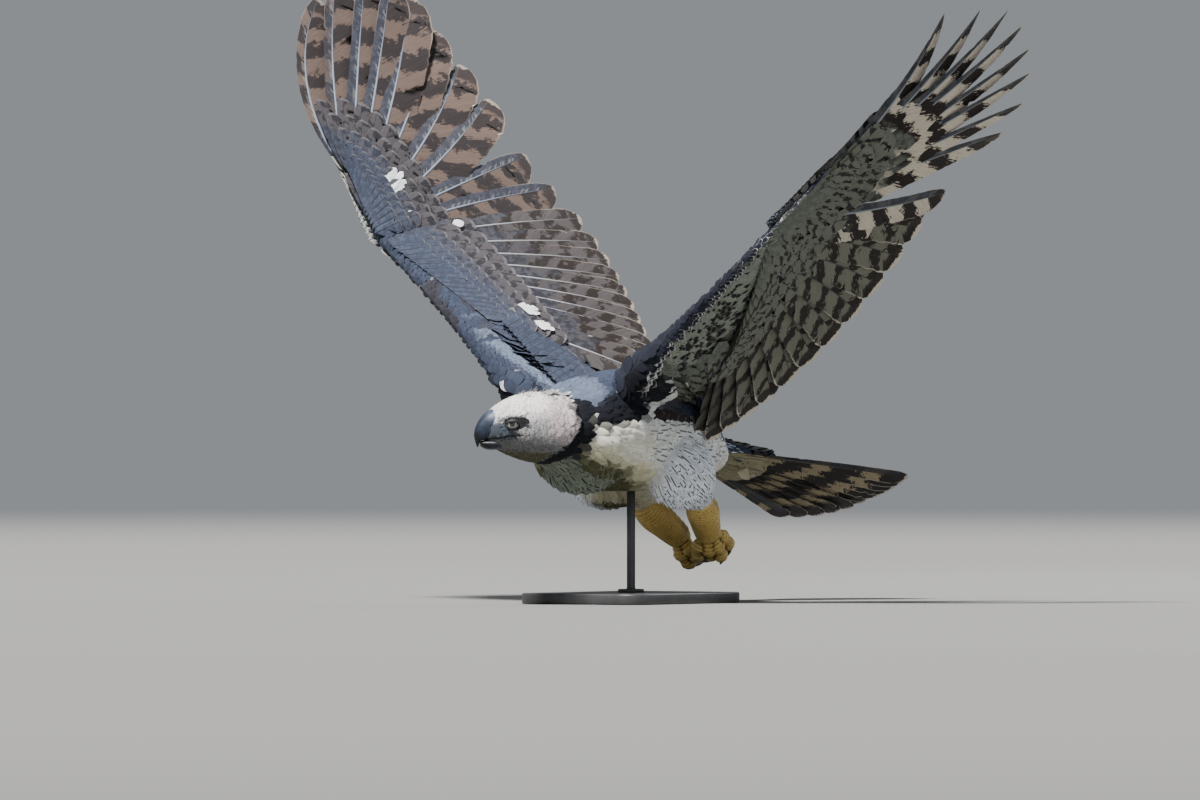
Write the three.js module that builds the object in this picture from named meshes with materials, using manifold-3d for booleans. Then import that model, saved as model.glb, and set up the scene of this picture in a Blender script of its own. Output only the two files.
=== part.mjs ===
// A harpy eagle in flight on a plain display stand, at life size, in millimetres, with +Z up.
// The bird faces -Y, its left side is +X, and the origin is the middle of the stand's underside.
import * as THREE from "three";
import { mergeVertices } from "three/addons/utils/BufferGeometryUtils.js";
import Module from "manifold-3d";

const wasm = await Module();
wasm.setup();

const v = (x, y, z) => new THREE.Vector3(x, y, z);
const rad = THREE.MathUtils.degToRad;
const mix = THREE.MathUtils.lerp;
const clamp = THREE.MathUtils.clamp;

// Clearance kept between two neighbouring solids.
const GAP = 0.4;

// The trunk's middle stands this high over the underside of the stand, and this far from its centre.
const TRUNK_HEIGHT = 285;
const TRUNK_SHIFT_Y = 35;

// Trunk stations from the tail to the breast: y, middle z, half width, height above and below the middle.
const TRUNK = [
  { y: 208, z: -40, half: 24, up: 14, down: 15 },
  { y: 182, z: -38, half: 46, up: 29, down: 31 },
  { y: 140, z: -28, half: 70, up: 50, down: 56 },
  { y: 90, z: -12, half: 88, up: 80, down: 84 },
  { y: 30, z: 0, half: 100, up: 98, down: 98 },
  { y: -40, z: 2, half: 106, up: 102, down: 100 },
  { y: -100, z: 4, half: 105, up: 100, down: 102 },
  { y: -150, z: 5, half: 101, up: 92, down: 102 },
  { y: -195, z: 6, half: 94, up: 82, down: 104 },
  { y: -228, z: 6, half: 82, up: 68, down: 90 },
  { y: -248, z: 5, half: 64, up: 52, down: 62 },
  { y: -260, z: 5, half: 40, up: 32, down: 36 },
];

// Head: its middle, the turn to the bird's right, the nod, and stations along the beak's direction.
const HEAD_AT = v(-20, -302, 7);
const HEAD_TURN = 33;
const HEAD_NOD = -4;
const HEAD = [
  { f: -70, top: 36, low: -42, half: 42 },
  { f: -52, top: 51, low: -58, half: 55 },
  { f: -25, top: 58, low: -61, half: 58 },
  { f: 0, top: 59, low: -57, half: 55 },
  { f: 25, top: 55, low: -49, half: 49 },
  { f: 45, top: 48, low: -40, half: 39 },
  { f: 62, top: 39, low: -31, half: 28 },
  { f: 74, top: 30, low: -24, half: 19 },
  { f: 79, top: 20, low: -16, half: 12 },
];
const UPPER_BILL = [
  { top: [58, 37], low: [58, -10], half: 21 },
  { top: [72, 31], low: [69, -13], half: 18 },
  { top: [84, 21], low: [78, -13.5], half: 14.5 },
  { top: [92, 9], low: [84, -14], half: 10.5 },
  { top: [96, -3], low: [87, -16], half: 7 },
  { top: [95.5, -14], low: [89, -19], half: 4 },
  { top: [93, -24], low: [91, -25], half: 1.2 },
];
const LOWER_BILL = [
  { top: [56, -12], low: [57, -30], half: 18.5 },
  { top: [68, -13.5], low: [67, -31], half: 15.5 },
  { top: [78, -14], low: [77, -29.5], half: 11.5 },
  { top: [86, -15.5], low: [85, -25], half: 6.5 },
];
const EYE_RADIUS = 11;
const EYE_AT = { f: 40, side: 32.5, up: 10 };
const CREST = { count: 7, length: 62, width: 24 };

// Neck stations from the trunk to the head.
const NECK = [
  { at: v(0, -185, 5), half: 84, up: 74, down: 84 },
  { at: v(-2, -215, 7), half: 81, up: 68, down: 84 },
  { at: v(-7, -240, 7), half: 75, up: 60, down: 76 },
  { at: v(-12, -262, 7), half: 66, up: 53, down: 66 },
  { at: v(-18, -284, 6), half: 54, up: 46, down: 56 },
];

// Each wing as if it were the left one: joints, trailing directions, the fans' angles and sizes.
// The primaries' lists run from the outermost feather to the innermost.
const PRIMARY = { thick: 1.1, rows: 4, tilt: 8, tip: 0.34, lap: 1.7 };
const SECONDARY = { width: 60, lead: 0.42, thick: 1.0, rows: 4, tilt: 8, tip: 0.45, lap: 1.7 };
const PRIMARY_COUNT = 10;
const SECONDARY_COUNT = 12;
const TERTIAL_COUNT = 3;
const LEFT_WING = {
  shoulder: v(85, -125, 55),
  elbow: v(206.5, -17.7, 172),
  wrist: v(344, -113.7, 333.2),
  finger: v(448.2, -105.1, 429.6),
  leadRoot: v(88, -184, 92),
  handTrail: v(-0.127, 0.796, -0.592),
  armTrail: v(-0.215, 0.943, -0.25),
  primaries: {
    turn: [4.3, 11.5, 16.3, 20.7, 26, 30.1, 35.7, 42.9, 70, 76],
    length: [328, 380, 425, 439, 441, 436, 419, 390, 374, 367],
    camber: [-37, -30, -25, -19.5, -14.5, -8, -2, 0, -16, -12],
    sweep: [3, 3, 3, 3, 3, 3, 3, 3, 3, 3],
    twist: [-48, -48, -48, -42, -42, -42, -40, -36, 0, 0],
    width: 56, lead: 0.3, slim: 0.3,
  },
  secondaries: { from: 97, to: 183, power: 0.98, camber: 17, sweep: 14, first: 336, last: 247 },
};
const RIGHT_WING = {
  shoulder: v(85, -125, 55),
  elbow: v(235.9, -118.3, 190.6),
  wrist: v(433.6, -141.8, 326.6),
  finger: v(514.4, -132.7, 441.8),
  leadRoot: v(120, -200, 58),
  handTrail: v(-0.507, 0.859, -0.073),
  armTrail: v(-0.391, 0.916, 0.085),
  primaries: {
    turn: [-12, 14, 28, 36.5, 45, 51.5, 61, 68, 74, 79],
    length: [355, 400, 440, 455, 460, 443, 418, 395, 380, 379],
    camber: [-10, -8, -6, -6, -4, 0, 0, -2, 2, -2],
    sweep: [58, 16, 2, -5, -14, -15, -18, -14, 4, 14],
    twist: [0, 0, 0, 0, -20, -20, -20, -20, 0, 0],
    width: 72, lead: 0.25, slim: 0.1,
  },
  secondaries: { from: 103.3, to: 144.5, power: 0.77, camber: 1, sweep: 11, first: 394, last: 318 },
};

// The tail's outer feathers are shorter: on its right by `shortRight`, on its left by `shortLeft`.
const TAIL = {
  base: v(0, 186, -36), count: 12, fan: 14, roll: 22, droop: 11, yaw: 9.5,
  length: 390, shortRight: 90, shortLeft: 18, width: 56,
};

// Legs as if each were a left one: knee, shin and cuff of the leg feathers, the heel, the foot's ball and its toes.
const LEFT_LEG = {
  hip: v(56, -40, -15),
  knee: v(74, -8, -62),
  shin: v(67, 44, -90),
  cuff: v(60, 82, -114),
  heel: v(58, 90, -126),
  ball: v(30, 150, -173),
  toes: [
    { name: "hallux", heading: 118, start: 42, length: 46, curl: 100, girth: 12, claw: 46 },
    { name: "inner", heading: -36, start: 41, length: 45, curl: 117, girth: 12, claw: 44 },
    { name: "middle", heading: 15, start: 57, length: 50, curl: 133, girth: 12.5, claw: 37 },
    { name: "outer", heading: 63, start: 55, length: 48, curl: 66, girth: 11.5, claw: 32 },
  ],
};
const RIGHT_LEG = {
  hip: v(56, -40, -15),
  knee: v(72, -22, -62),
  shin: v(62, 52, -88),
  cuff: v(57, 92, -116),
  heel: v(56, 103, -133),
  ball: v(46, 180, -179),
  toes: [
    { name: "hallux", heading: 118, start: 52, length: 41, curl: 90, girth: 12, claw: 46 },
    { name: "inner", heading: -42, start: 41, length: 40, curl: 133, girth: 12, claw: 43 },
    { name: "middle", heading: 10, start: 43, length: 50, curl: 115, girth: 13, claw: 38 },
    { name: "outer", heading: 50, start: 55, length: 46, curl: 141, girth: 11.5, claw: 32 },
  ],
};

const BASE = { length: 330, width: 250, corner: 40, thick: 18 };
const ROD = { radius: 7, flangeRadius: 22, flangeThick: 6, at: v(0, -35, 0) };

// A closed surface through rings of equally many points, capped at both ends by a fan.
function loft(rings) {
  const sides = rings[0].length;
  const points = rings.flat();
  const faces = [];
  for (let k = 0; k + 1 < rings.length; k++) {
    for (let i = 0; i < sides; i++) {
      const a = k * sides + i;
      const b = k * sides + ((i + 1) % sides);
      faces.push(a, b, b + sides, a, b + sides, a + sides);
    }
  }
  for (const [k, turn] of [[0, -1], [rings.length - 1, 1]]) {
    const middle = v(0, 0, 0);
    rings[k].forEach((p) => middle.addScaledVector(p, 1 / sides));
    const centre = points.push(middle) - 1;
    for (let i = 0; i < sides; i++) {
      const a = k * sides + i;
      const b = k * sides + ((i + 1) % sides);
      faces.push(...(turn > 0 ? [a, b, centre] : [b, a, centre]));
    }
  }
  return geometryOf(points, faces);
}

// A thin sheet of quads split alike on both faces; at(i, j, side) gives its corners, side is 1 above, -1 below.
function sheet(cols, rows, at) {
  const points = [];
  const index = (i, j, s) => 2 * (j * (cols + 1) + i) + (s > 0 ? 0 : 1);
  for (let j = 0; j <= rows; j++) {
    for (let i = 0; i <= cols; i++) points.push(at(i, j, 1), at(i, j, -1));
  }
  const faces = [];
  const quad = (a, b, c, d) => faces.push(a, b, c, a, c, d);
  for (let j = 0; j < rows; j++) {
    for (let i = 0; i < cols; i++) {
      const [a, b, c, d] = [[i, j], [i + 1, j], [i + 1, j + 1], [i, j + 1]];
      quad(index(...a, 1), index(...b, 1), index(...c, 1), index(...d, 1));
      faces.push(index(...a, -1), index(...c, -1), index(...b, -1));
      faces.push(index(...a, -1), index(...d, -1), index(...c, -1));
    }
    quad(index(0, j, -1), index(0, j, 1), index(0, j + 1, 1), index(0, j + 1, -1));
    quad(index(cols, j, 1), index(cols, j, -1), index(cols, j + 1, -1), index(cols, j + 1, 1));
  }
  for (let i = 0; i < cols; i++) {
    quad(index(i, 0, -1), index(i + 1, 0, -1), index(i + 1, 0, 1), index(i, 0, 1));
    quad(index(i, rows, 1), index(i + 1, rows, 1), index(i + 1, rows, -1), index(i, rows, -1));
  }
  return geometryOf(points, faces);
}

function geometryOf(points, faces) {
  const geometry = new THREE.BufferGeometry();
  geometry.setAttribute("position", new THREE.Float32BufferAttribute(points.flatMap((p) => p.toArray()), 3));
  geometry.setIndex(faces);
  return geometry;
}

// A geometry as a manifold solid that faces outwards.
function solid(geometry) {
  const bare = geometry.index ? geometry.toNonIndexed() : geometry.clone();
  bare.deleteAttribute("normal");
  bare.deleteAttribute("uv");
  const merged = mergeVertices(bare, 1e-3);
  const triVerts = new Uint32Array(merged.index.array);
  const position = merged.attributes.position;
  let volume = 0;
  const [a, b, c] = [v(0, 0, 0), v(0, 0, 0), v(0, 0, 0)];
  for (let i = 0; i < triVerts.length; i += 3) {
    [a, b, c].forEach((p, k) => p.fromBufferAttribute(position, triVerts[i + k]));
    volume += a.dot(b.cross(c));
  }
  if (volume < 0) {
    for (let i = 0; i < triVerts.length; i += 3) {
      [triVerts[i + 1], triVerts[i + 2]] = [triVerts[i + 2], triVerts[i + 1]];
    }
  }
  return new wasm.Manifold(new wasm.Mesh({ numProp: 3, vertProperties: position.array, triVerts }));
}

const join = (...solids) => wasm.Manifold.union(solids.flat());

// The solid's largest closed piece, as a geometry.
function largest(manifold) {
  const pieces = manifold.decompose();
  const volumes = pieces.map((p) => p.volume());
  const best = volumes.indexOf(Math.max(...volumes));
  const mesh = pieces[best].getMesh();
  const geometry = new THREE.BufferGeometry();
  const stride = mesh.numProp;
  const flat = new Float32Array(mesh.numVert * 3);
  for (let i = 0; i < mesh.numVert; i++) {
    flat.set(mesh.vertProperties.subarray(i * stride, i * stride + 3), i * 3);
  }
  geometry.setAttribute("position", new THREE.BufferAttribute(flat, 3));
  geometry.setIndex(new THREE.BufferAttribute(mesh.triVerts, 1));
  return geometry;
}

// A value of a table of stations at x, smooth through the given knots.
function spline(knots, values, x) {
  let k = 0;
  while (k < knots.length - 2 && x > knots[k + 1]) k++;
  const slope = (i) => {
    const lo = Math.max(0, i - 1);
    const hi = Math.min(knots.length - 1, i + 1);
    return (values[hi] - values[lo]) / (knots[hi] - knots[lo]);
  };
  const h = knots[k + 1] - knots[k];
  const t = clamp((x - knots[k]) / h, 0, 1);
  const t2 = t * t;
  const t3 = t2 * t;
  return (2 * t3 - 3 * t2 + 1) * values[k] + (t3 - 2 * t2 + t) * h * slope(k)
    + (3 * t2 - 2 * t3) * values[k + 1] + (t3 - t2) * h * slope(k + 1);
}

// Points of an oval round a middle, along two directions, with its own height above and below.
function oval(middle, across, upward, half, up, down, sides, grow = 0) {
  return Array.from({ length: sides }, (_, i) => {
    const turn = (2 * Math.PI * i) / sides;
    const rise = Math.sin(turn) * (Math.sin(turn) > 0 ? up + grow : down + grow);
    return middle.clone()
      .addScaledVector(across, Math.cos(turn) * (half + grow))
      .addScaledVector(upward, rise);
  });
}

const UP = v(0, 0, 1);

// The trunk, with its stations' ovals; the far side's twin is built the other way round for the mirrored limbs.
function trunkSolid(grow = 0, side = 1) {
  const knots = TRUNK.map((s) => -s.y);
  const pick = (key, x) => spline(knots, TRUNK.map((s) => s[key]), x);
  const rings = [];
  const count = 12;
  for (let k = 0; k <= count; k++) {
    const x = mix(knots[0], knots.at(-1), k / count);
    const middle = v(0, -x, pick("z", x));
    rings.push(oval(middle, v(side, 0, 0), UP, pick("half", x), pick("up", x), pick("down", x), 18, grow));
  }
  return solid(loft(rings));
}

// The head's own frame: forward, left and up, placed in the bird's frame.
const headTurn = new THREE.Matrix4()
  .makeRotationZ(rad(-HEAD_TURN))
  .multiply(new THREE.Matrix4().makeRotationX(rad(-HEAD_NOD)));
const inHead = (forward, left, up) => v(left, -forward, up).applyMatrix4(headTurn).add(HEAD_AT);
const headWay = (forward, left, up) => v(left, -forward, up).applyMatrix4(headTurn).normalize();

function headSkin(grow = 0) {
  const knots = HEAD.map((s) => s.f);
  const pick = (key, x) => spline(knots, HEAD.map((s) => s[key]), x);
  const rings = [];
  const count = 11;
  for (let k = 0; k <= count; k++) {
    const f = mix(knots[0], knots.at(-1), k / count);
    const middle = (pick("top", f) + pick("low", f)) / 2;
    const high = (pick("top", f) - pick("low", f)) / 2;
    rings.push(oval(inHead(f, 0, middle), headWay(0, 1, 0), headWay(0, 0, 1), pick("half", f), high, high, 16, grow));
  }
  return solid(loft(rings));
}

function ellipsoid(middle, rows, radii, grow = 0) {
  const ball = new THREE.SphereGeometry(1, 9, 6);
  const [x, y, z] = rows.map((r) => r.clone().normalize());
  ball.scale(...radii.map((r) => r + grow));
  ball.applyMatrix4(new THREE.Matrix4().makeBasis(x, y, z).setPosition(middle));
  return solid(ball);
}

function eyeBall(side, grow = 0) {
  const ball = new THREE.SphereGeometry(EYE_RADIUS + grow, 10, 7);
  const middle = inHead(EYE_AT.f, side * EYE_AT.side, EYE_AT.up);
  return solid(ball.translate(middle.x, middle.y, middle.z));
}

// Which way an eye looks: outwards and forwards.
const gaze = (side) => headWay(0.42, side * 0.9, 0.02);

function lids(side) {
  const ring = new THREE.TorusGeometry(9.2, 2.6, 4, 12);
  const look = gaze(side);
  const across = look.clone().cross(headWay(0, 0, 1)).normalize();
  const upward = across.clone().cross(look).normalize();
  ring.scale(1.08, 0.86, 1);
  ring.applyMatrix4(new THREE.Matrix4().makeBasis(across, upward, look));
  const middle = inHead(EYE_AT.f, side * EYE_AT.side, EYE_AT.up).addScaledVector(look, 6.2);
  return solid(ring.translate(middle.x, middle.y, middle.z));
}

function brow(side, grow = 0) {
  return ellipsoid(
    inHead(40, side * 32.5, 22),
    [headWay(0.92, side * -0.38, -0.12), headWay(0.38, side * 0.92, 0), headWay(0.12, 0, 1)],
    [25, 8, 5], grow,
  );
}

// Feathers of the crest, laid back over the nape, as overlapping vanes.
function crest(grow = 0) {
  return Array.from({ length: CREST.count }, (_, i) => {
    const share = i / (CREST.count - 1) * 2 - 1;
    const row = i % 2;
    const root = inHead(-6 - 14 * row, share * 34, 50 - 12 * share * share);
    const up = headWay(0, share * 0.55, 1);
    return feather({
      root, dir: headWay(-1, share * 0.12, 0.22 - 0.06 * row), normal: up,
      length: CREST.length * (1 - 0.2 * share * share), width: CREST.width,
      lead: 0.5, camber: 8, sweep: 0, tilt: 0, thick: 1.3, rows: 2, tip: 0.4, pitch: 8, fan: 0.3, lap: 1,
    }, grow);
  });
}

function billSolid(stations, grow = 0) {
  const across = headWay(0, 1, 0);
  const knots = stations.map((_, i) => i);
  const rings = [];
  const steps = Math.round((stations.length - 1) * 1.5);
  for (let k = 0; k <= steps; k++) {
    const x = (k / steps) * (stations.length - 1);
    const value = (pick) => spline(knots, stations.map(pick), x);
    const top = inHead(value((s) => s.top[0]), 0, value((s) => s.top[1]));
    const low = inHead(value((s) => s.low[0]), 0, value((s) => s.low[1]));
    const half = value((s) => s.half);
    const upward = top.clone().sub(low);
    const high = upward.length() / 2;
    rings.push(oval(top.add(low).multiplyScalar(0.5), across, upward.normalize(), half, high, high, 10, grow));
  }
  return solid(loft(rings));
}

function nostril(side) {
  return ellipsoid(
    inHead(70, side * 17.5, 7), [headWay(0.45, 0, 0.9), headWay(0, 1, 0), headWay(0.9, 0, -0.45)], [6, 4.5, 1.8],
  );
}

// The slit of the mouth that runs back from the bill under the eye.
function gape(side) {
  const box = new THREE.BoxGeometry(10, 44, 1.6);
  box.applyMatrix4(new THREE.Matrix4().makeBasis(
    headWay(-0.4, side * 0.9, 0), headWay(-0.9, side * -0.42, 0.12), headWay(0.12, 0, 1),
  ));
  const middle = inHead(50, side * 34, -9.5);
  return solid(box.translate(middle.x, middle.y, middle.z));
}

function neckSolid(grow = 0) {
  const knots = NECK.map((_, i) => i);
  const rings = [];
  const count = 7;
  for (let k = 0; k <= count; k++) {
    const x = (k / count) * (NECK.length - 1);
    const value = (pick) => spline(knots, NECK.map(pick), x);
    const middle = v(value((s) => s.at.x), value((s) => s.at.y), value((s) => s.at.z));
    const turn = rad(-HEAD_TURN * 0.8) * (x / (NECK.length - 1));
    const across = v(Math.cos(turn), Math.sin(turn), 0);
    rings.push(oval(middle, across, UP, value((s) => s.half), value((s) => s.up), value((s) => s.down), 16, grow));
  }
  return solid(loft(rings));
}

// The middle line of a feather, bent down by its camber and back by its sweep, as stations with a frame each.
function quill({ root, dir, normal, length, camber, sweep, rows }) {
  const side = normal.clone().cross(dir).normalize();
  const steps = 8;
  const line = [{ at: root.clone(), way: dir.clone().normalize() }];
  for (let i = 0; i < steps; i++) {
    const share = (i + 0.5) / steps;
    const drop = rad(camber) * share;
    const back = rad(sweep) * share;
    const way = dir.clone().multiplyScalar(Math.cos(drop)).addScaledVector(normal, -Math.sin(drop)).normalize();
    way.multiplyScalar(Math.cos(back)).addScaledVector(side, Math.sin(back)).normalize();
    line.push({ at: line.at(-1).at.clone().addScaledVector(way, length / steps), way });
  }
  return Array.from({ length: rows + 1 }, (_, j) => {
    // Stations crowd towards the rounded tip.
    const share = j === rows ? 1 : (j / rows) * 0.5 + 0.5 * Math.sin((Math.PI / 2) * (j / rows));
    const x = share * steps;
    const k = Math.min(steps - 1, Math.floor(x));
    const at = line[k].at.clone().lerp(line[k + 1].at, x - k);
    const way = line[k + 1].way;
    const trail = normal.clone().cross(way).normalize();
    return { share, at, way, trail, up: way.clone().cross(trail).normalize() };
  });
}

// How wide a vane is at a share of its length: it grows with the room between the quills, and rounds at its tip.
function vaneWidth({ width, length, pitch, fan, lap, tip }, share) {
  const room = Math.min(width, lap * (pitch + fan * length * share));
  const end = share > 0.86 ? Math.sqrt(Math.max(0, 1 - ((share - 0.86) / 0.14) ** 2)) : 1;
  return room * Math.max(tip, end);
}

// One feather's vane, two-faced and closed, leaning about its quill by the tilt so that it clears its neighbour.
function feather(spec, grow = 0) {
  const { lead, tilt, thick, rows, slim = 0, twist = 0 } = spec;
  const stations = quill(spec);
  return solid(sheet(1, rows, (i, j, s) => {
    const { share, at, trail, up } = stations[j];
    const lean = rad(tilt + twist * clamp((share - 0.45) / 0.55, 0, 1));
    const back = trail.clone().multiplyScalar(Math.cos(lean)).addScaledVector(up, -Math.sin(lean));
    const top = up.clone().multiplyScalar(Math.cos(lean)).addScaledVector(trail, Math.sin(lean));
    const finger = 1 - slim * clamp((share - 0.4) / 0.15, 0, 1);
    const full = vaneWidth(spec, share) * finger;
    const along = i ? full * (1 - lead) + grow : -full * lead - grow;
    const rise = (thick * (1 - 0.35 * share)) / 2 + grow;
    return at.clone().addScaledVector(back, along).addScaledVector(top, s * rise);
  }));
}

// Frames of a wing's hand and forearm: along the bones, towards the trailing edge, and up through the back.
function wingFrames(w) {
  const frame = (from, to, trail) => {
    const along = to.clone().sub(from).normalize();
    const back = trail.clone().addScaledVector(along, -trail.dot(along)).normalize();
    return { along, back, up: along.clone().cross(back).normalize() };
  };
  return { hand: frame(w.wrist, w.finger, w.handTrail), arm: frame(w.elbow, w.wrist, w.armTrail) };
}

// Where the k-th primary roots and points; the inner ones turn towards the forearm's plane, their vanes less so.
const primaryOf = (w, frames, k) => {
  const { hand, arm } = frames;
  const table = w.primaries;
  const share = k / (PRIMARY_COUNT - 1);
  const leaning = (most) => hand.up.clone().lerp(arm.up, most * share * share).normalize();
  const up = leaning(0.6);
  const along = hand.along.clone().addScaledVector(up, -up.dot(hand.along)).normalize();
  const back = up.clone().cross(along);
  const turn = rad(table.turn[k]);
  const dir = along.multiplyScalar(Math.cos(turn)).addScaledVector(back, Math.sin(turn));
  const normal = leaning(0.15);
  return {
    root: w.wrist.clone().lerp(w.finger, 1.0 - 0.94 * share),
    dir, normal: normal.addScaledVector(dir, -dir.dot(normal)).normalize(),
    length: table.length[k], camber: table.camber[k], sweep: table.sweep[k],
    width: table.width, lead: table.lead, twist: table.twist[k],
    pitch: w.wrist.distanceTo(w.finger) / PRIMARY_COUNT,
    fan: rad(table.turn.at(-1) - table.turn[0]) / PRIMARY_COUNT,
  };
};

const secondaryOf = (w, frames, k) => {
  const share = k / (SECONDARY_COUNT - 1);
  const { along, back, up } = frames.arm;
  const turn = rad(mix(w.secondaries.from, w.secondaries.to, share ** w.secondaries.power));
  return {
    root: w.wrist.clone().lerp(w.elbow, 0.05 + 0.93 * share),
    dir: along.clone().multiplyScalar(Math.cos(turn)).addScaledVector(back, Math.sin(turn)),
    normal: up, length: mix(w.secondaries.first, w.secondaries.last, share),
    camber: w.secondaries.camber, sweep: w.secondaries.sweep,
    pitch: w.wrist.distanceTo(w.elbow) / SECONDARY_COUNT,
    fan: rad(w.secondaries.to - w.secondaries.from) / SECONDARY_COUNT,
  };
};

const tertialOf = (w, frames, k) => {
  const share = (k + 0.6) / TERTIAL_COUNT;
  const last = secondaryOf(w, frames, SECONDARY_COUNT - 1);
  const inward = v(-0.30, 0.93, -0.12);
  return {
    root: w.elbow.clone().lerp(w.shoulder, 0.10 + 0.62 * share),
    dir: last.dir.clone().lerp(inward, 0.35 + 0.55 * share).normalize(),
    normal: frames.arm.up.clone().lerp(v(0.25, 0, 1), share).normalize(),
    length: mix(w.secondaries.last * 0.9, 165, share), camber: 10, sweep: 0, pitch: 22, fan: 0.12,
  };
};

// A covert over or under a flight feather: it leaves the flesh ahead of it and draws apart from its vane.
function covert(base, { over, share, width, rest, every, lead }) {
  const length = base.length * share;
  const side = over ? 1 : -1;
  const ahead = 6;
  const sunk = 4;
  const root = base.root.clone().addScaledVector(base.dir, -ahead).addScaledVector(base.normal, side * sunk);
  const dir = base.dir.clone().multiplyScalar(length).addScaledVector(base.normal, side * (rest - sunk)).normalize();
  return {
    ...base, root, dir, length: length + ahead, width, lead, camber: base.camber * share,
    sweep: base.sweep * share, tilt: 8, thick: 1, rows: 2, tip: 0.5, lap: 1.5 * every, twist: 0, slim: 0,
  };
}

const COVERTS = {
  armOver: { over: true, share: 0.42, width: 46, rest: 9, every: 1, lead: 0.42 },
  armUnder: { over: false, share: 0.4, width: 64, rest: 11, every: 3, lead: 0.42 },
  handOver: { over: true, share: 0.34, width: 60, rest: 9, every: 3, lead: 0.25 },
  handUnder: { over: false, share: 0.32, width: 60, rest: 13, every: 5, lead: 0.25 },
};

// The coverts of one tier over or under a row of flight feathers.
function tier(row, kind, grow) {
  return row.filter((_, k) => (k + 1) % kind.every === 0).map((base) => feather(covert(base, kind), grow));
}

function primaries(w, frames, grow) {
  const row = Array.from({ length: PRIMARY_COUNT }, (_, k) => primaryOf(w, frames, k));
  const vanes = row.map((base, k) => {
    const root = base.root.clone().addScaledVector(base.normal, -1.2 * Math.max(0, 5 - k));
    return feather({ ...PRIMARY, ...base, root, slim: w.primaries.slim * (k < 7 ? 1 : 0.3) }, grow);
  });
  return [...vanes, ...tier(row, COVERTS.handOver, grow), ...tier(row, COVERTS.handUnder, grow)];
}

function secondaries(w, frames, grow) {
  const row = Array.from({ length: SECONDARY_COUNT }, (_, k) => secondaryOf(w, frames, k));
  const vanes = row.map((base) => feather({ ...SECONDARY, ...base }, grow));
  return [...vanes, ...tier(row, COVERTS.armOver, grow), ...tier(row, COVERTS.armUnder, grow)];
}

function tertials(w, frames, grow) {
  const row = Array.from({ length: TERTIAL_COUNT }, (_, k) => tertialOf(w, frames, k));
  return row.map((base) => feather({ ...SECONDARY, ...base }, grow));
}

// The small stiff feathers of the thumb, along the hand's leading edge.
function alula(w, frames, grow) {
  const { along, back, up } = frames.hand;
  return Array.from({ length: 2 }, (_, i) => feather({
    root: w.wrist.clone().addScaledVector(along, 4).addScaledVector(back, -1 + 5 * i)
      .addScaledVector(up, 4 + 1.5 * i),
    dir: along.clone().addScaledVector(back, -0.04 + 0.05 * i).addScaledVector(up, 0.03).normalize(), normal: up,
    length: 125 - 24 * i, camber: 4, sweep: 3, width: 24, lead: 0.4, tilt: 4, thick: 1.1, rows: 2,
    tip: 0.4, pitch: 24, fan: 0, lap: 1,
  }, grow));
}

// Sections of the wing's flesh from inside the trunk to the fingertip: front and rear edge, up, and thickness.
function wingSections(w, frames) {
  const { hand, arm } = frames;
  const front = (share) => w.leadRoot.clone().lerp(w.wrist.clone().addScaledVector(arm.back, -15), share);
  const rootUp = v(-0.35, -0.1, 1).normalize();
  const elbowShare = 0.5;
  const wristBack = arm.back.clone().add(hand.back).normalize();
  const wristUp = arm.up.clone().add(hand.up).normalize();
  return [
    { lead: w.leadRoot.clone().add(v(-42, 22, -42)), trail: v(34, 10, 30), up: rootUp, thick: 70 },
    { lead: front(0), trail: v(84, 12, 62), up: rootUp, thick: 62 },
    { lead: front(0.22), trail: w.shoulder.clone().lerp(w.elbow, 0.5).add(v(0, 38, -2)),
      up: rootUp.clone().lerp(arm.up, 0.5).normalize(), thick: 44 },
    { lead: front(elbowShare), trail: w.elbow.clone().addScaledVector(arm.back, 20), up: arm.up, thick: 30 },
    { lead: front(0.78), trail: w.elbow.clone().lerp(w.wrist, 0.55).addScaledVector(arm.back, 22),
      up: arm.up, thick: 24 },
    { lead: front(1), trail: w.wrist.clone().addScaledVector(wristBack, 24), up: wristUp, thick: 20 },
    { lead: w.wrist.clone().lerp(w.finger, 0.5).addScaledVector(hand.back, -11),
      trail: w.wrist.clone().lerp(w.finger, 0.5).addScaledVector(hand.back, 20), up: hand.up, thick: 15 },
    { lead: w.finger.clone().addScaledVector(hand.back, -7),
      trail: w.finger.clone().addScaledVector(hand.back, 12), up: hand.up, thick: 14 },
    { lead: w.finger.clone().addScaledVector(hand.along, 26).addScaledVector(hand.back, -3),
      trail: w.finger.clone().addScaledVector(hand.along, 26).addScaledVector(hand.back, 5), up: hand.up, thick: 5 },
  ];
}

const WING_SIDES = 8;

function wingRing(section, grow) {
  const chord = section.trail.clone().sub(section.lead);
  const middle = section.lead.clone().lerp(section.trail, 0.5);
  const back = chord.clone().normalize();
  const up = section.up.clone().addScaledVector(back, -section.up.dot(back)).normalize();
  const half = chord.length() / 2;
  return Array.from({ length: WING_SIDES }, (_, i) => {
    const turn = (2 * Math.PI * i) / WING_SIDES;
    const share = (1 + Math.cos(turn)) / 2;
    const high = (section.thick / 2) * (1.12 - 0.55 * share) + grow;
    return middle.clone()
      .addScaledVector(back, Math.cos(turn) * (half + grow))
      .addScaledVector(up, Math.sin(turn) * high);
  });
}

// One stretch of the wing's flesh, between two of its sections, which may be fractions.
function wingFlesh(w, frames, from, to, grow = 0) {
  const table = wingSections(w, frames);
  const knots = table.map((_, i) => i);
  const count = Math.ceil((to - from) * 2);
  const rings = [];
  for (let k = 0; k <= count; k++) {
    const x = mix(from, to, k / count);
    const point = (pick) => v(...["x", "y", "z"].map((c) => spline(knots, table.map((s) => pick(s)[c]), x)));
    rings.push(wingRing({
      lead: point((s) => s.lead), trail: point((s) => s.trail), up: point((s) => s.up).normalize(),
      thick: spline(knots, table.map((s) => s.thick), x),
    }, grow));
  }
  return solid(loft(rings));
}

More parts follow.
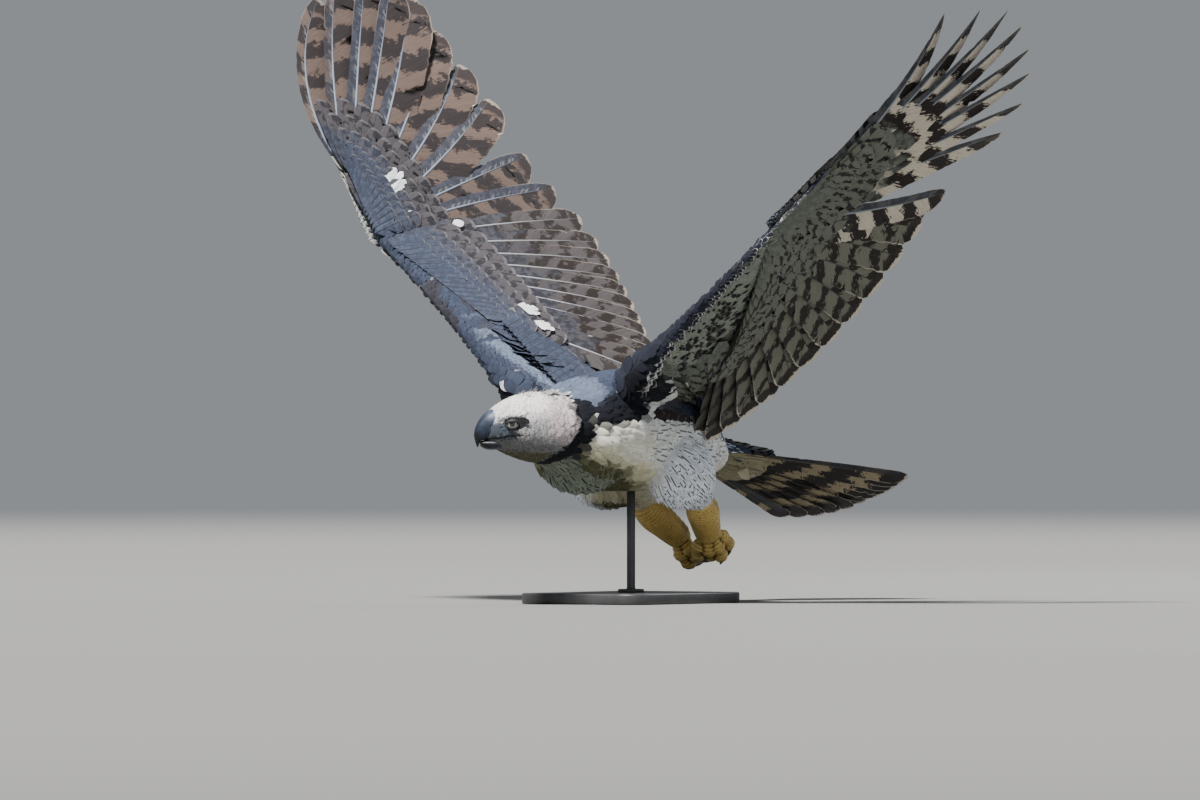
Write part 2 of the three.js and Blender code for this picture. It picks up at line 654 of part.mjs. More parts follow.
function buildWing(w, trunkGrown) {
  const frames = wingFrames(w);
  const slit = 0.006;
  const forearm = (grow) => join(wingFlesh(w, frames, 3, 5, grow), ...secondaries(w, frames, grow));
  const forearmGrown = forearm(GAP);
  const upper = join(wingFlesh(w, frames, 0, 3 - slit), ...tertials(w, frames, 0)).subtract(forearmGrown);
  const hand = join(wingFlesh(w, frames, 5 + slit * 2, 8), ...primaries(w, frames, 0), ...alula(w, frames, 0))
    .subtract(forearmGrown);
  return {
    upper_arm: upper.subtract(trunkGrown),
    forearm: forearm(0).subtract(trunkGrown),
    hand,
  };
}

function tailFlesh(grow = 0) {
  const { back, side, up } = tailFrame();
  const stations = [
    { s: -60, half: 40, high: 26 }, { s: -10, half: 40, high: 22 }, { s: 40, half: 36, high: 15 },
    { s: 80, half: 30, high: 8 },
  ];
  const rings = stations.map(({ s, half, high }) =>
    oval(TAIL.base.clone().addScaledVector(back, s), side, up, half, high, high, 12, grow));
  return solid(loft(rings));
}

function tailFrame() {
  const roll = rad(TAIL.roll);
  const droop = rad(TAIL.droop);
  const yaw = rad(TAIL.yaw);
  const back = v(Math.sin(yaw) * Math.cos(droop), Math.cos(yaw) * Math.cos(droop), -Math.sin(droop));
  const level = back.clone().cross(UP).normalize();
  const rise = level.clone().cross(back);
  const side = level.clone().multiplyScalar(Math.cos(roll)).addScaledVector(rise, Math.sin(roll));
  return { back, side, up: side.clone().cross(back).normalize() };
}

function tailFeathers(grow = 0) {
  const { back, side, up } = tailFrame();
  const made = [];
  for (let k = 0; k < TAIL.count; k++) {
    const share = (2 * k) / (TAIL.count - 1) - 1;
    const outer = Math.sign(share);
    const turn = rad(TAIL.fan * share);
    const dir = back.clone().multiplyScalar(Math.cos(turn)).addScaledVector(side, Math.sin(turn)).normalize();
    const root = TAIL.base.clone().addScaledVector(side, 30 * share)
      .addScaledVector(up, 5 - 13 * Math.abs(share) + (k === TAIL.count / 2 ? 1.8 : 0)).addScaledVector(back, 10);
    made.push(feather({
      root, dir, normal: up, length: TAIL.length - (share < 0 ? TAIL.shortRight : TAIL.shortLeft) * share ** 2,
      width: TAIL.width,
      lead: 0.5 - 0.08 * outer, camber: 3, sweep: 0, tilt: 6 * outer, thick: 1, rows: 4, tip: 0.55,
      pitch: 5.4, fan: rad(2 * TAIL.fan) / TAIL.count, lap: 2.1,
    }, grow));
  }
  return made;
}

// Rows of coverts over and under the roots of the tail.
function tailCoverts(grow = 0) {
  const { back, side, up } = tailFrame();
  const made = [];
  for (const [over, count, length] of [[1, 5, 150], [-1, 5, 165]]) {
    for (let k = 0; k < count; k++) {
      const share = (2 * k) / (count - 1) - 1;
      const turn = rad(TAIL.fan * 0.75 * share);
      const dir = back.clone().multiplyScalar(Math.cos(turn)).addScaledVector(side, Math.sin(turn))
        .addScaledVector(up, -0.02 * over);
      made.push(feather({
        root: TAIL.base.clone().addScaledVector(side, 24 * share)
          .addScaledVector(up, over * (14 - 4 * share * share)),
        dir: dir.normalize(), normal: up, length: length * (1 - 0.2 * share * share), width: 52, lead: 0.5,
        camber: 3, sweep: 0, tilt: 6 * Math.sign(share), thick: 1.1, rows: 2, tip: 0.5,
        pitch: 8, fan: rad(1.5 * TAIL.fan) / count, lap: 1.7,
      }, grow));
    }
  }
  return made;
}

// A round limb through points with a radius each.
function limb(points, radii, sides = 12, grow = 0, perStep = 2) {
  const curve = new THREE.CatmullRomCurve3(points, false, "centripetal");
  const count = (points.length - 1) * perStep;
  const knots = radii.map((_, i) => i);
  const rings = [];
  let across = null;
  for (let k = 0; k <= count; k++) {
    const t = k / count;
    const way = curve.getTangent(t);
    const helper = across ?? (Math.abs(way.x) > 0.8 ? v(0, 1, 0) : v(1, 0, 0));
    across = helper.clone().addScaledVector(way, -helper.dot(way)).normalize();
    const upward = way.clone().cross(across).normalize();
    const radius = spline(knots, radii, t * (radii.length - 1));
    rings.push(oval(curve.getPoint(t), across, upward, radius, radius, radius, sides, grow));
  }
  return solid(loft(rings));
}

function thighSolid(leg, grow = 0) {
  return limb([leg.hip, leg.knee, leg.shin, leg.cuff], [44, 60, 42, 24], 14, grow);
}

function tarsusSolid(leg, grow = 0) {
  const down = leg.ball.clone().sub(leg.heel);
  const along = (s) => leg.heel.clone().addScaledVector(down, s);
  return limb([along(-0.3), along(0.1), along(0.45), along(0.85)], [19, 26, 24, 22], 10, grow, 1);
}

// The foot's own frame: down along the shank, forward over it, and to the left.
function footFrame(leg) {
  const down = leg.ball.clone().sub(leg.heel).normalize();
  const left = v(1, 0, 0).addScaledVector(down, -down.x).normalize();
  return { down, left, fore: down.clone().cross(left).normalize() };
}

// A toe's middle line: it leaves the ball at its heading and curls under.
function toeLine(leg, toe, from, to, count) {
  const { down, left, fore } = footFrame(leg);
  const heading = rad(toe.heading);
  const out = fore.clone().multiplyScalar(Math.cos(heading)).addScaledVector(left, Math.sin(heading)).normalize();
  const points = [];
  const at = leg.ball.clone().addScaledVector(out, 9);
  const steps = 40;
  const total = toe.length + toe.claw;
  let travelled = 0;
  const marks = Array.from({ length: count }, (_, i) => mix(from, to, i / (count - 1)));
  for (let i = 0; i <= steps * 1.2; i++) {
    const share = travelled / total;
    while (marks.length && travelled >= marks[0] - 1e-6) {
      points.push(at.clone());
      marks.shift();
    }
    const bend = rad(toe.start + toe.curl * share);
    const way = out.clone().multiplyScalar(Math.cos(bend)).addScaledVector(down, Math.sin(bend));
    at.addScaledVector(way, total / steps);
    travelled += total / steps;
  }
  return points;
}

function footSolid(leg, grow = 0) {
  const { down, left, fore } = footFrame(leg);
  const ball = ellipsoid(leg.ball.clone().addScaledVector(down, -5), [left, fore, down], [25, 25, 27], grow);
  const toes = leg.toes.map((toe) => {
    const g = toe.girth;
    return limb(toeLine(leg, toe, 0, toe.length, 6), [g * 1.2, g, g * 1.12, g * 0.9, g, g * 0.7], 7, grow, 1);
  });
  return join(ball, ...toes);
}

function talonSolid(leg, toe, grow = 0) {
  const thick = toe.claw * 0.17;
  return limb(
    toeLine(leg, toe, toe.length - 7, toe.length + toe.claw - 3, 6),
    [thick * 0.8, thick, thick * 0.86, thick * 0.62, thick * 0.36, 0.8], 6, grow, 1,
  );
}

function roundedBase() {
  const { length, width, corner, thick } = BASE;
  const [x, y] = [width / 2, length / 2];
  const shape = new THREE.Shape();
  shape.moveTo(-x + corner, -y);
  shape.lineTo(x - corner, -y);
  shape.absarc(x - corner, -y + corner, corner, -Math.PI / 2, 0);
  shape.lineTo(x, y - corner);
  shape.absarc(x - corner, y - corner, corner, 0, Math.PI / 2);
  shape.lineTo(-x + corner, y);
  shape.absarc(-x + corner, y - corner, corner, Math.PI / 2, Math.PI);
  shape.lineTo(-x, -y + corner);
  shape.absarc(-x + corner, -y + corner, corner, Math.PI, 1.5 * Math.PI);
  return new THREE.ExtrudeGeometry(shape, { depth: thick, bevelEnabled: false, curveSegments: 4 });
}

// The rod stands on a round foot and ends against the belly.
function rodSolid(trunkGrown) {
  const low = -TRUNK_HEIGHT + BASE.thick + GAP;
  const profile = [
    [0, 0], [ROD.flangeRadius, 0], [ROD.flangeRadius, ROD.flangeThick - 2], [ROD.flangeRadius - 2, ROD.flangeThick],
    [ROD.radius, ROD.flangeThick], [ROD.radius, TRUNK_HEIGHT - BASE.thick - 60], [0, TRUNK_HEIGHT - BASE.thick - 60],
  ].map(([r, z]) => new THREE.Vector2(r, z));
  const rod = new THREE.LatheGeometry(profile, 12).rotateX(Math.PI / 2).translate(ROD.at.x, ROD.at.y, low);
  return solid(rod).subtract(trunkGrown);
}

const FINISH = {
  slate: { color: 0x32363f, roughness: 0.8 },
  white: { color: 0xd9d6cc, roughness: 0.9 },
  head: { color: 0xb9b6b3, roughness: 0.9 },
  collar: { color: 0x17181c, roughness: 0.85 },
  barred: { color: 0xb9b7ae, roughness: 0.9 },
  tail: { color: 0x4a443e, roughness: 0.8 },
  skin: { color: 0xb98a2c, roughness: 0.6 },
  horn: { color: 0x23252a, roughness: 0.35 },
  eye: { color: 0x8f917e, roughness: 0.1 },
  stand: { color: 0x2a2a2c, roughness: 0.5 },
};

function addNode(group, name, manifold, finish) {
  const material = new THREE.MeshStandardMaterial({ metalness: 0, ...FINISH[finish] });
  const mesh = new THREE.Mesh(largest(manifold), material);
  mesh.name = name;
  group.add(mesh);
}

function buildHead(bird) {
  const crestGrown = join(...crest(GAP));
  const skinGrown = headSkin(GAP);
  const neck = neckSolid().subtract(trunkSolid(GAP)).subtract(skinGrown).subtract(crestGrown);
  addNode(bird, "neck", neck, "collar");
  let head = join(headSkin(), ...crest(), brow(1), brow(-1), lids(1), lids(-1));
  for (const side of [1, -1]) head = head.subtract(eyeBall(side, GAP)).subtract(gape(side));
  const upperGrown = billSolid(UPPER_BILL, GAP);
  const lowerGrown = billSolid(LOWER_BILL, GAP);
  addNode(bird, "head", head.subtract(upperGrown).subtract(lowerGrown), "head");
  addNode(bird, "bill_upper", billSolid(UPPER_BILL).subtract(nostril(1)).subtract(nostril(-1)), "horn");
  addNode(bird, "bill_lower", billSolid(LOWER_BILL).subtract(upperGrown), "horn");
  addNode(bird, "eye_left", eyeBall(1), "eye");
  addNode(bird, "eye_right", eyeBall(-1), "eye");
}

function buildLeg(group, leg, side, trunkGrown) {
  const thighGrown = thighSolid(leg, GAP);
  const footGrown = footSolid(leg, GAP);
  addNode(group, "thigh_" + side, thighSolid(leg).subtract(trunkGrown), "barred");
  addNode(group, "tarsus_" + side, tarsusSolid(leg).subtract(thighGrown).subtract(footGrown), "skin");
  let foot = footSolid(leg).subtract(thighGrown);
  const talons = leg.toes.map((toe) => ({ toe, made: talonSolid(leg, toe) }));
  for (const { toe } of talons) foot = foot.subtract(talonSolid(leg, toe, GAP));
  addNode(group, "foot_" + side, foot, "skin");
  for (const { toe, made } of talons) addNode(group, "talon_" + side + "_" + toe.name, made, "horn");
}

const root = new THREE.Group();
const bird = new THREE.Group();
bird.position.set(0, TRUNK_SHIFT_Y, TRUNK_HEIGHT);
root.add(bird);
const mirrored = new THREE.Group();
mirrored.scale.set(-1, 1, 1);
bird.add(mirrored);

const trunkGrown = trunkSolid(GAP);
const tailGrown = join(tailFlesh(GAP), ...tailCoverts(GAP));
addNode(bird, "torso", trunkSolid().subtract(tailGrown).subtract(headSkin(GAP)).subtract(join(crest(GAP))), "white");
buildHead(bird);
for (const [group, side, wing, leg, trunk] of [
  [bird, "left", LEFT_WING, LEFT_LEG, trunkGrown],
  [mirrored, "right", RIGHT_WING, RIGHT_LEG, trunkSolid(GAP, -1)],
]) {
  const parts = buildWing(wing, trunk);
  for (const [name, made] of Object.entries(parts)) addNode(group, "wing_" + side + "_" + name, made, "slate");
  buildLeg(group, leg, side, trunk);
}
addNode(bird, "tail", join(tailFlesh(), ...tailFeathers(), ...tailCoverts()), "tail");
addNode(bird, "stand_rod", rodSolid(trunkGrown), "stand");

const base = new THREE.Mesh(roundedBase(), new THREE.MeshStandardMaterial({ metalness: 0, ...FINISH.stand }));
base.name = "stand_base";
root.add(base);

export default root;
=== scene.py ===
"""A harpy eagle in flight on a plain display stand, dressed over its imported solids.

Sizes are in millimetres in the bird's own frame: +X is its left, -Y forward, +Z up, and the middle of
its trunk is zero. They become metres in the shared frame when a piece's mesh is made.
"""

import logging
import math
from dataclasses import dataclass, field, replace
from enum import Enum
from typing import Any, Callable, Iterable, Sequence

import bmesh
import bpy
import numpy as np
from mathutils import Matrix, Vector
from mathutils.bvhtree import BVHTree


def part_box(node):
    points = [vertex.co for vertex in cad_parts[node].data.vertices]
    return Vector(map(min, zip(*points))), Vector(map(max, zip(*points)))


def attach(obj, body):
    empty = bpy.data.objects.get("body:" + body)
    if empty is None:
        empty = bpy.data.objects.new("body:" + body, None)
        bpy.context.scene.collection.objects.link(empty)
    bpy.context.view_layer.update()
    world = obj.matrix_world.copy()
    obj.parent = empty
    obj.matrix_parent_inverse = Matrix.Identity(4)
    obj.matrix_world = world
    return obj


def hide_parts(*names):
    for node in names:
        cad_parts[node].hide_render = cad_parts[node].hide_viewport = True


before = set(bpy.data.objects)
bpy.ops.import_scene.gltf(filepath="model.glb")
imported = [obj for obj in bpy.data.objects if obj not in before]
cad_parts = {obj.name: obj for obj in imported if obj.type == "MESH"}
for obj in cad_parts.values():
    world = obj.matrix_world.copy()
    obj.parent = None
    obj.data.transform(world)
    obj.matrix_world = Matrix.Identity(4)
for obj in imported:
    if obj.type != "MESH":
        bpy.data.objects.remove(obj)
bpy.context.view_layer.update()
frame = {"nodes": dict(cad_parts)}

LOG = logging.getLogger("eagle")
Array = np.ndarray
Colour = tuple[float, float, float]
Place = tuple[float, float, float]
Rng = np.random.Generator
Node = bpy.types.Node
Socket = bpy.types.NodeSocket
Material = bpy.types.Material
Mesh = bpy.types.Mesh
Object = bpy.types.Object

MM = 0.001
SEED = 11
BASE_LOW, BASE_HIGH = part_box("stand_base")
TRUNK_HEIGHT = 285.0
TRUNK_SHIFT = 35.0
BASE_MIDDLE = (BASE_LOW + BASE_HIGH) / 2
BIRD_AT = np.array([BASE_MIDDLE.x, BASE_MIDDLE.y + TRUNK_SHIFT * MM, BASE_LOW.z + TRUNK_HEIGHT * MM])


class Region(Enum):
    """The parts of the body that one skin covers."""

    TRUNK = 0
    NECK = 1
    HEAD = 2
    WING_LEFT = 3
    WING_RIGHT = 4
    THIGH_LEFT = 5
    THIGH_RIGHT = 6
    TAIL = 7


class Face(Enum):
    """The two faces of a vane."""

    OVER = 0
    UNDER = 1


class Side(Enum):
    """The bird's two sides; what lies on the right is built as on the left and mirrored."""

    LEFT = "left"
    RIGHT = "right"

    @property
    def flip(self) -> Array:
        """Takes a point of the left side to this side, and back."""
        return vec(1 if self is Side.LEFT else -1, 1, 1)

    @property
    def wing(self) -> Region:
        """This side's wing."""
        return Region.WING_LEFT if self is Side.LEFT else Region.WING_RIGHT

    @property
    def thigh(self) -> Region:
        """This side's thigh."""
        return Region.THIGH_LEFT if self is Side.LEFT else Region.THIGH_RIGHT

    def own(self, shape: "Shape") -> "Shape":
        """A shape of the left side, on this side."""
        return shape if self is Side.LEFT else shape.mirrored()


def vec(x: float, y: float, z: float) -> Array:
    """A point or direction."""
    return np.array([x, y, z], float)


def unit(a: Array) -> Array:
    """The direction of a, or of each row of it."""
    return a / np.maximum(np.linalg.norm(a, axis=-1, keepdims=True), 1e-12)


def dots(a: Array, b: Array) -> Array:
    """The dot product of each row of two arrays."""
    return np.einsum("ij,ij->i", a, b)


def between(a: Array, b: Array, share: float) -> Array:
    """The point at a share of the way from one point to another."""
    return a * (1 - share) + b * share


def circle(count: int) -> Array:
    """Evenly spaced turns round a circle, in radians."""
    return 2 * np.pi * np.arange(count) / count


def rise(low: float, high: float, x: Any) -> Any:
    """0 below low, 1 above high, and smooth between them."""
    t = np.clip((x - low) / (high - low), 0, 1)
    return t * t * (3 - 2 * t)


def hill(middle: float, spread: float, x: Any) -> Any:
    """1 at the middle, falling smoothly to 0 away from it."""
    return np.exp(-(((x - middle) / spread) ** 2))


def spline(knots: Sequence[float], values: Any, x: Any) -> Array:
    """Values of a table of stations at x, smooth through the given knots.

    Args:
        knots: where the stations are, rising.
        values: a number or a point for each station.
        x: one place or many.

    Returns:
        The values, one row for each place.
    """
    knots = np.asarray(knots, float)
    values = np.asarray(values, float)
    x = np.atleast_1d(np.asarray(x, float))
    n = len(knots)
    k = np.clip(np.searchsorted(knots, x, side="left") - 1, 0, n - 2)
    low = np.maximum(np.arange(n) - 1, 0)
    high = np.minimum(np.arange(n) + 1, n - 1)
    wide = values.ndim > 1
    run = (knots[high] - knots[low])[:, None] if wide else knots[high] - knots[low]
    slope = (values[high] - values[low]) / run
    h = knots[k + 1] - knots[k]
    t = np.clip((x - knots[k]) / h, 0, 1)
    if wide:
        h, t = h[:, None], t[:, None]
    t2, t3 = t * t, t * t * t
    return (
        (2 * t3 - 3 * t2 + 1) * values[k]
        + (t3 - 2 * t2 + t) * h * slope[k]
        + (3 * t2 - 2 * t3) * values[k + 1]
        + (t3 - t2) * h * slope[k + 1]
    )


@dataclass
class Shape:
    """Points, faces and the values they carry; a face's values come triangles first."""

    points: Array
    tris: Array
    quads: Array
    values: dict[str, Array] = field(default_factory=dict)
    face_values: dict[str, Array] = field(default_factory=dict)
    tri_map: Array | None = None
    quad_map: Array | None = None

    @property
    def face_count(self) -> int:
        """How many faces it has."""
        return len(self.tris) + len(self.quads)

    def mirrored(self) -> "Shape":
        """Its twin on the bird's other side, still facing outwards."""
        return replace(
            self,
            points=self.points * vec(-1, 1, 1),
            tris=self.tris[:, ::-1],
            quads=self.quads[:, ::-1],
            tri_map=None if self.tri_map is None else self.tri_map[:, ::-1],
            quad_map=None if self.quad_map is None else self.quad_map[:, ::-1],
        )

    def outward(self) -> "Shape":
        """Itself, turned inside out if it encloses a negative volume."""
        q = self.quads
        cut = np.concatenate([self.tris, q[:, [0, 1, 2]], q[:, [0, 2, 3]]])
        a, b, c = (self.points[cut[:, k]] for k in range(3))
        if float(np.einsum("ij,ij->", a, np.cross(b, c))) >= 0:
            return self
        return replace(self, tris=self.tris[:, ::-1], quads=q[:, ::-1])


def joined(shapes: Iterable[Shape]) -> Shape:
    """Several shapes that carry the same values, as one."""
    shapes = list(shapes)
    starts = np.cumsum([0] + [len(s.points) for s in shapes[:-1]])
    face_values = {}
    for name in shapes[0].face_values:
        of_tris = [s.face_values[name][: len(s.tris)] for s in shapes]
        of_quads = [s.face_values[name][len(s.tris) :] for s in shapes]
        face_values[name] = np.concatenate(of_tris + of_quads)
    mapped = shapes[0].quad_map is not None
    return Shape(
        np.concatenate([s.points for s in shapes]),
        np.concatenate([s.tris + a for s, a in zip(shapes, starts)]),
        np.concatenate([s.quads + a for s, a in zip(shapes, starts)]),
        {n: np.concatenate([s.values[n] for s in shapes]) for n in shapes[0].values},
        face_values,
        np.concatenate([s.tri_map for s in shapes]) if mapped else None,
        np.concatenate([s.quad_map for s in shapes]) if mapped else None,
    )


def tube(rings: Array) -> Shape:
    """A closed surface through rings of equally many points, with a fan over each end."""
    count, sides = rings.shape[:2]
    points = np.concatenate([rings.reshape(-1, 3), [rings[0].mean(0), rings[-1].mean(0)]])
    i = np.arange(sides)
    j = (i + 1) % sides
    rows = np.arange(count - 1)[:, None] * sides
    a, b = (rows + i).ravel(), (rows + j).ravel()
    quads = np.stack([a, b, b + sides, a + sides], 1)
    last = (count - 1) * sides
    low = np.stack([j, i, np.full(sides, count * sides)], 1)
    high = np.stack([i + last, j + last, np.full(sides, count * sides + 1)], 1)
    return Shape(points, np.concatenate([low, high]), quads).outward()


def ovals(middle: Array, across: Array, upward: Array, half: Any, up: Any, down: Any, sides: int) -> Array:
    """Rings round each middle, along two directions, with their own height above and below.

    Args:
        middle: the middle of each ring.
        across: the way across each ring.
        upward: the way up through it.
        half: half its width.
        up: how far it reaches up.
        down: how far it reaches down.
        sides: points in each ring.

    Returns:
        The rings.
    """
    turn = circle(sides)
    sine = np.sin(turn)[None, :]
    half, up, down = (np.atleast_1d(np.asarray(x, float))[:, None] for x in (half, up, down))
    high = sine * np.where(sine > 0, up, down)
    wide = np.cos(turn)[None, :] * half
    return middle[:, None] + across[:, None] * wide[..., None] + upward[:, None] * high[..., None]


def make_object(name: str, shape: Shape, material: Material | None = None) -> Object:
    """A Blender object of a shape, placed in the shared frame through its mesh.

    Args:
        name: the piece's name.
        shape: the shape in the bird's frame.
        material: its finish.

    Returns:
        The object, smooth but for edges between a vane's two faces.
    """
    mesh = bpy.data.meshes.new(name)
    points = shape.points * MM + BIRD_AT
    sides = np.concatenate([np.full(len(shape.tris), 3), np.full(len(shape.quads), 4)]).astype(np.int32)
    corners = np.concatenate([shape.tris.ravel(), shape.quads.ravel()]).astype(np.int32)
    mesh.vertices.add(len(points))
    mesh.vertices.foreach_set("co", points.astype(np.float32).ravel())
    mesh.loops.add(len(corners))
    mesh.loops.foreach_set("vertex_index", corners)
    mesh.polygons.add(len(sides))
    starts = np.concatenate([[0], np.cumsum(sides)[:-1]]).astype(np.int32)
    mesh.polygons.foreach_set("loop_start", starts)
    mesh.polygons.foreach_set("use_smooth", np.ones(len(sides), bool))
    mesh.update(calc_edges=True)
    for domain, table in (("POINT", shape.values), ("FACE", shape.face_values)):
        for key, value in table.items():
            add_value(mesh, key, value, domain)
    if shape.quad_map is not None:
        layer = mesh.uv_layers.new(name="OFBake")
        places = np.concatenate([shape.tri_map.reshape(-1, 2), shape.quad_map.reshape(-1, 2)])
        layer.uv.foreach_set("vector", places.astype(np.float32).ravel())
    if "under" in shape.face_values:
        sharpen(mesh, np.repeat(shape.face_values["under"], sides))
    made = bpy.data.objects.new(name, mesh)
    bpy.context.scene.collection.objects.link(made)
    if material:
        mesh.materials.append(material)
    return made


def add_value(mesh: Mesh, name: str, value: Array, domain: str = "POINT") -> None:
    """Stores numbers, triples or colours on a mesh.

    Args:
        mesh: the mesh.
        name: what they are called.
        value: one, three or four numbers for each item.
        domain: what carries them: the points, the faces or the faces' corners.
    """
    value = np.asarray(value, np.float32)
    width = value.shape[1] if value.ndim > 1 else 1
    kind, slot = {1: ("FLOAT", "value"), 3: ("FLOAT_VECTOR", "vector"), 4: ("FLOAT_COLOR", "color")}[width]
    mesh.attributes.new(name, kind, domain).data.foreach_set(slot, value.ravel())


def sharpen(mesh: Mesh, side_of_corner: Array) -> None:
    """Marks as sharp each edge where a vane's over and under face meet.

    Args:
        mesh: the mesh of vanes.
        side_of_corner: 0 for each corner of an over face and 1 for one of an under face.
    """
    edge = np.zeros(len(mesh.loops), np.int32)
    mesh.loops.foreach_get("edge_index", edge)
    low = np.full(len(mesh.edges), 2.0)
    high = np.full(len(mesh.edges), -1.0)
    np.minimum.at(low, edge, side_of_corner)
    np.maximum.at(high, edge, side_of_corner)
    mesh.attributes.new("sharp_edge", "BOOLEAN", "EDGE").data.foreach_set("value", high - low > 0.5)


def settle(obj: Object, slot: str, *nodes: str) -> None:
    """Finishes a piece: it rides on the bird and stands for CAD nodes.

    Args:
        obj: the piece.
        slot: the slot; not used.
        nodes: the nodes that it stands for.
    """
    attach(obj, "root")
    if nodes:
        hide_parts(*nodes)
    triangles = sum(p.loop_total - 2 for p in obj.data.polygons)
    LOG.info("%s: %d triangles, stands for %s", obj.name, triangles, ", ".join(nodes) or "no node")


class NodeGraph:
    """A tree of nodes that is built by calls."""

    def __init__(self, tree: bpy.types.NodeTree) -> None:
        """Takes the tree."""
        self.tree = tree

    def node(self, kind: str, inputs: dict[Any, Any] | None = None, **settings: Any) -> Node:
        """Adds a node.

        Args:
            kind: the node's type name.
            inputs: values or sockets for its inputs.
            settings: its properties.

        Returns:
            The node.
        """
        made = self.tree.nodes.new(kind)
        for key, value in settings.items():
            setattr(made, key, value)
        for key, value in (inputs or {}).items():
            self.feed(made.inputs[key], value)
        return made

    def feed(self, socket: Socket, value: Any) -> None:
        """Links a socket to an input, or sets it there."""
        if isinstance(value, Socket):
            self.tree.links.new(value, socket)
        elif isinstance(value, (tuple, list)) and len(value) == 3 and len(socket.default_value) == 4:
            socket.default_value = (*value, 1.0)
        else:
            socket.default_value = value

    def math(self, operation: str, a: Any, b: Any = 0.0, c: Any = 0.0) -> Socket:
        """One operation on numbers."""
        return self.node("ShaderNodeMath", {0: a, 1: b, 2: c}, operation=operation).outputs[0]

    def times(self, a: Any, b: Any) -> Socket:
        """a times b."""
        return self.math("MULTIPLY", a, b)

    def times_plus(self, a: Any, b: Any, c: Any) -> Socket:
        """a times b, plus c."""
        return self.math("MULTIPLY_ADD", a, b, c)

    def plus(self, a: Any, b: Any) -> Socket:
        """a plus b."""
        return self.math("ADD", a, b)

    def minus(self, a: Any, b: Any) -> Socket:
        """a less b."""
        return self.math("SUBTRACT", a, b)

    def size(self, a: Any) -> Socket:
        """a without its sign."""
        return self.math("ABSOLUTE", a)

    def greater(self, a: Any, b: Any) -> Socket:
        """The greater of two numbers."""
        return self.math("MAXIMUM", a, b)


class Graph(NodeGraph):
    """A material's nodes."""

    def __init__(self, name: str) -> None:
        """Starts an empty material."""
        self.material = bpy.data.materials.new(name)
        self.material.use_nodes = True
        super().__init__(self.material.node_tree)
        self.tree.nodes.clear()

    def read(self, name: str) -> list[Socket]:
        """The three numbers of a value that the mesh carries."""
        found = self.node("ShaderNodeAttribute", attribute_name=name)
        parts = self.node("ShaderNodeSeparateXYZ", {0: found.outputs["Vector"]})
        return list(parts.outputs)

    def colour_of(self, name: str) -> Socket:
        """A colour that the mesh carries."""
        return self.node("ShaderNodeAttribute", attribute_name=name).outputs["Color"]

    def number(self, name: str) -> Socket:
        """A number that the mesh carries."""
        return self.node("ShaderNodeAttribute", attribute_name=name).outputs["Fac"]

    def ease(self, value: Any, low: float, high: float) -> Socket:
        """0 below low, 1 above high, smooth between; low may be the greater."""
        limits = {"Value": value, "From Min": low, "From Max": high}
        return self.node("ShaderNodeMapRange", limits, interpolation_type="SMOOTHSTEP").outputs["Result"]

    def mix(self, share: Any, a: Any, b: Any) -> Socket:
        """Colour a where the share is 0 and b where it is 1.

        Args:
            share: how much of the second colour.
            a: the first colour.
            b: the second colour.

        Returns:
            The colour's socket.
        """
        made = self.node("ShaderNodeMix", data_type="RGBA")
        self.feed(made.inputs[0], share)
        self.feed(made.inputs[6], a)
        self.feed(made.inputs[7], b)
        return made.outputs[2]

    def point(self, x: Any, y: Any, z: Any = 0.0) -> Socket:
        """A vector of three numbers."""
        return self.node("ShaderNodeCombineXYZ", {0: x, 1: y, 2: z}).outputs[0]

    def noise(self, at: Any, scale: float, detail: float = 3.0, rough: float = 0.55) -> Socket:
        """Smooth noise from 0 to 1 at a vector."""
        inputs = {"Vector": at, "Scale": scale, "Detail": detail, "Roughness": rough}
        return self.node("ShaderNodeTexNoise", inputs).outputs["Fac"]

    def place(self, scale: float = 1.0) -> Socket:
        """Object coordinates."""
        found = self.node("ShaderNodeTexCoord").outputs["Object"]
        if scale == 1.0:
            return found
        made = self.node("ShaderNodeVectorMath", {0: found, "Scale": scale}, operation="SCALE")
        return made.outputs[0]

    def bump(self, height: Any, strength: float, distance: float) -> Socket:
        """A normal that a height bends."""
        made = self.node("ShaderNodeBump", {"Height": height, "Strength": strength, "Distance": distance})
        return made.outputs[0]

    def surface(self, colour: Any, roughness: Any, normal: Any = None, **constants: Any) -> Material:
        """Ends the graph in a shader.

        Args:
            colour: base colour, a socket or a triple.
            roughness: a socket or a number.
            normal: a bent normal, if any.
            constants: more shader inputs by their names, with _ for a space.

        Returns:
            The material.
        """
        shader = self.node("ShaderNodeBsdfPrincipled", {"Base Color": colour, "Roughness": roughness})
        if normal is not None:
            self.feed(shader.inputs["Normal"], normal)
        for key, value in constants.items():
            self.feed(shader.inputs[key.replace("_", " ")], value)
        self.node("ShaderNodeOutputMaterial", {"Surface": shader.outputs[0]})
        return self.material


@dataclass(frozen=True)
class VanePlace:
    """Sockets that tell where on a flight feather a point lies, and which feather it is."""

    edge: Any
    share: Any
    seed: Any
    across: Any
    along: Any
    rank: Any


def dimmed(colour: Colour, by: float) -> Colour:
    """A colour made darker or lighter, no lighter than white."""
    return tuple(min(1.0, part * by) for part in colour)


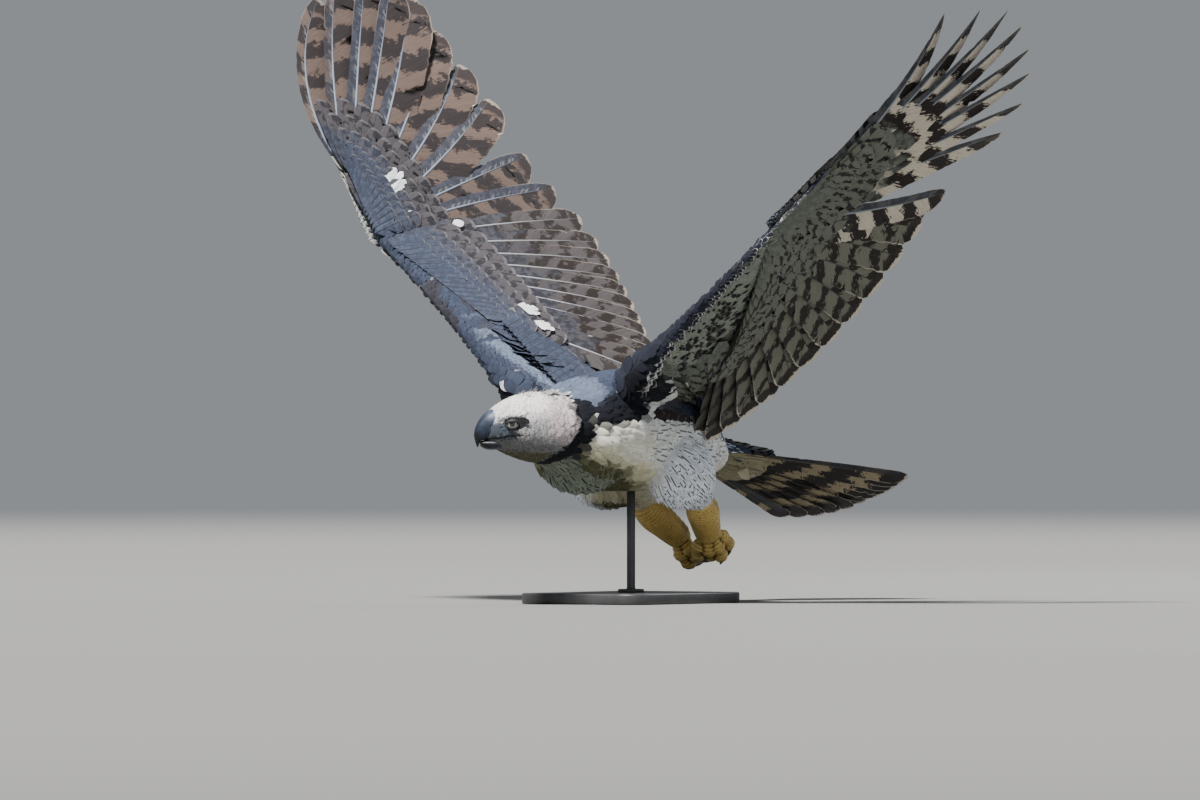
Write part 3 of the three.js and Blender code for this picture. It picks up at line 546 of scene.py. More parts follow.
@dataclass(frozen=True)
class VaneFace:
    """How one face of a flight feather is marked."""

    ground: Colour
    speck: Colour
    pale: Colour
    dark: Colour
    tip: Colour
    shaft: Colour
    bars: float = 6.0
    duty: float = 0.4
    start: float = 0.3
    stagger: float = 0.5
    broken: float = 0.3
    wander: float = 0.7
    end: float = 0.06
    rim: float = 0.014
    mottle: float = 0.5
    lead_dark: float = 0.0
    lead_from: float = 0.02
    lead: Colour = (0.030, 0.032, 0.045)
    inner_shade: float = 0.0
    inner_tone: Colour = (0.026, 0.021, 0.020)
    fleck: float = 0.0

    def paint(self, g: Graph, at: VanePlace) -> Any:
        """The face's colour.

        Args:
            g: the material's graph.
            at: the place on the feather: -1 at the leading edge, 0 at the shaft and 1 at the trailing edge.

        Returns:
            A colour socket.
        """
        shift = g.times(at.seed, 61.0)
        wide = g.size(at.across)
        barb = g.times_plus(wide, -1.1, at.along)
        own = g.point(g.plus(at.across, shift), at.along, shift)

        def streak(fine: float) -> Socket:
            """A point of a pattern that is drawn out along the barbs."""
            return g.point(g.times(barb, fine), g.times(at.across, 0.035), shift)

        hair = g.ease(g.noise(streak(0.9), 1.0, 3.0, 0.7), 0.4, 0.62)
        fray = g.minus(g.noise(streak(0.24), 1.0, 3.0, 0.7), 0.5)
        soft = g.minus(g.noise(own, 0.032, 2.0), 0.5)
        blotch = g.noise(own, 0.10, 3.0, 0.6)
        trailing = g.ease(at.edge, -0.04, 0.04)
        phase = g.times_plus(at.share, self.bars, g.times(trailing, self.stagger))
        phase = g.times_plus(fray, 0.55, phase)
        phase = g.times_plus(soft, self.wander, phase)
        phase = g.times_plus(at.seed, 0.3, phase)
        wave = g.size(g.minus(g.math("FRACT", phase), 0.5))
        rough = g.times_plus(g.minus(blotch, 0.5), 0.5, wave)
        bar = g.ease(rough, 0.5 * self.duty + 0.03, 0.5 * self.duty - 0.03)
        holes = g.ease(g.noise(own, 0.06, 3.0), self.broken + 0.06, self.broken - 0.04)
        bar = g.times(bar, g.minus(1.0, holes))
        begin = g.ease(g.times_plus(soft, 0.5, at.share), self.start, self.start + 0.12)
        pale = g.mix(g.times(hair, self.mottle), self.pale, dimmed(self.pale, 0.5))
        dark = g.mix(g.times(hair, 0.4), self.dark, dimmed(self.dark, 2.2))
        patch = g.times(g.ease(blotch, 0.44, 0.6), g.times_plus(hair, 0.6, 0.4))
        ground = g.mix(patch, self.ground, self.speck)
        colour = g.mix(begin, ground, g.mix(bar, pale, dark))
        if self.lead_dark:
            inner = g.times(g.ease(at.rank, self.lead_from, self.lead_from + 0.18), self.lead_dark)
            leading = g.times(g.ease(at.edge, 0.0, -0.1), inner)
            colour = g.mix(leading, colour, g.mix(patch, self.lead, dimmed(self.lead, 1.9)))
        if self.inner_shade:
            shaded = g.times(g.ease(at.rank, 0.68, 0.95), self.inner_shade)
            colour = g.mix(shaded, colour, g.mix(patch, self.inner_tone, dimmed(self.inner_tone, 1.7)))
        if self.fleck:
            beside = g.times(g.ease(at.edge, -0.02, -0.08), g.ease(at.edge, -0.55, -0.3))
            chance = g.ease(g.noise(streak(0.13), 1.0, 2.0, 0.6), 0.53, 0.57)
            colour = g.mix(g.times(g.times(beside, chance), self.fleck), colour, (0.6, 0.6, 0.58))
        reach = g.plus(at.share, g.times_plus(soft, 0.06, g.times(fray, 0.05)))
        last = g.ease(reach, 1.0 - self.end - 0.01, 1.0 - self.end + 0.01)
        marked = g.mix(g.times(last, 0.92), colour, dark)
        side_rim = g.times(g.ease(g.size(at.edge), 0.93, 0.99), g.ease(at.share, 0.6, 0.9))
        rim = g.greater(g.ease(reach, 1.0 - self.rim - 0.004, 1.0 - self.rim + 0.004), side_rim)
        return g.mix(g.times(rim, 0.8), marked, self.tip)


@dataclass(frozen=True)
class VaneFinish:
    """The finish of a row of flight feathers, over and under."""

    name: str
    over: VaneFace
    under: VaneFace
    roughness: float = 0.62

    def material(self) -> Material:
        """Builds its material."""
        g = Graph(self.name)
        edge, share, seed = g.read("vane")
        across, along, rank = g.read("sheet")
        at = VanePlace(edge, share, seed, across, along, rank)
        shaft = g.number("shaft")
        under = g.number("under")
        vane = g.mix(under, self.over.paint(g, at), self.under.paint(g, at))
        quill = g.mix(under, self.over.shaft, self.under.shaft)
        quill = g.mix(g.times(g.ease(share, 0.5, 0.98), 0.7), quill, (0.01, 0.01, 0.012))
        colour = g.mix(shaft, vane, quill)
        slant = g.times_plus(g.size(across), -1.1, along)
        barb = g.math("SINE", g.times(slant, 3.2))
        fray = g.noise(g.point(g.times(slant, 0.5), g.times(across, 0.05)), 1.0, 3.0)
        height = g.times(g.times_plus(fray, 3.0, barb), g.minus(1.0, shaft))
        return g.surface(colour, self.roughness, g.bump(height, 0.4, 0.0006), Specular_IOR_Level=0.18)


class CoatFinish:
    """The finish of the small feathers and the skin, from the colours and marks they carry."""

    def feathers(self) -> Material:
        """The small feathers' material: each one's tint, bars, fringe, spots and dark shaft line."""
        g = Graph("plumage")
        edge, share, _ = g.read("vane")
        bars, fringe, spots = g.read("marks")
        luck = g.number("luck")
        tint = g.colour_of("tint")
        wide = g.size(edge)
        wobble = g.minus(g.noise(g.place(90.0), 1.0, 2.0), 0.5)
        fine = g.noise(g.place(420.0), 1.0, 2.0)
        bent = g.times_plus(g.math("POWER", wide, 2.0), 0.10, share)
        bent = g.times_plus(luck, 0.22, g.times_plus(wobble, 0.28, bent))
        wave = g.size(g.minus(g.math("FRACT", g.times(bent, 3.0)), 0.5))
        gap = g.ease(g.size(g.minus(luck, 0.5)), 0.5, 0.36)
        bar = g.times(g.times(g.ease(wave, 0.12, 0.07), bars), gap)
        along = g.times(g.ease(share, 0.2, 0.35), g.ease(share, 0.97, 0.85))
        narrow = g.times(g.ease(wide, 0.24, 0.12), g.times(along, bars))
        some = g.times(g.ease(luck, 0.10, 0.14), g.ease(luck, 0.74, 0.70))
        mark = g.greater(g.times(bar, g.ease(luck, 0.72, 0.76)), g.times(narrow, some))
        barred = g.mix(mark, tint, (0.012, 0.013, 0.016))
        body = g.times(g.ease(share, 0.4, 0.6), g.ease(wide, 1.0, 0.6))
        dark_spot = g.times(g.ease(g.minus(spots, luck), 0.0, 0.02), body)
        pale_spot = g.ease(g.plus(spots, luck), 0.0, -0.02)
        spotted = g.mix(pale_spot, g.mix(dark_spot, barred, (0.016, 0.015, 0.016)), (0.72, 0.73, 0.72))
        end = g.greater(g.ease(share, 0.78, 0.94), g.times(g.ease(wide, 0.7, 0.95), 0.6))
        light = g.times(end, g.greater(fringe, 0.0))
        shade = g.times(end, g.greater(g.times(fringe, -1.0), 0.0))
        edged = g.mix(shade, g.mix(light, spotted, (0.74, 0.73, 0.70)), (0.014, 0.015, 0.019))
        root = g.ease(share, 0.5, 0.1)
        deep = g.mix(g.times(root, 0.22), edged, (0.03, 0.03, 0.03))
        line = g.times(g.ease(wide, 0.12, 0.04), 0.25)
        lined = g.mix(line, deep, (0.03, 0.03, 0.032))
        bright = g.times_plus(luck, 0.26, g.times_plus(fine, 0.5, 0.62))
        colour = g.node("ShaderNodeHueSaturation", {"Value": bright, "Color": lined}).outputs[0]
        streak = g.math("SINE", g.times(g.plus(wide, share), 26.0))
        return g.surface(colour, 0.85, g.bump(streak, 0.25, 0.0008), Specular_IOR_Level=0.12)

    def skin(self) -> Material:
        """The skin under the coat, in the coat's own colours and darker."""
        g = Graph("skin_under_plumage")
        fuzz = g.noise(g.place(260.0), 1.0, 4.0, 0.7)
        colour = g.mix(g.times(fuzz, 0.5), g.colour_of("tint"), (0.03, 0.03, 0.032))
        return g.surface(colour, 0.9, g.bump(fuzz, 0.5, 0.001), Specular_IOR_Level=0.15)


@dataclass(frozen=True)
class SoftFinish:
    """A finish that mottles between colours, with a grain."""

    name: str
    light: Colour
    dark: Colour
    scale: float
    grain: float
    roughness: float
    depth: float = 0.0004
    tinted: bool = False
    coat: float = 0.0
    specular: float = 0.5

    def material(self) -> Material:
        """Builds its material; a tinted one reads the mesh's own tint first."""
        g = Graph(self.name)
        cloud = g.noise(g.place(self.scale), 1.0, 4.0, 0.6)
        grain = g.noise(g.place(self.grain), 1.0, 3.0, 0.6)
        share = g.ease(g.plus(cloud, g.times(g.minus(grain, 0.5), 0.5)), 0.3, 0.72)
        colour = g.mix(share, self.dark, self.light)
        if self.tinted:
            tint = g.colour_of("tint")
            inputs = {0: 1.0, 6: colour, 7: tint}
            colour = g.node("ShaderNodeMix", inputs, data_type="RGBA", blend_type="MULTIPLY").outputs[2]
        rough = g.times_plus(grain, 0.2, self.roughness - 0.1)
        normal = g.bump(g.plus(grain, g.times(cloud, 2.0)), 0.5, self.depth)
        return g.surface(colour, rough, normal, Coat_Weight=self.coat, Specular_IOR_Level=self.specular)


@dataclass(frozen=True)
class Trunk:
    """The body between the neck and the tail."""

    y: tuple[float, ...] = (208, 182, 140, 90, 30, -40, -100, -150, -195, -228, -248, -260)
    z: tuple[float, ...] = (-40, -38, -28, -12, 0, 2, 4, 5, 6, 6, 5, 5)
    half: tuple[float, ...] = (24, 46, 70, 88, 100, 106, 105, 101, 94, 82, 64, 40)
    up: tuple[float, ...] = (14, 29, 50, 80, 98, 102, 100, 92, 82, 68, 52, 32)
    down: tuple[float, ...] = (15, 31, 56, 84, 98, 100, 102, 102, 104, 90, 62, 36)

    def flesh(self, grow: float) -> Shape:
        """The trunk's surface, moved outwards by grow."""
        knots = [-y for y in self.y]
        x = np.linspace(knots[0], knots[-1], 40)
        middle = np.stack([np.zeros_like(x), -x, spline(knots, self.z, x)], 1)
        across = np.tile(vec(1, 0, 0), (len(x), 1))
        upward = np.tile(vec(0, 0, 1), (len(x), 1))
        sizes = [np.maximum(spline(knots, t, x) + grow, 2) for t in (self.half, self.up, self.down)]
        return tube(ovals(middle, across, upward, *sizes, 48))


@dataclass(frozen=True)
class Neck:
    """The collar between the trunk and the head."""

    at: tuple[Colour, ...] = ((0, -185, 5), (-2, -215, 7), (-7, -240, 7), (-12, -262, 7), (-18, -284, 6))
    half: tuple[float, ...] = (84, 81, 75, 66, 54)
    up: tuple[float, ...] = (74, 68, 60, 53, 46)
    down: tuple[float, ...] = (84, 84, 76, 66, 56)
    turn: float = 26.4

    def flesh(self, grow: float) -> Shape:
        """The neck's surface, moved outwards by grow."""
        knots = list(range(5))
        x = np.linspace(0, 4, 24)
        turn = np.radians(-self.turn) * x / 4
        across = np.stack([np.cos(turn), np.sin(turn), np.zeros_like(turn)], 1)
        upward = np.tile(vec(0, 0, 1), (len(x), 1))
        sizes = [spline(knots, t, x) + grow for t in (self.half, self.up, self.down)]
        return tube(ovals(spline(knots, self.at, x), across, upward, *sizes, 40))


@dataclass(frozen=True)
class Skull:
    """The head's frame, its own shape and what sits on it."""

    middle: Place = (-20, -302, 7)
    turn: float = 33.0
    nod: float = -4.0
    f: tuple[float, ...] = (-70, -52, -25, 0, 25, 45, 62, 74, 79)
    top: tuple[float, ...] = (36, 51, 58, 59, 55, 48, 39, 30, 20)
    low: tuple[float, ...] = (-42, -58, -61, -57, -49, -40, -31, -24, -16)
    half: tuple[float, ...] = (42, 55, 58, 55, 49, 39, 28, 19, 12)
    eye: Place = (40, 32.5, 10)
    eye_radius: float = 11.0
    socket: float = 13.5
    bill_from: float = 66.0

    def way(self, forward: Any, left: Any, up: Any) -> Array:
        """A direction of the head's frame in the bird's frame.

        Args:
            forward: its part forward.
            left: its part to the left.
            up: its part up.

        Returns:
            The direction.
        """
        a, b = math.radians(-self.turn), math.radians(-self.nod)
        x, y, z = (np.asarray(t, float) for t in (left, -np.asarray(forward, float), up))
        x, y, z = np.broadcast_arrays(x, y, z)
        y, z = y * math.cos(b) - z * math.sin(b), y * math.sin(b) + z * math.cos(b)
        x, y = x * math.cos(a) - y * math.sin(a), x * math.sin(a) + y * math.cos(a)
        return np.stack([x, y, z], -1)

    def at(self, forward: Any, left: Any, up: Any) -> Array:
        """A point of the head's frame in the bird's frame."""
        return self.way(forward, left, up) + np.array(self.middle)

    def local(self, p: Array) -> Array:
        """Forward, left and up of points of the bird's frame."""
        d = p - np.array(self.middle)
        axes = [unit(self.way(*e)) for e in ((1, 0, 0), (0, 1, 0), (0, 0, 1))]
        return np.stack([d @ axis for axis in axes], -1)

    def look(self, side: int) -> tuple[Array, Array]:
        """An eye's middle and the way it looks, on the left for 1 and on the right for -1."""
        ahead, out, up = self.eye
        return self.at(ahead, side * out, up), unit(self.way(0.42, side * 0.9, 0.02))

    def flesh(self, grow: float) -> Shape:
        """The head's surface without the bill, moved outwards by grow."""
        x = np.linspace(self.f[0], self.f[-1], 40)
        top, low, half = (spline(self.f, t, x) for t in (self.top, self.low, self.half))
        zero = np.zeros_like(x)
        middle = self.at(x, zero, (top + low) / 2)
        across = np.tile(unit(self.way(0, 1, 0)), (len(x), 1))
        upward = np.tile(unit(self.way(0, 0, 1)), (len(x), 1))
        high = (top - low) / 2 + grow
        return tube(ovals(middle, across, upward, half + grow, high, high, 48))


@dataclass(frozen=True)
class Quill:
    """Where a feather's shaft goes."""

    root: Array
    way: Array
    normal: Array
    length: float
    camber: float = 0.0
    sweep: float = 0.0

    def line(self, share: Array) -> tuple[Array, Array, Array]:
        """Stations along the shaft.

        Args:
            share: places from 0 at the root to 1 at the tip, in any array.

        Returns:
            The points, and the directions towards the trailing edge and up through the over face.
        """
        side = unit(np.cross(self.normal, self.way))
        steps = 24
        middle = (np.arange(steps) + 0.5) / steps
        drop = np.radians(self.camber) * middle[:, None]
        back = np.radians(self.sweep) * middle[:, None]
        way = unit(self.way * np.cos(drop) - self.normal * np.sin(drop))
        way = unit(way * np.cos(back) + side * np.sin(back))
        at = np.concatenate([[self.root], self.root + np.cumsum(way, 0) * self.length / steps])
        x = np.clip(share, 0, 1) * steps
        k = np.minimum(steps - 1, np.floor(x).astype(int))
        t = (x - k)[..., None]
        point = at[k] * (1 - t) + at[k + 1] * t
        knots = np.clip(x - 0.5, 0, steps - 1)
        k2 = np.minimum(steps - 2, np.floor(knots).astype(int))
        t2 = (knots - k2)[..., None]
        along = unit(way[k2] * (1 - t2) + way[k2 + 1] * t2)
        trail = unit(np.cross(np.broadcast_to(self.normal, along.shape), along))
        return point, trail, unit(np.cross(along, trail))


def grid_faces(index: Array) -> Array:
    """Four-sided faces between the points of a grid."""
    return np.stack([index[:-1, :-1], index[1:, :-1], index[1:, 1:], index[:-1, 1:]], -1).reshape(-1, 4)


def two_faced(over: Array, under: Array, values: dict[str, Array], turned: bool = False) -> Shape:
    """A closed blade of two faces that meet at its edges.

    Args:
        over: the upper face's points, as a grid.
        under: the lower face's points, of which only the inner ones are used.
        values: what the points carry, as grids.
        turned: whether the grid runs the other way round, so that its faces have to be turned.

    Returns:
        The blade, whose faces carry 1 below and 0 above.
    """
    inner = np.zeros(over.shape[:2], bool)
    inner[1:-1, 1:-1] = True
    index = np.arange(inner.size).reshape(inner.shape)
    below = index.copy()
    below[inner] = inner.size + np.arange(inner.sum())
    upper, lower = grid_faces(index), grid_faces(below)
    quads = np.concatenate([upper[:, ::-1], lower] if turned else [upper, lower[:, ::-1]])
    points = np.concatenate([over.reshape(-1, 3), under[inner]])
    carried = {name: np.concatenate([grid.reshape(-1, 3), grid[inner]]) for name, grid in values.items()}
    side = np.repeat([0.0, 1.0], len(upper))
    return Shape(points, np.zeros((0, 3), int), quads, carried, {"under": side})


@dataclass(frozen=True)
class Vane:
    """A feather's blade: its width, its lean and how finely it is built."""

    width: float = 56.0
    lead: float = 0.4
    lap: float = 1.7
    pitch: float = 12.0
    fan: float = 0.1
    round_from: float = 0.86
    tilt: float = 8.0
    twist: float = 0.0
    slim: float = 0.0
    thick: float = 0.8
    barb: float = 42.0
    curl: float = 0.05
    ragged: float = 0.035
    rows: int = 44
    cols: tuple[int, int] = (3, 4)
    shaft: float = 2.0
    narrow_root: float = 0.12

    def room(self, length: float, share: Array) -> Array:
        """How wide the blade is at a share of the feather's length.

        Args:
            length: the feather's length.
            share: the place on it, 0 at the root and 1 at the tip.

        Returns:
            The width there.
        """
        room = np.minimum(self.width, self.lap * (self.pitch + self.fan * length * share))
        past = np.maximum(0, share - self.round_from) / (1 - self.round_from)
        end = np.sqrt(np.maximum(0, 1 - past**2))
        finger = 1 - self.slim * np.clip((share - 0.4) / 0.15, 0, 1)
        start = rise(-0.02, self.narrow_root, share)
        return room * end * finger * start

    def leaned(self, quill: Quill, share: Array) -> tuple[Array, Array, Array]:
        """Stations along the shaft, with the ways back and up through the blade as it leans there.

        Args:
            quill: its shaft's line.
            share: places from 0 at the root to 1 at the tip.

        Returns:
            The points, the ways back and the ways up.
        """
        at, trail, up = quill.line(share)
        lean = np.radians(self.tilt + self.twist * np.clip((share - 0.45) / 0.55, 0, 1))[..., None]
        return at, trail * np.cos(lean) - up * np.sin(lean), up * np.cos(lean) + trail * np.sin(lean)

    def grow(self, quill: Quill, rng: Rng, rank: float = 0.5) -> Shape:
        """The feather as a closed blade of two faces that meet at its edges, with a round shaft.

        Args:
            quill: its shaft's line.
            rng: draws for its ragged edge.
            rank: its place in its row, 0 at the wing's tip and 1 at the inner end.

        Returns:
            A shape that carries edge, share and seed, and millimetres across and along with the rank.
        """
        seed = float(rng.random())
        rows, (a, b) = self.rows, self.cols
        t = np.linspace(0, 1, rows + 1)
        root = np.where(t < 0.75, t / 0.75 * 0.86, 0.86 + 0.14 * np.sin((t - 0.75) / 0.25 * np.pi / 2))
        u = np.concatenate([np.linspace(-1, 0, a + 1)[:-1], np.linspace(0, 1, b + 1)])
        part = np.where(u < 0, self.lead, 1 - self.lead)
        slope = 1 / math.tan(math.radians(self.barb)) / quill.length
        edge = np.repeat(root[:, None], len(u), 1)
        for _ in range(4):
            edge = np.minimum(1.0, root[:, None] + self.room(quill.length, edge) * part[None] * slope)
        wear = 1 + self.ragged * (rng.random((rows + 1, 2)) * 2 - 1)
        for _ in range(int(rng.integers(1, 4))):
            wear[int(rng.integers(rows // 4, rows - 2)), int(rng.integers(0, 2))] *= 0.78
        wide = self.room(quill.length, edge) * part[None] * np.where(u[None] < 0, wear[:, :1], wear[:, 1:])
        share = root[:, None] + (edge - root[:, None]) * np.abs(u)[None]
        at, back, top = self.leaned(quill, share)
        across = wide * u[None]
        sag = -self.curl * np.abs(across) * np.abs(u)[None]
        body = at + back * across[..., None] + top * sag[..., None]
        half = (0.5 * self.thick * (1 - u[None] ** 2) * (1 - 0.5 * share))[..., None]
        grid = share.shape
        vane = np.stack([np.broadcast_to(u, grid), 0.5 * (share + root[:, None]), np.full(grid, seed)], -1)
        sheet = np.stack([across, share * quill.length, np.full(grid, rank)], -1)
        blade = two_faced(body + top * half, body - top * half, {"vane": vane, "sheet": sheet})
        blade.face_values["shaft"] = np.zeros(len(blade.quads))
        return joined([blade, self.stem(quill, seed)])

    def stem(self, quill: Quill, seed: float) -> Shape:
        """The shaft as a closed tapered tube, a little proud of both faces.

        Args:
            quill: its line.
            seed: the feather's own number.

        Returns:
            The shaft.
        """
        share = np.concatenate([np.linspace(0, 0.9, 13), [0.95, 0.98]])
        at, back, top = self.leaned(quill, share)
        radius = self.shaft * (1 - share) ** 0.8 + 0.3
        rings = ovals(at, back, top, radius, radius * 0.75, radius * 0.75, 6)
        shape = tube(rings)
        far = capped(share, 6)
        blank = np.zeros_like(far)
        shape.values = {
            "vane": np.stack([blank, far, blank + seed], -1),
            "sheet": np.stack([blank, far * quill.length, blank], -1),
        }
        middles = np.concatenate([shape.points[shape.tris].mean(1), shape.points[shape.quads].mean(1)])
        near = np.linalg.norm(middles[:, None] - at[None], axis=2).argmin(1)
        below = dots(middles - at[near], top[near]) < 0
        shape.face_values = {"under": below.astype(float), "shaft": np.ones(shape.face_count)}
        return shape


def strip_map(shape: Shape, number: int, total: int) -> Shape:
    """Gives a flight feather strips of its own on the bake's map: one for each face and one for its shaft.

    Args:
        shape: the feather.
        number: its number in its piece.
        total: how many feathers the piece has.

    Returns:
        The feather with its map.
    """
    per_row = max(1, math.ceil(math.sqrt(total * 1.6)))
    row, col = divmod(number, per_row)
    rows = math.ceil(total / per_row)
    vane = shape.values["vane"]
    cut = len(shape.tris)

    def mapped(faces: Array, low: int, high: int) -> Array:
        """Places on the map for the corners of some faces.

        Args:
            faces: the faces' points.
            low: the number of the first face.
            high: the number after the last.

        Returns:
            A place on the map for each corner.
        """
        under = shape.face_values["under"][low:high, None]
        shaft = shape.face_values["shaft"][low:high, None]
        u = (vane[faces, 0] + 1) / 2
        x = np.where(shaft > 0.5, 0.95 + 0.03 * u, 0.02 + 0.46 * under + 0.44 * u)
        y = 0.02 + 0.96 * vane[faces, 1]
        return np.stack([(col + x) / per_row, (row + y) / rows], -1)

    tri_map = mapped(shape.tris, 0, cut)
    quad_map = mapped(shape.quads, cut, shape.face_count)
    return replace(shape, tri_map=tri_map, quad_map=quad_map)


def vane_piece(name: str, vanes: Iterable[Shape], finish: Material) -> Object:
    """Flight feathers joined into one object, each with strips of its own on the bake's map."""
    vanes = list(vanes)
    return make_object(name, joined(strip_map(v, i, len(vanes)) for i, v in enumerate(vanes)), finish)


@dataclass(frozen=True)
class WingPlan:
    """One wing as if it were the left one: its joints, trailing directions and fans."""

    shoulder: Place
    elbow: Place
    wrist: Place
    finger: Place
    lead_root: Place
    hand_trail: Place
    arm_trail: Place
    turn: tuple[float, ...]
    length: tuple[float, ...]
    camber: tuple[float, ...]
    sweep: tuple[float, ...]
    twist: tuple[float, ...]
    width: float
    lead: float
    slim: float
    secondary_turn: tuple[float, float]
    secondary_power: float
    secondary_camber: float
    secondary_sweep: float
    secondary_length: tuple[float, float]


LEFT_PLAN = WingPlan(
    shoulder=(85, -125, 55), elbow=(206.5, -17.7, 172), wrist=(344, -113.7, 333.2),
    finger=(448.2, -105.1, 429.6), lead_root=(88, -184, 92), hand_trail=(-0.127, 0.796, -0.592),
    arm_trail=(-0.215, 0.943, -0.25),
    turn=(4.3, 11.5, 16.3, 20.7, 26, 30.1, 35.7, 42.9, 70, 76),
    length=(328, 380, 425, 439, 441, 436, 419, 390, 374, 367),
    camber=(-37, -30, -25, -19.5, -14.5, -8, -2, 0, -16, -12), sweep=(3,) * 10,
    twist=(-48, -48, -48, -42, -42, -42, -40, -36, 0, 0), width=56, lead=0.3, slim=0.3,
    secondary_turn=(97, 183), secondary_power=0.98, secondary_camber=17, secondary_sweep=14,
    secondary_length=(336, 247),
)
RIGHT_PLAN = WingPlan(
    shoulder=(85, -125, 55), elbow=(235.9, -118.3, 190.6), wrist=(433.6, -141.8, 326.6),
    finger=(514.4, -132.7, 441.8), lead_root=(120, -200, 58), hand_trail=(-0.507, 0.859, -0.073),
    arm_trail=(-0.391, 0.916, 0.085),
    turn=(-12, 14, 28, 36.5, 45, 51.5, 61, 68, 74, 79),
    length=(355, 400, 440, 455, 460, 443, 418, 395, 380, 379),
    camber=(-10, -8, -6, -6, -4, 0, 0, -2, 2, -2), sweep=(58, 16, 2, -5, -14, -15, -18, -14, 4, 14),
    twist=(0, 0, 0, 0, -20, -20, -20, -20, 0, 0), width=72, lead=0.25, slim=0.1,
    secondary_turn=(103.3, 144.5), secondary_power=0.77, secondary_camber=1, secondary_sweep=11,
    secondary_length=(394, 318),
)
PRIMARY_COUNT = 10
SECONDARY_COUNT = 12
TERTIAL_COUNT = 3


@dataclass(frozen=True)
class Tier:
    """One tier of coverts.

    Attributes:
        share: how long each is for its flight feather.
        rest: how far its tip stays off the flight feather.
        ahead: how far before the flight feather's root it starts.
        sunk: how far off the bone it starts.
        step: how many flight feathers lie between two of them.
        arm_width: how wide they are along the forearm.
        hand_width: how wide they are along the hand.
        round_from: where on their length their tips begin to round.
        rank: how far in they count for their colour.
    """

    share: float
    rest: float
    ahead: float
    sunk: float
    step: float = 1.0
    arm_width: float = 44
    hand_width: float = 38
    round_from: float = 0.84
    rank: float = 0.5


TIERS = {
    Face.OVER: (
        Tier(0.45, 9, 6, 4, 1.0, 44, 38, 0.84, 0.5), Tier(0.35, 12, 10, 7, 0.9, 42, 34, 0.78, 0.72),
        Tier(0.26, 14, 14, 9, 0.9, 38, 30, 0.74, 0.82), Tier(0.18, 15, 17, 10, 0.8, 34, 28, 0.68, 0.9),
        Tier(0.11, 16, 20, 11, 0.7, 32, 26, 0.6, 1.0),
    ),
    Face.UNDER: (
        Tier(0.41, 11, 6, 4, 1.0, 44, 38, 0.84, 0.5), Tier(0.29, 14, 14, 8, 0.9, 42, 34, 0.78, 0.72),
        Tier(0.19, 16, 22, 10, 0.9, 38, 30, 0.74, 0.82),
    ),
}


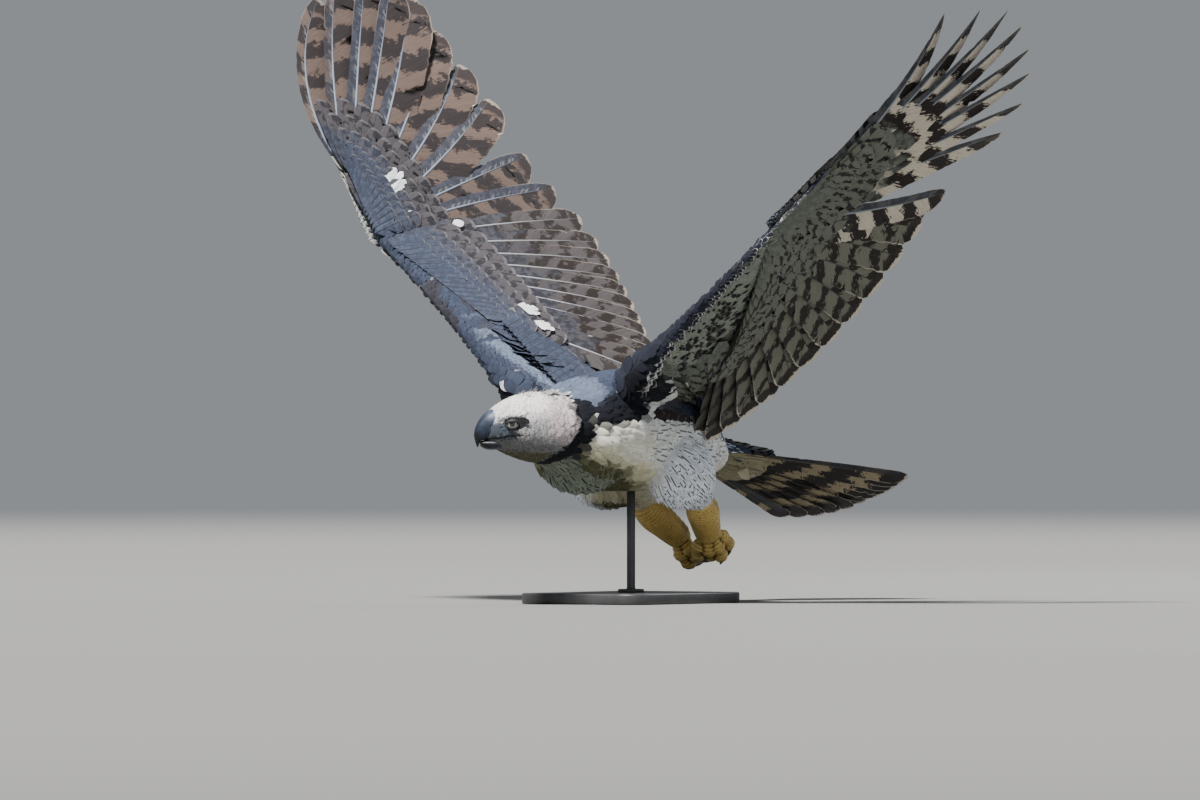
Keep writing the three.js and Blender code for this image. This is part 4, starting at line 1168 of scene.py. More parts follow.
class Wing:
    """A wing's flesh and its flight feathers and coverts."""

    INWARD = vec(-0.30, 0.93, -0.12)

    def __init__(self, plan: WingPlan) -> None:
        """Takes the plan and works out the frames of its hand and forearm."""
        self.plan = plan
        self.shoulder, self.elbow, self.wrist, self.finger, self.lead_root = (
            np.array(p, float) for p in (plan.shoulder, plan.elbow, plan.wrist, plan.finger, plan.lead_root)
        )
        self.hand = self.axes(self.wrist, self.finger, np.array(plan.hand_trail))
        self.arm = self.axes(self.elbow, self.wrist, np.array(plan.arm_trail))

    @staticmethod
    def axes(start: Array, end: Array, trail: Array) -> tuple[Array, Array, Array]:
        """Directions along a bone, towards the trailing edge, and up through the back.

        Args:
            start: the bone's start.
            end: its end.
            trail: roughly where its trailing edge looks.

        Returns:
            The three directions.
        """
        along = unit(end - start)
        back = unit(trail - along * (trail @ along))
        return along, back, unit(np.cross(along, back))

    def lift(self, share: float) -> Array:
        """Up through the back of the wing, from the hand's way at 0 to the forearm's at 1."""
        return unit(self.hand[2] * (1 - share) + self.arm[2] * share)

    def primary(self, k: float) -> Quill:
        """The shaft of a primary, from 0 at the wing's tip; k may be a fraction."""
        w = self.plan
        share = k / (PRIMARY_COUNT - 1)
        tables = (w.turn, w.length, w.camber, w.sweep)
        turn, length, camber, sweep = (float(np.interp(k, range(PRIMARY_COUNT), t)) for t in tables)
        up = self.lift(0.6 * share * share)
        along = unit(self.hand[0] - up * (up @ self.hand[0]))
        back = np.cross(up, along)
        way = along * math.cos(math.radians(turn)) + back * math.sin(math.radians(turn))
        normal = self.lift(0.15 * share * share)
        root = self.wrist + (self.finger - self.wrist) * (1 - 0.94 * share)
        flat = unit(normal - way * (way @ normal))
        return Quill(root, way, flat, length, camber, sweep)

    def secondary(self, k: float) -> Quill:
        """The shaft of a secondary, from 0 at the wrist."""
        w = self.plan
        share = k / (SECONDARY_COUNT - 1)
        along, back, up = self.arm
        low, high = w.secondary_turn
        turn = math.radians(low + (high - low) * share**w.secondary_power)
        way = along * math.cos(turn) + back * math.sin(turn)
        first, last = w.secondary_length
        root = self.wrist + (self.elbow - self.wrist) * (0.05 + 0.93 * share)
        return Quill(root, way, up, first + (last - first) * share, w.secondary_camber, w.secondary_sweep)

    def tertial(self, k: float) -> Quill:
        """The shaft of a tertial, from 0 at the elbow."""
        share = (k + 0.6) / TERTIAL_COUNT
        last = self.secondary(SECONDARY_COUNT - 1)
        blend = 0.35 + 0.55 * share
        way = unit(last.way * (1 - blend) + self.INWARD * blend)
        normal = unit(self.arm[2] * (1 - share) + vec(0.25, 0, 1) * share)
        root = self.elbow + (self.shoulder - self.elbow) * (0.10 + 0.62 * share)
        length = self.plan.secondary_length[1] * 0.9 * (1 - share) + 165 * share
        return Quill(root, way, normal, length, 10, 0)

    @staticmethod
    def covert(base: Quill, face: Face, tier: Tier) -> Quill:
        """The shaft of a covert over or under a flight feather.

        Args:
            base: the flight feather's shaft.
            face: the side it lies on.
            tier: how long it is and how it sits.

        Returns:
            The covert's shaft.
        """
        side = 1 if face is Face.OVER else -1
        length = base.length * tier.share
        root = base.root - base.way * tier.ahead + base.normal * side * tier.sunk
        way = unit(base.way * length + base.normal * side * (tier.rest - tier.sunk))
        share = tier.share
        return Quill(root, way, base.normal, length + tier.ahead, base.camber * share, base.sweep * share)

    def primary_row(self, rng: Rng) -> list[Shape]:
        """The primaries' blades."""
        w = self.plan
        pitch = float(np.linalg.norm(self.finger - self.wrist)) / PRIMARY_COUNT
        fan = math.radians(w.turn[-1] - w.turn[0]) / PRIMARY_COUNT
        made = []
        for k in range(PRIMARY_COUNT):
            quill = self.primary(k)
            quill = replace(quill, root=quill.root - quill.normal * 1.2 * max(0, 5 - k))
            vane = Vane(
                width=w.width, lead=w.lead, pitch=pitch, fan=fan, round_from=0.84, twist=w.twist[k],
                slim=w.slim * (1 if k < 7 else 0.3), rows=60, shaft=2.9, curl=0.04,
            )
            made.append(vane.grow(quill, rng, k / (PRIMARY_COUNT - 1)))
        return made

    def secondary_row(self, rng: Rng) -> list[Shape]:
        """The secondaries' and tertials' blades."""
        w = self.plan
        pitch = float(np.linalg.norm(self.elbow - self.wrist)) / SECONDARY_COUNT
        fan = math.radians(w.secondary_turn[1] - w.secondary_turn[0]) / SECONDARY_COUNT
        vane = Vane(width=62, lead=0.42, pitch=pitch, fan=fan, round_from=0.9, rows=52, shaft=2.2)
        last = SECONDARY_COUNT - 1
        made = [vane.grow(self.secondary(k), rng, k / last) for k in range(SECONDARY_COUNT)]
        inner = replace(vane, width=62, pitch=22, fan=0.12)
        return made + [inner.grow(self.tertial(k), rng, 1.0) for k in range(TERTIAL_COUNT)]

    def covert_rows(self, face: Face, rng: Rng) -> list[Shape]:
        """The tiers of coverts of one face, from the longest, and over the wing the scapulars too.

        Args:
            face: the side they lie on.
            rng: draws for their ragged edges.

        Returns:
            The coverts.
        """
        pitch = float(np.linalg.norm(self.elbow - self.wrist)) / SECONDARY_COUNT
        arm = Vane(lead=0.42, lap=1.6, pitch=pitch, fan=0.11, round_from=0.84, rows=22, shaft=1.1, thick=0.6)
        hand = replace(arm, lead=0.34, pitch=15, fan=0.13)
        made = []
        for number, tier in enumerate(TIERS[face]):
            blade = replace(arm, tilt=7, round_from=tier.round_from)
            inner = replace(
                tier, share=min(1.9 * tier.share, 0.8), rest=tier.rest + 3, ahead=tier.ahead + 6
            )
            for k in np.arange(0.35 * number, SECONDARY_COUNT - 0.4, tier.step):
                quill = self.covert(self.secondary(float(k)), face, tier)
                made.append(replace(blade, width=tier.arm_width).grow(quill, rng, tier.rank))
            for k in np.arange(0.2 + 0.3 * number, PRIMARY_COUNT - 0.4, tier.step):
                quill = self.covert(self.primary(float(k)), face, replace(tier, share=tier.share * 0.85))
                made.append(replace(hand, width=tier.hand_width).grow(quill, rng, tier.rank))
            for k in np.arange(0.1, TERTIAL_COUNT - 0.1, 0.7):
                quill = self.covert(self.tertial(float(k)), face, inner)
                made.append(replace(blade, width=46, lap=2.2).grow(quill, rng, tier.rank + 0.1))
        return made + (self.scapulars(rng) if face is Face.OVER else [])

    def scapulars(self, rng: Rng) -> list[Shape]:
        """The soft feathers from the shoulder over the tertials, in tiers."""
        back, up = self.arm[1], self.arm[2]
        way = unit(back + vec(0.15, 0, 0))
        normal = unit(up - way * (way @ up))
        blade = Vane(
            width=46, lead=0.45, lap=2.0, pitch=16, fan=0.02, tilt=5, round_from=0.62, rows=20, shaft=0.9,
            thick=0.6,
        )
        made = []
        for number, (long, lift) in enumerate(((178, 17), (138, 21), (102, 25))):
            for share in np.arange(-0.12 + 0.02 * number, 0.8, 0.06):
                root = self.shoulder + (self.elbow - self.shoulder) * share - back * 4 + up * lift
                length = long * (1 - 0.3 * abs(share - 0.3)) * rng.uniform(0.94, 1.06)
                made.append(blade.grow(Quill(root, way, normal, length, 6, 0), rng, 1.1))
        return made

    def tufts(self, rng: Rng) -> list[Shape]:
        """White feathers that stand in a few places among the coverts, as on the right wing."""
        places = {
            self.primary: ((6.4, 0.12, 0.25), (5.9, 0.13, 0.26), (5.5, 0.13, 0.24), (8.9, 0.15, 0.22)),
            self.secondary: (
                (0.1, 0.33, 0.39), (8.6, 0.27, 0.38), (9.1, 0.28, 0.37), (10.5, 0.28, 0.37),
                (10.9, 0.27, 0.38),
            ),
        }
        made = []
        for row, among in places.items():
            for k, start, end in among:
                base = row(k)
                vane = Vane(
                    width=18, lead=0.5, lap=1, pitch=18, fan=0, round_from=0.35, rows=14, shaft=0.4,
                    tilt=float(rng.uniform(-9, 9)), thick=0.5, ragged=0.35,
                )
                lie = Tier(share=end, rest=15, ahead=-start * base.length, sunk=13.5)
                made.append(vane.grow(self.covert(base, Face.OVER, lie), rng))
        return made

    def alula(self, rng: Rng) -> list[Shape]:
        """The stiff feathers of the thumb, along the hand's leading edge."""
        along, back, up = self.hand
        made = []
        for i in range(3):
            root = self.wrist + along * 4 + back * (-3 + 4 * i) + up * (4 + 1.6 * i)
            way = unit(along + back * (-0.05 + 0.04 * i) + up * 0.03)
            vane = Vane(width=24, lead=0.4, pitch=24, fan=0, lap=1, tilt=4, rows=24, shaft=1.2, thick=0.7)
            made.append(vane.grow(Quill(root, way, up, 128 - 22 * i, 4, 3), rng))
        return made

    def sections(self) -> tuple[Array, Array, Array, Array]:
        """The flesh from inside the trunk to the fingertip: front and rear edges, up, and thickness."""
        hand_along, hand_back, hand_up = self.hand
        arm_back, arm_up = self.arm[1], self.arm[2]
        wrist_front = self.wrist - arm_back * 15
        root_up = unit(vec(-0.35, -0.1, 1))
        palm = between(self.wrist, self.finger, 0.5)
        tip = self.finger + hand_along * 26
        upper_arm = between(self.shoulder, self.elbow, 0.5) + vec(0, 38, -2)
        forearm = between(self.elbow, self.wrist, 0.55) + arm_back * 22
        rows = [
            (self.lead_root + vec(-42, 22, -42), vec(34, 10, 30), root_up, 70),
            (between(self.lead_root, wrist_front, 0), vec(84, 12, 62), root_up, 62),
            (between(self.lead_root, wrist_front, 0.22), upper_arm, unit((root_up + arm_up) / 2), 44),
            (between(self.lead_root, wrist_front, 0.5), self.elbow + arm_back * 20, arm_up, 30),
            (between(self.lead_root, wrist_front, 0.78), forearm, arm_up, 24),
            (wrist_front, self.wrist + unit(arm_back + hand_back) * 24, unit(arm_up + hand_up), 20),
            (palm - hand_back * 11, palm + hand_back * 20, hand_up, 15),
            (self.finger - hand_back * 7, self.finger + hand_back * 12, hand_up, 14),
            (tip - hand_back * 3, tip + hand_back * 5, hand_up, 5),
        ]
        lead, trail, up, thick = zip(*rows)
        return np.array(lead), np.array(trail), np.array(up), np.array(thick, float)

    def spans(self, count: int) -> tuple[Array, Array, Array, Array, Array]:
        """Stations from 0 at the root to 8 at the fingertip, and the sections there."""
        lead, trail, up, thick = self.sections()
        knots = np.arange(9)
        x = np.linspace(0, 8, count)
        up = unit(spline(knots, up, x))
        return x, spline(knots, lead, x), spline(knots, trail, x), up, spline(knots, thick, x)

    def flesh(self, grow: float) -> Shape:
        """The wing's flesh, moved outwards by grow."""
        _, lead, trail, up, thick = self.spans(65)
        back = unit(trail - lead)
        up = unit(up - back * dots(up, back)[:, None])
        half = np.linalg.norm(trail - lead, axis=1) / 2
        turn = circle(28)
        share = (1 + np.cos(turn)) / 2
        high = np.maximum((thick / 2)[:, None] * (1.12 - 0.55 * share)[None] + grow, 1.0)
        high = high * np.sin(turn)[None]
        wide = np.cos(turn)[None] * (half + grow)[:, None]
        middle = (lead + trail) / 2
        return tube(middle[:, None] + back[:, None] * wide[..., None] + up[:, None] * high[..., None])

    def place_on(self, p: Array) -> tuple[Array, Array]:
        """Where points near the wing's flesh lie, as if on the left.

        Args:
            p: the points.

        Returns:
            The station from 0 at the root to 8 at the fingertip, and the share of the way across.
        """
        x, lead, trail, _, _ = self.spans(97)
        chord = trail - lead
        t = np.clip(np.einsum("nij,ij->ni", p[:, None] - lead[None], chord) / dots(chord, chord), 0, 1)
        gap = np.linalg.norm(p[:, None] - lead[None] - t[..., None] * chord[None], axis=2)
        best = gap.argmin(1)
        return x[best], t[np.arange(len(p)), best]

    def lie(self, p: Array) -> Array:
        """Which way the small feathers lie on the wing: towards the trailing edge and the tip."""
        station, _ = self.place_on(p)
        out = rise(1.0, 3.2, station)
        hand = rise(4.6, 5.6, station)[:, None]
        inner = vec(0.15, 1.0, -0.1)
        arm = unit(self.arm[1] + self.arm[0] * 0.28)
        palm = unit(self.hand[1] * 0.75 + self.hand[0] * 0.75)
        mixed = inner * (1 - out)[:, None] + arm * out[:, None]
        return unit(mixed * (1 - hand) + palm * hand)


@dataclass(frozen=True)
class Toe:
    """A toe and its claw: where it heads, how steeply it starts and curls, in degrees, and its sizes."""

    name: str
    heading: float
    start: float
    length: float
    curl: float
    girth: float
    claw: float


@dataclass(frozen=True)
class Limb:
    """A leg: the thigh's joints down to the cuff of its feathers, the shank and the foot's toes."""

    hip: Place
    knee: Place
    shin: Place
    cuff: Place
    heel: Place
    ball: Place
    toes: tuple[Toe, ...]
    thigh_radii: tuple[float, ...] = (44, 60, 42, 24)

    def thigh(self, grow: float) -> Shape:
        """The thigh under its leg feathers, moved outwards by grow."""
        return round_limb(self.axis(), [r + grow for r in self.thigh_radii], 40, 36)

    def axis(self) -> Array:
        """The line that the thigh's feathers follow."""
        return np.array([self.hip, self.knee, self.shin, self.cuff], float)

    def foot_axes(self) -> tuple[Array, Array, Array]:
        """Down along the shank, to the left, and forward over it."""
        down = unit(np.array(self.ball, float) - np.array(self.heel, float))
        left = unit(vec(1, 0, 0) - down * down[0])
        return down, left, np.cross(down, left)


LEFT_LIMB = Limb(
    (56, -40, -15), (74, -8, -62), (67, 44, -90), (60, 82, -114), (58, 90, -126), (30, 150, -173),
    (
        Toe("hallux", 118, 42, 46, 100, 12, 46), Toe("inner", -36, 41, 45, 117, 12, 44),
        Toe("middle", 15, 57, 50, 133, 12.5, 37), Toe("outer", 63, 55, 48, 66, 11.5, 32),
    ),
)
RIGHT_LIMB = Limb(
    (56, -40, -15), (72, -22, -62), (62, 52, -88), (57, 92, -116), (56, 103, -133), (46, 180, -179),
    (
        Toe("hallux", 118, 52, 41, 90, 12, 46), Toe("inner", -42, 41, 40, 133, 12, 43),
        Toe("middle", 10, 43, 50, 115, 13, 38), Toe("outer", 50, 55, 46, 141, 11.5, 32),
    ),
)


def curve_points(points: Sequence[Any], count: int) -> tuple[Array, Array]:
    """A smooth curve through points, drawn towards each by the root of its distance from the last.

    Args:
        points: what it passes through.
        count: how many stations to give.

    Returns:
        The stations and their directions.
    """
    p = np.array(points, float)
    ends = np.concatenate([[2 * p[0] - p[1]], p, [2 * p[-1] - p[-2]]])

    def at(t: float) -> Array:
        """The point at a share of the curve."""
        place = (len(p) - 1) * min(max(t, 0.0), 1.0)
        k = min(int(place), len(p) - 2)
        w = place - k
        a, b, c, d = ends[k : k + 4]
        gaps = [np.linalg.norm(q - r) ** 0.5 for q, r in ((b, a), (c, b), (d, c))]
        t1 = ((b - a) / gaps[0] - (c - a) / (gaps[0] + gaps[1]) + (c - b) / gaps[1]) * gaps[1]
        t2 = ((c - b) / gaps[1] - (d - b) / (gaps[1] + gaps[2]) + (d - c) / gaps[2]) * gaps[1]
        return b + t1 * w + (-3 * b + 3 * c - 2 * t1 - t2) * w * w + (2 * b - 2 * c + t1 + t2) * w**3

    shares = np.linspace(0, 1, count)
    line = np.array([at(s) for s in shares])
    step = 1e-3
    ways = unit(np.array([at(s + step) - at(s - step) for s in shares]))
    return line, ways


def round_limb(points: Sequence[Any], radii: Sequence[float], sides: int, count: int) -> Shape:
    """A round limb through points with a radius each.

    Args:
        points: the points.
        radii: the limb's radii, evenly spread along it.
        sides: points in each ring.
        count: how many rings.

    Returns:
        The limb.
    """
    line, ways = curve_points(points, count)
    radius = spline(range(len(radii)), radii, np.linspace(0, len(radii) - 1, count))
    across, rings = vec(1, 0, 0), []
    for at, way, r in zip(line, ways, radius):
        across = unit(across - way * (across @ way))
        rings.append(ovals(at[None], across[None], np.cross(way, across)[None], r, r, r, sides)[0])
    return tube(np.array(rings))


@dataclass(frozen=True)
class Tail:
    """The tail's frame, flesh and feathers."""

    base: Place = (0, 186, -36)
    count: int = 12
    fan: float = 14.0
    roll: float = 22.0
    droop: float = 11.0
    yaw: float = 9.5
    length: float = 390.0
    short: tuple[float, float] = (90.0, 18.0)
    width: float = 56.0
    covert_rows: tuple[tuple[int, float], ...] = ((7, 150), (7, 100), (6, 64))

    def axes(self) -> tuple[Array, Array, Array]:
        """Directions to the tip, to the bird's left edge of the fan, and up through its upper face."""
        roll, droop, yaw = (math.radians(a) for a in (self.roll, self.droop, self.yaw))
        back = vec(math.sin(yaw) * math.cos(droop), math.cos(yaw) * math.cos(droop), -math.sin(droop))
        level = unit(np.cross(back, vec(0, 0, 1)))
        upright = np.cross(level, back)
        side = level * math.cos(roll) + upright * math.sin(roll)
        return back, side, unit(np.cross(side, back))

    def flesh(self, grow: float) -> Shape:
        """The tail's root, moved outwards by grow."""
        back, side, up = self.axes()
        s, half, high = (-60, -10, 40, 80), (40, 40, 36, 30), (26, 22, 15, 8)
        x = np.linspace(-60, 80, 18)
        middle = np.array(self.base) + back[None] * x[:, None]
        rows = [np.tile(a, (len(x), 1)) for a in (side, up)]
        tall = spline(s, high, x) + grow
        return tube(ovals(middle, *rows, spline(s, half, x) + grow, tall, tall, 28))

    def feathers(self, rng: Rng) -> list[Shape]:
        """The tail feathers' blades."""
        back, side, up = self.axes()
        made = []
        for k in range(self.count):
            share = 2 * k / (self.count - 1) - 1
            outer = 1 if share > 0 else -1
            turn = math.radians(self.fan * share)
            way = unit(back * math.cos(turn) + side * math.sin(turn))
            off = 5 - 13 * abs(share) + (1.8 if k == self.count // 2 else 0)
            root = np.array(self.base) + side * 30 * share + up * off + back * 10
            vane = Vane(
                width=self.width, lead=0.5 - 0.08 * outer, lap=2.1, pitch=5.4,
                fan=math.radians(2 * self.fan) / self.count, round_from=0.9, tilt=6 * outer, rows=52,
                shaft=2.4,
            )
            length = self.length - self.short[0 if share < 0 else 1] * share * share
            made.append(vane.grow(Quill(root, way, up, length, 3, 0), rng, abs(share)))
        return made

    def coverts(self, face: Face, rng: Rng) -> list[Shape]:
        """Rows of coverts on one face of the tail's root.

        Args:
            face: the side they lie on.
            rng: draws for their ragged edges.

        Returns:
            The coverts.
        """
        back, side, up = self.axes()
        over = 1 if face is Face.OVER else -1
        made = []
        for row, (count, length) in enumerate(self.covert_rows):
            for k in range(count):
                share = 2 * k / (count - 1) - 1
                turn = math.radians(self.fan * 0.75 * share)
                way = unit(back * math.cos(turn) + side * math.sin(turn) - up * 0.02 * over)
                off = over * (14 + 2.5 * row - 4 * share * share)
                root = np.array(self.base) + side * 24 * share + up * off - back * 10 * row
                size = length * (0.86 if over < 0 else 1.0) * (1 - 0.2 * share * share)
                vane = Vane(
                    width=44, lead=0.5, lap=1.9, pitch=8, fan=math.radians(1.5 * self.fan) / 5,
                    round_from=0.8, tilt=6 if share > 0 else -6, rows=20, shaft=0.9, thick=0.6,
                )
                made.append(vane.grow(Quill(root, way, up, size, 3, 0), rng))
        return made


class Body:
    """The flesh of the whole bird: its regions as closed surfaces, and all of them as one skin."""

    def __init__(self) -> None:
        """Takes the body's parts."""
        self.trunk = Trunk()
        self.neck = Neck()
        self.skull = Skull()
        self.wings = {Side.LEFT: Wing(LEFT_PLAN), Side.RIGHT: Wing(RIGHT_PLAN)}
        self.limbs = {Side.LEFT: LEFT_LIMB, Side.RIGHT: RIGHT_LIMB}
        self.tail = Tail()

    def parts(self, depth: dict[Region, float]) -> dict[Region, Shape]:
        """Each part's own surface, moved inwards by its coat's depth."""
        made = {
            Region.TRUNK: self.trunk.flesh(-depth[Region.TRUNK]),
            Region.NECK: self.neck.flesh(-depth[Region.NECK]),
            Region.HEAD: self.skull.flesh(-depth[Region.HEAD]),
            Region.TAIL: self.tail.flesh(-depth[Region.TAIL]),
        }
        for side in Side:
            made[side.wing] = side.own(self.wings[side].flesh(-depth[side.wing]))
        for side in Side:
            made[side.thigh] = side.own(self.limbs[side].thigh(-depth[side.thigh]))
        return made

    def skin(self) -> Object:
        """One closed skin over all parts, finer on the face."""
        depth = {r: 4.5 for r in Region}
        depth.update({Region.HEAD: 2.0, Region.WING_LEFT: 1.5, Region.WING_RIGHT: 1.5, Region.TAIL: 2.0})
        made = melted(joined(self.parts(depth).values()), "skin", 4.2, 0.5, 9)
        self.refine_face(made)
        return made

    def refine_face(self, obj: Object) -> None:
        """Divides the head's faces and gives them brows, eye sockets and the line of the mouth."""
        bm = bmesh.new()
        bm.from_mesh(obj.data)
        places = (np.array([v.co[:] for v in bm.verts]) - BIRD_AT) / MM
        inside = self.skull.local(places)[:, 0] > -30
        edges = [e for e in bm.edges if inside[e.verts[0].index] and inside[e.verts[1].index]]
        bmesh.ops.subdivide_edges(bm, edges=edges, cuts=2, use_grid_fill=True, smooth=0.4)
        bmesh.ops.recalc_face_normals(bm, faces=bm.faces)
        points = (np.array([v.co[:] for v in bm.verts]) - BIRD_AT) / MM
        moved = self.face_relief(points) * MM + BIRD_AT
        for vert, place in zip(bm.verts, moved):
            vert.co = place
        bm.to_mesh(obj.data)
        bm.free()
        obj.data.polygons.foreach_set("use_smooth", np.ones(len(obj.data.polygons), bool))

    def face_relief(self, points: Array) -> Array:
        """Points of the head's skin, moved for the brows, the sockets and the corners of the mouth."""
        skull = self.skull
        moved = points.copy()
        for side in (1, -1):
            local = skull.local(moved)
            ways = ((0.92, -0.38 * side, -0.12), (0.38, 0.92 * side, 0), (0.12, 0, 1))
            axes = np.array([unit(skull.way(*way)) for way in ways])
            middle = skull.at(40, side * 31.5, 21)
            brow = np.array([25, 8.5, 5.5])
            d = (moved - middle) @ axes.T / brow
            size = np.linalg.norm(d, axis=1)
            push = (size < 1) & (local[:, 1] * side > 10)
            out = (d / np.maximum(size, 0.25)[:, None]) * brow @ axes + middle
            moved[push] = out[push]
            eye, gaze = skull.look(side)
            e = moved - eye
            r = np.linalg.norm(e, axis=1)
            turn = np.degrees(np.arccos(np.clip(unit(e) @ gaze, -1, 1)))
            cup = 9.0 + 3.0 * rise(44, 56, turn)
            share = 1 - rise(60, 84, turn)
            share[local[:, 1] * side < 8] = 0
            share[r > 30] = 0
            moved = moved + unit(e) * ((cup - r) * share)[:, None]
            local = skull.local(moved)
            along = np.clip((62 - local[:, 0]) / 32, 0, 1)
            line = -11.5 + 3.0 * along
            crease = hill(0, 1.6, local[:, 2] - line) * rise(28, 34, local[:, 0]) * (local[:, 1] * side > 8)
            moved = moved - skull.way(0, side, 0)[None] * (1.8 * crease)[:, None]
        return moved


def evaluated(obj: Object, name: str) -> Object:
    """A plain mesh object of what an object's modifiers make, in its place.

    Args:
        obj: the object, which is removed.
        name: the new object's name.

    Returns:
        The new object, with no modifiers.
    """
    graph = bpy.context.evaluated_depsgraph_get()
    mesh = bpy.data.meshes.new_from_object(obj.evaluated_get(graph), depsgraph=graph)
    mesh.name = name
    bpy.data.objects.remove(obj)
    made = bpy.data.objects.new(name, mesh)
    bpy.context.scene.collection.objects.link(made)
    return made


def melted(shape: Shape, name: str, voxel: float, ease: float, rounds: int) -> Object:
    """Closed surfaces that run into each other, as one even skin.

    Args:
        shape: the surfaces.
        name: the new object's name.
        voxel: the size of its faces.
        ease: how much each round of smoothing does.
        rounds: how many rounds.

    Returns:
        The skin.
    """
    rough = make_object(name + "_rough", shape)
    melt = rough.modifiers.new("melt", "REMESH")
    melt.mode = "VOXEL"
    melt.voxel_size = voxel * MM
    even = rough.modifiers.new("even", "SMOOTH")
    even.factor, even.iterations = ease, rounds
    return evaluated(rough, name)


def array_of(items: Any, key: str, width: int) -> Array:
    """Numbers read from a mesh's points or faces.

    Args:
        items: the mesh's points or faces.
        key: which numbers.
        width: how many for each.

    Returns:
        The numbers.
    """
    found = np.zeros(len(items) * width, np.float32)
    items.foreach_get(key, found)
    return found.reshape(-1, width).astype(float) if width > 1 else found.astype(float)


def relief_of(mesh: Mesh, rounds: int) -> Array:
    """How far each point lies under the surface's mean, in millimetres.

    Args:
        mesh: the mesh.
        rounds: how often the surface is evened out to find its mean.

    Returns:
        One number for each point: above 0 in a crease, below 0 on a ridge.
    """
    ends = np.zeros(len(mesh.edges) * 2, np.int32)
    mesh.edges.foreach_get("vertices", ends)
    a, b = ends.reshape(-1, 2).T
    points = array_of(mesh.vertices, "co", 3)
    count = np.maximum(np.bincount(ends, minlength=len(points)), 1)
    even = points.copy()
    for _ in range(rounds):
        for axis in range(3):
            total = np.bincount(a, even[b, axis], len(points)) + np.bincount(b, even[a, axis], len(points))
            even[:, axis] = total / count
    return dots(even - points, array_of(mesh.vertices, "normal", 3)) / MM


class WingPlaces:
    """Where the skin's points lie on one wing: station, share of the chord, and how much they face up."""

    def __init__(self, coat: "Coat", side: Side) -> None:
        """Works them out for the points near the wing; the rest keep zeros.

        Args:
            coat: the coat, for its points, normals and weights.
            side: which wing.
        """
        wing = coat.body.wings[side]
        self.weight = coat.weights[:, side.wing.value]
        near = self.weight > 0.01
        self.station, self.chord, self.facing = (np.zeros(len(coat.points)) for _ in range(3))
        self.station[near], self.chord[near] = wing.place_on(coat.points[near] * side.flip)
        ups = unit(spline(range(9), wing.sections()[2], self.station[near]))
        self.facing[near] = dots(ups, coat.normals[near] * side.flip)


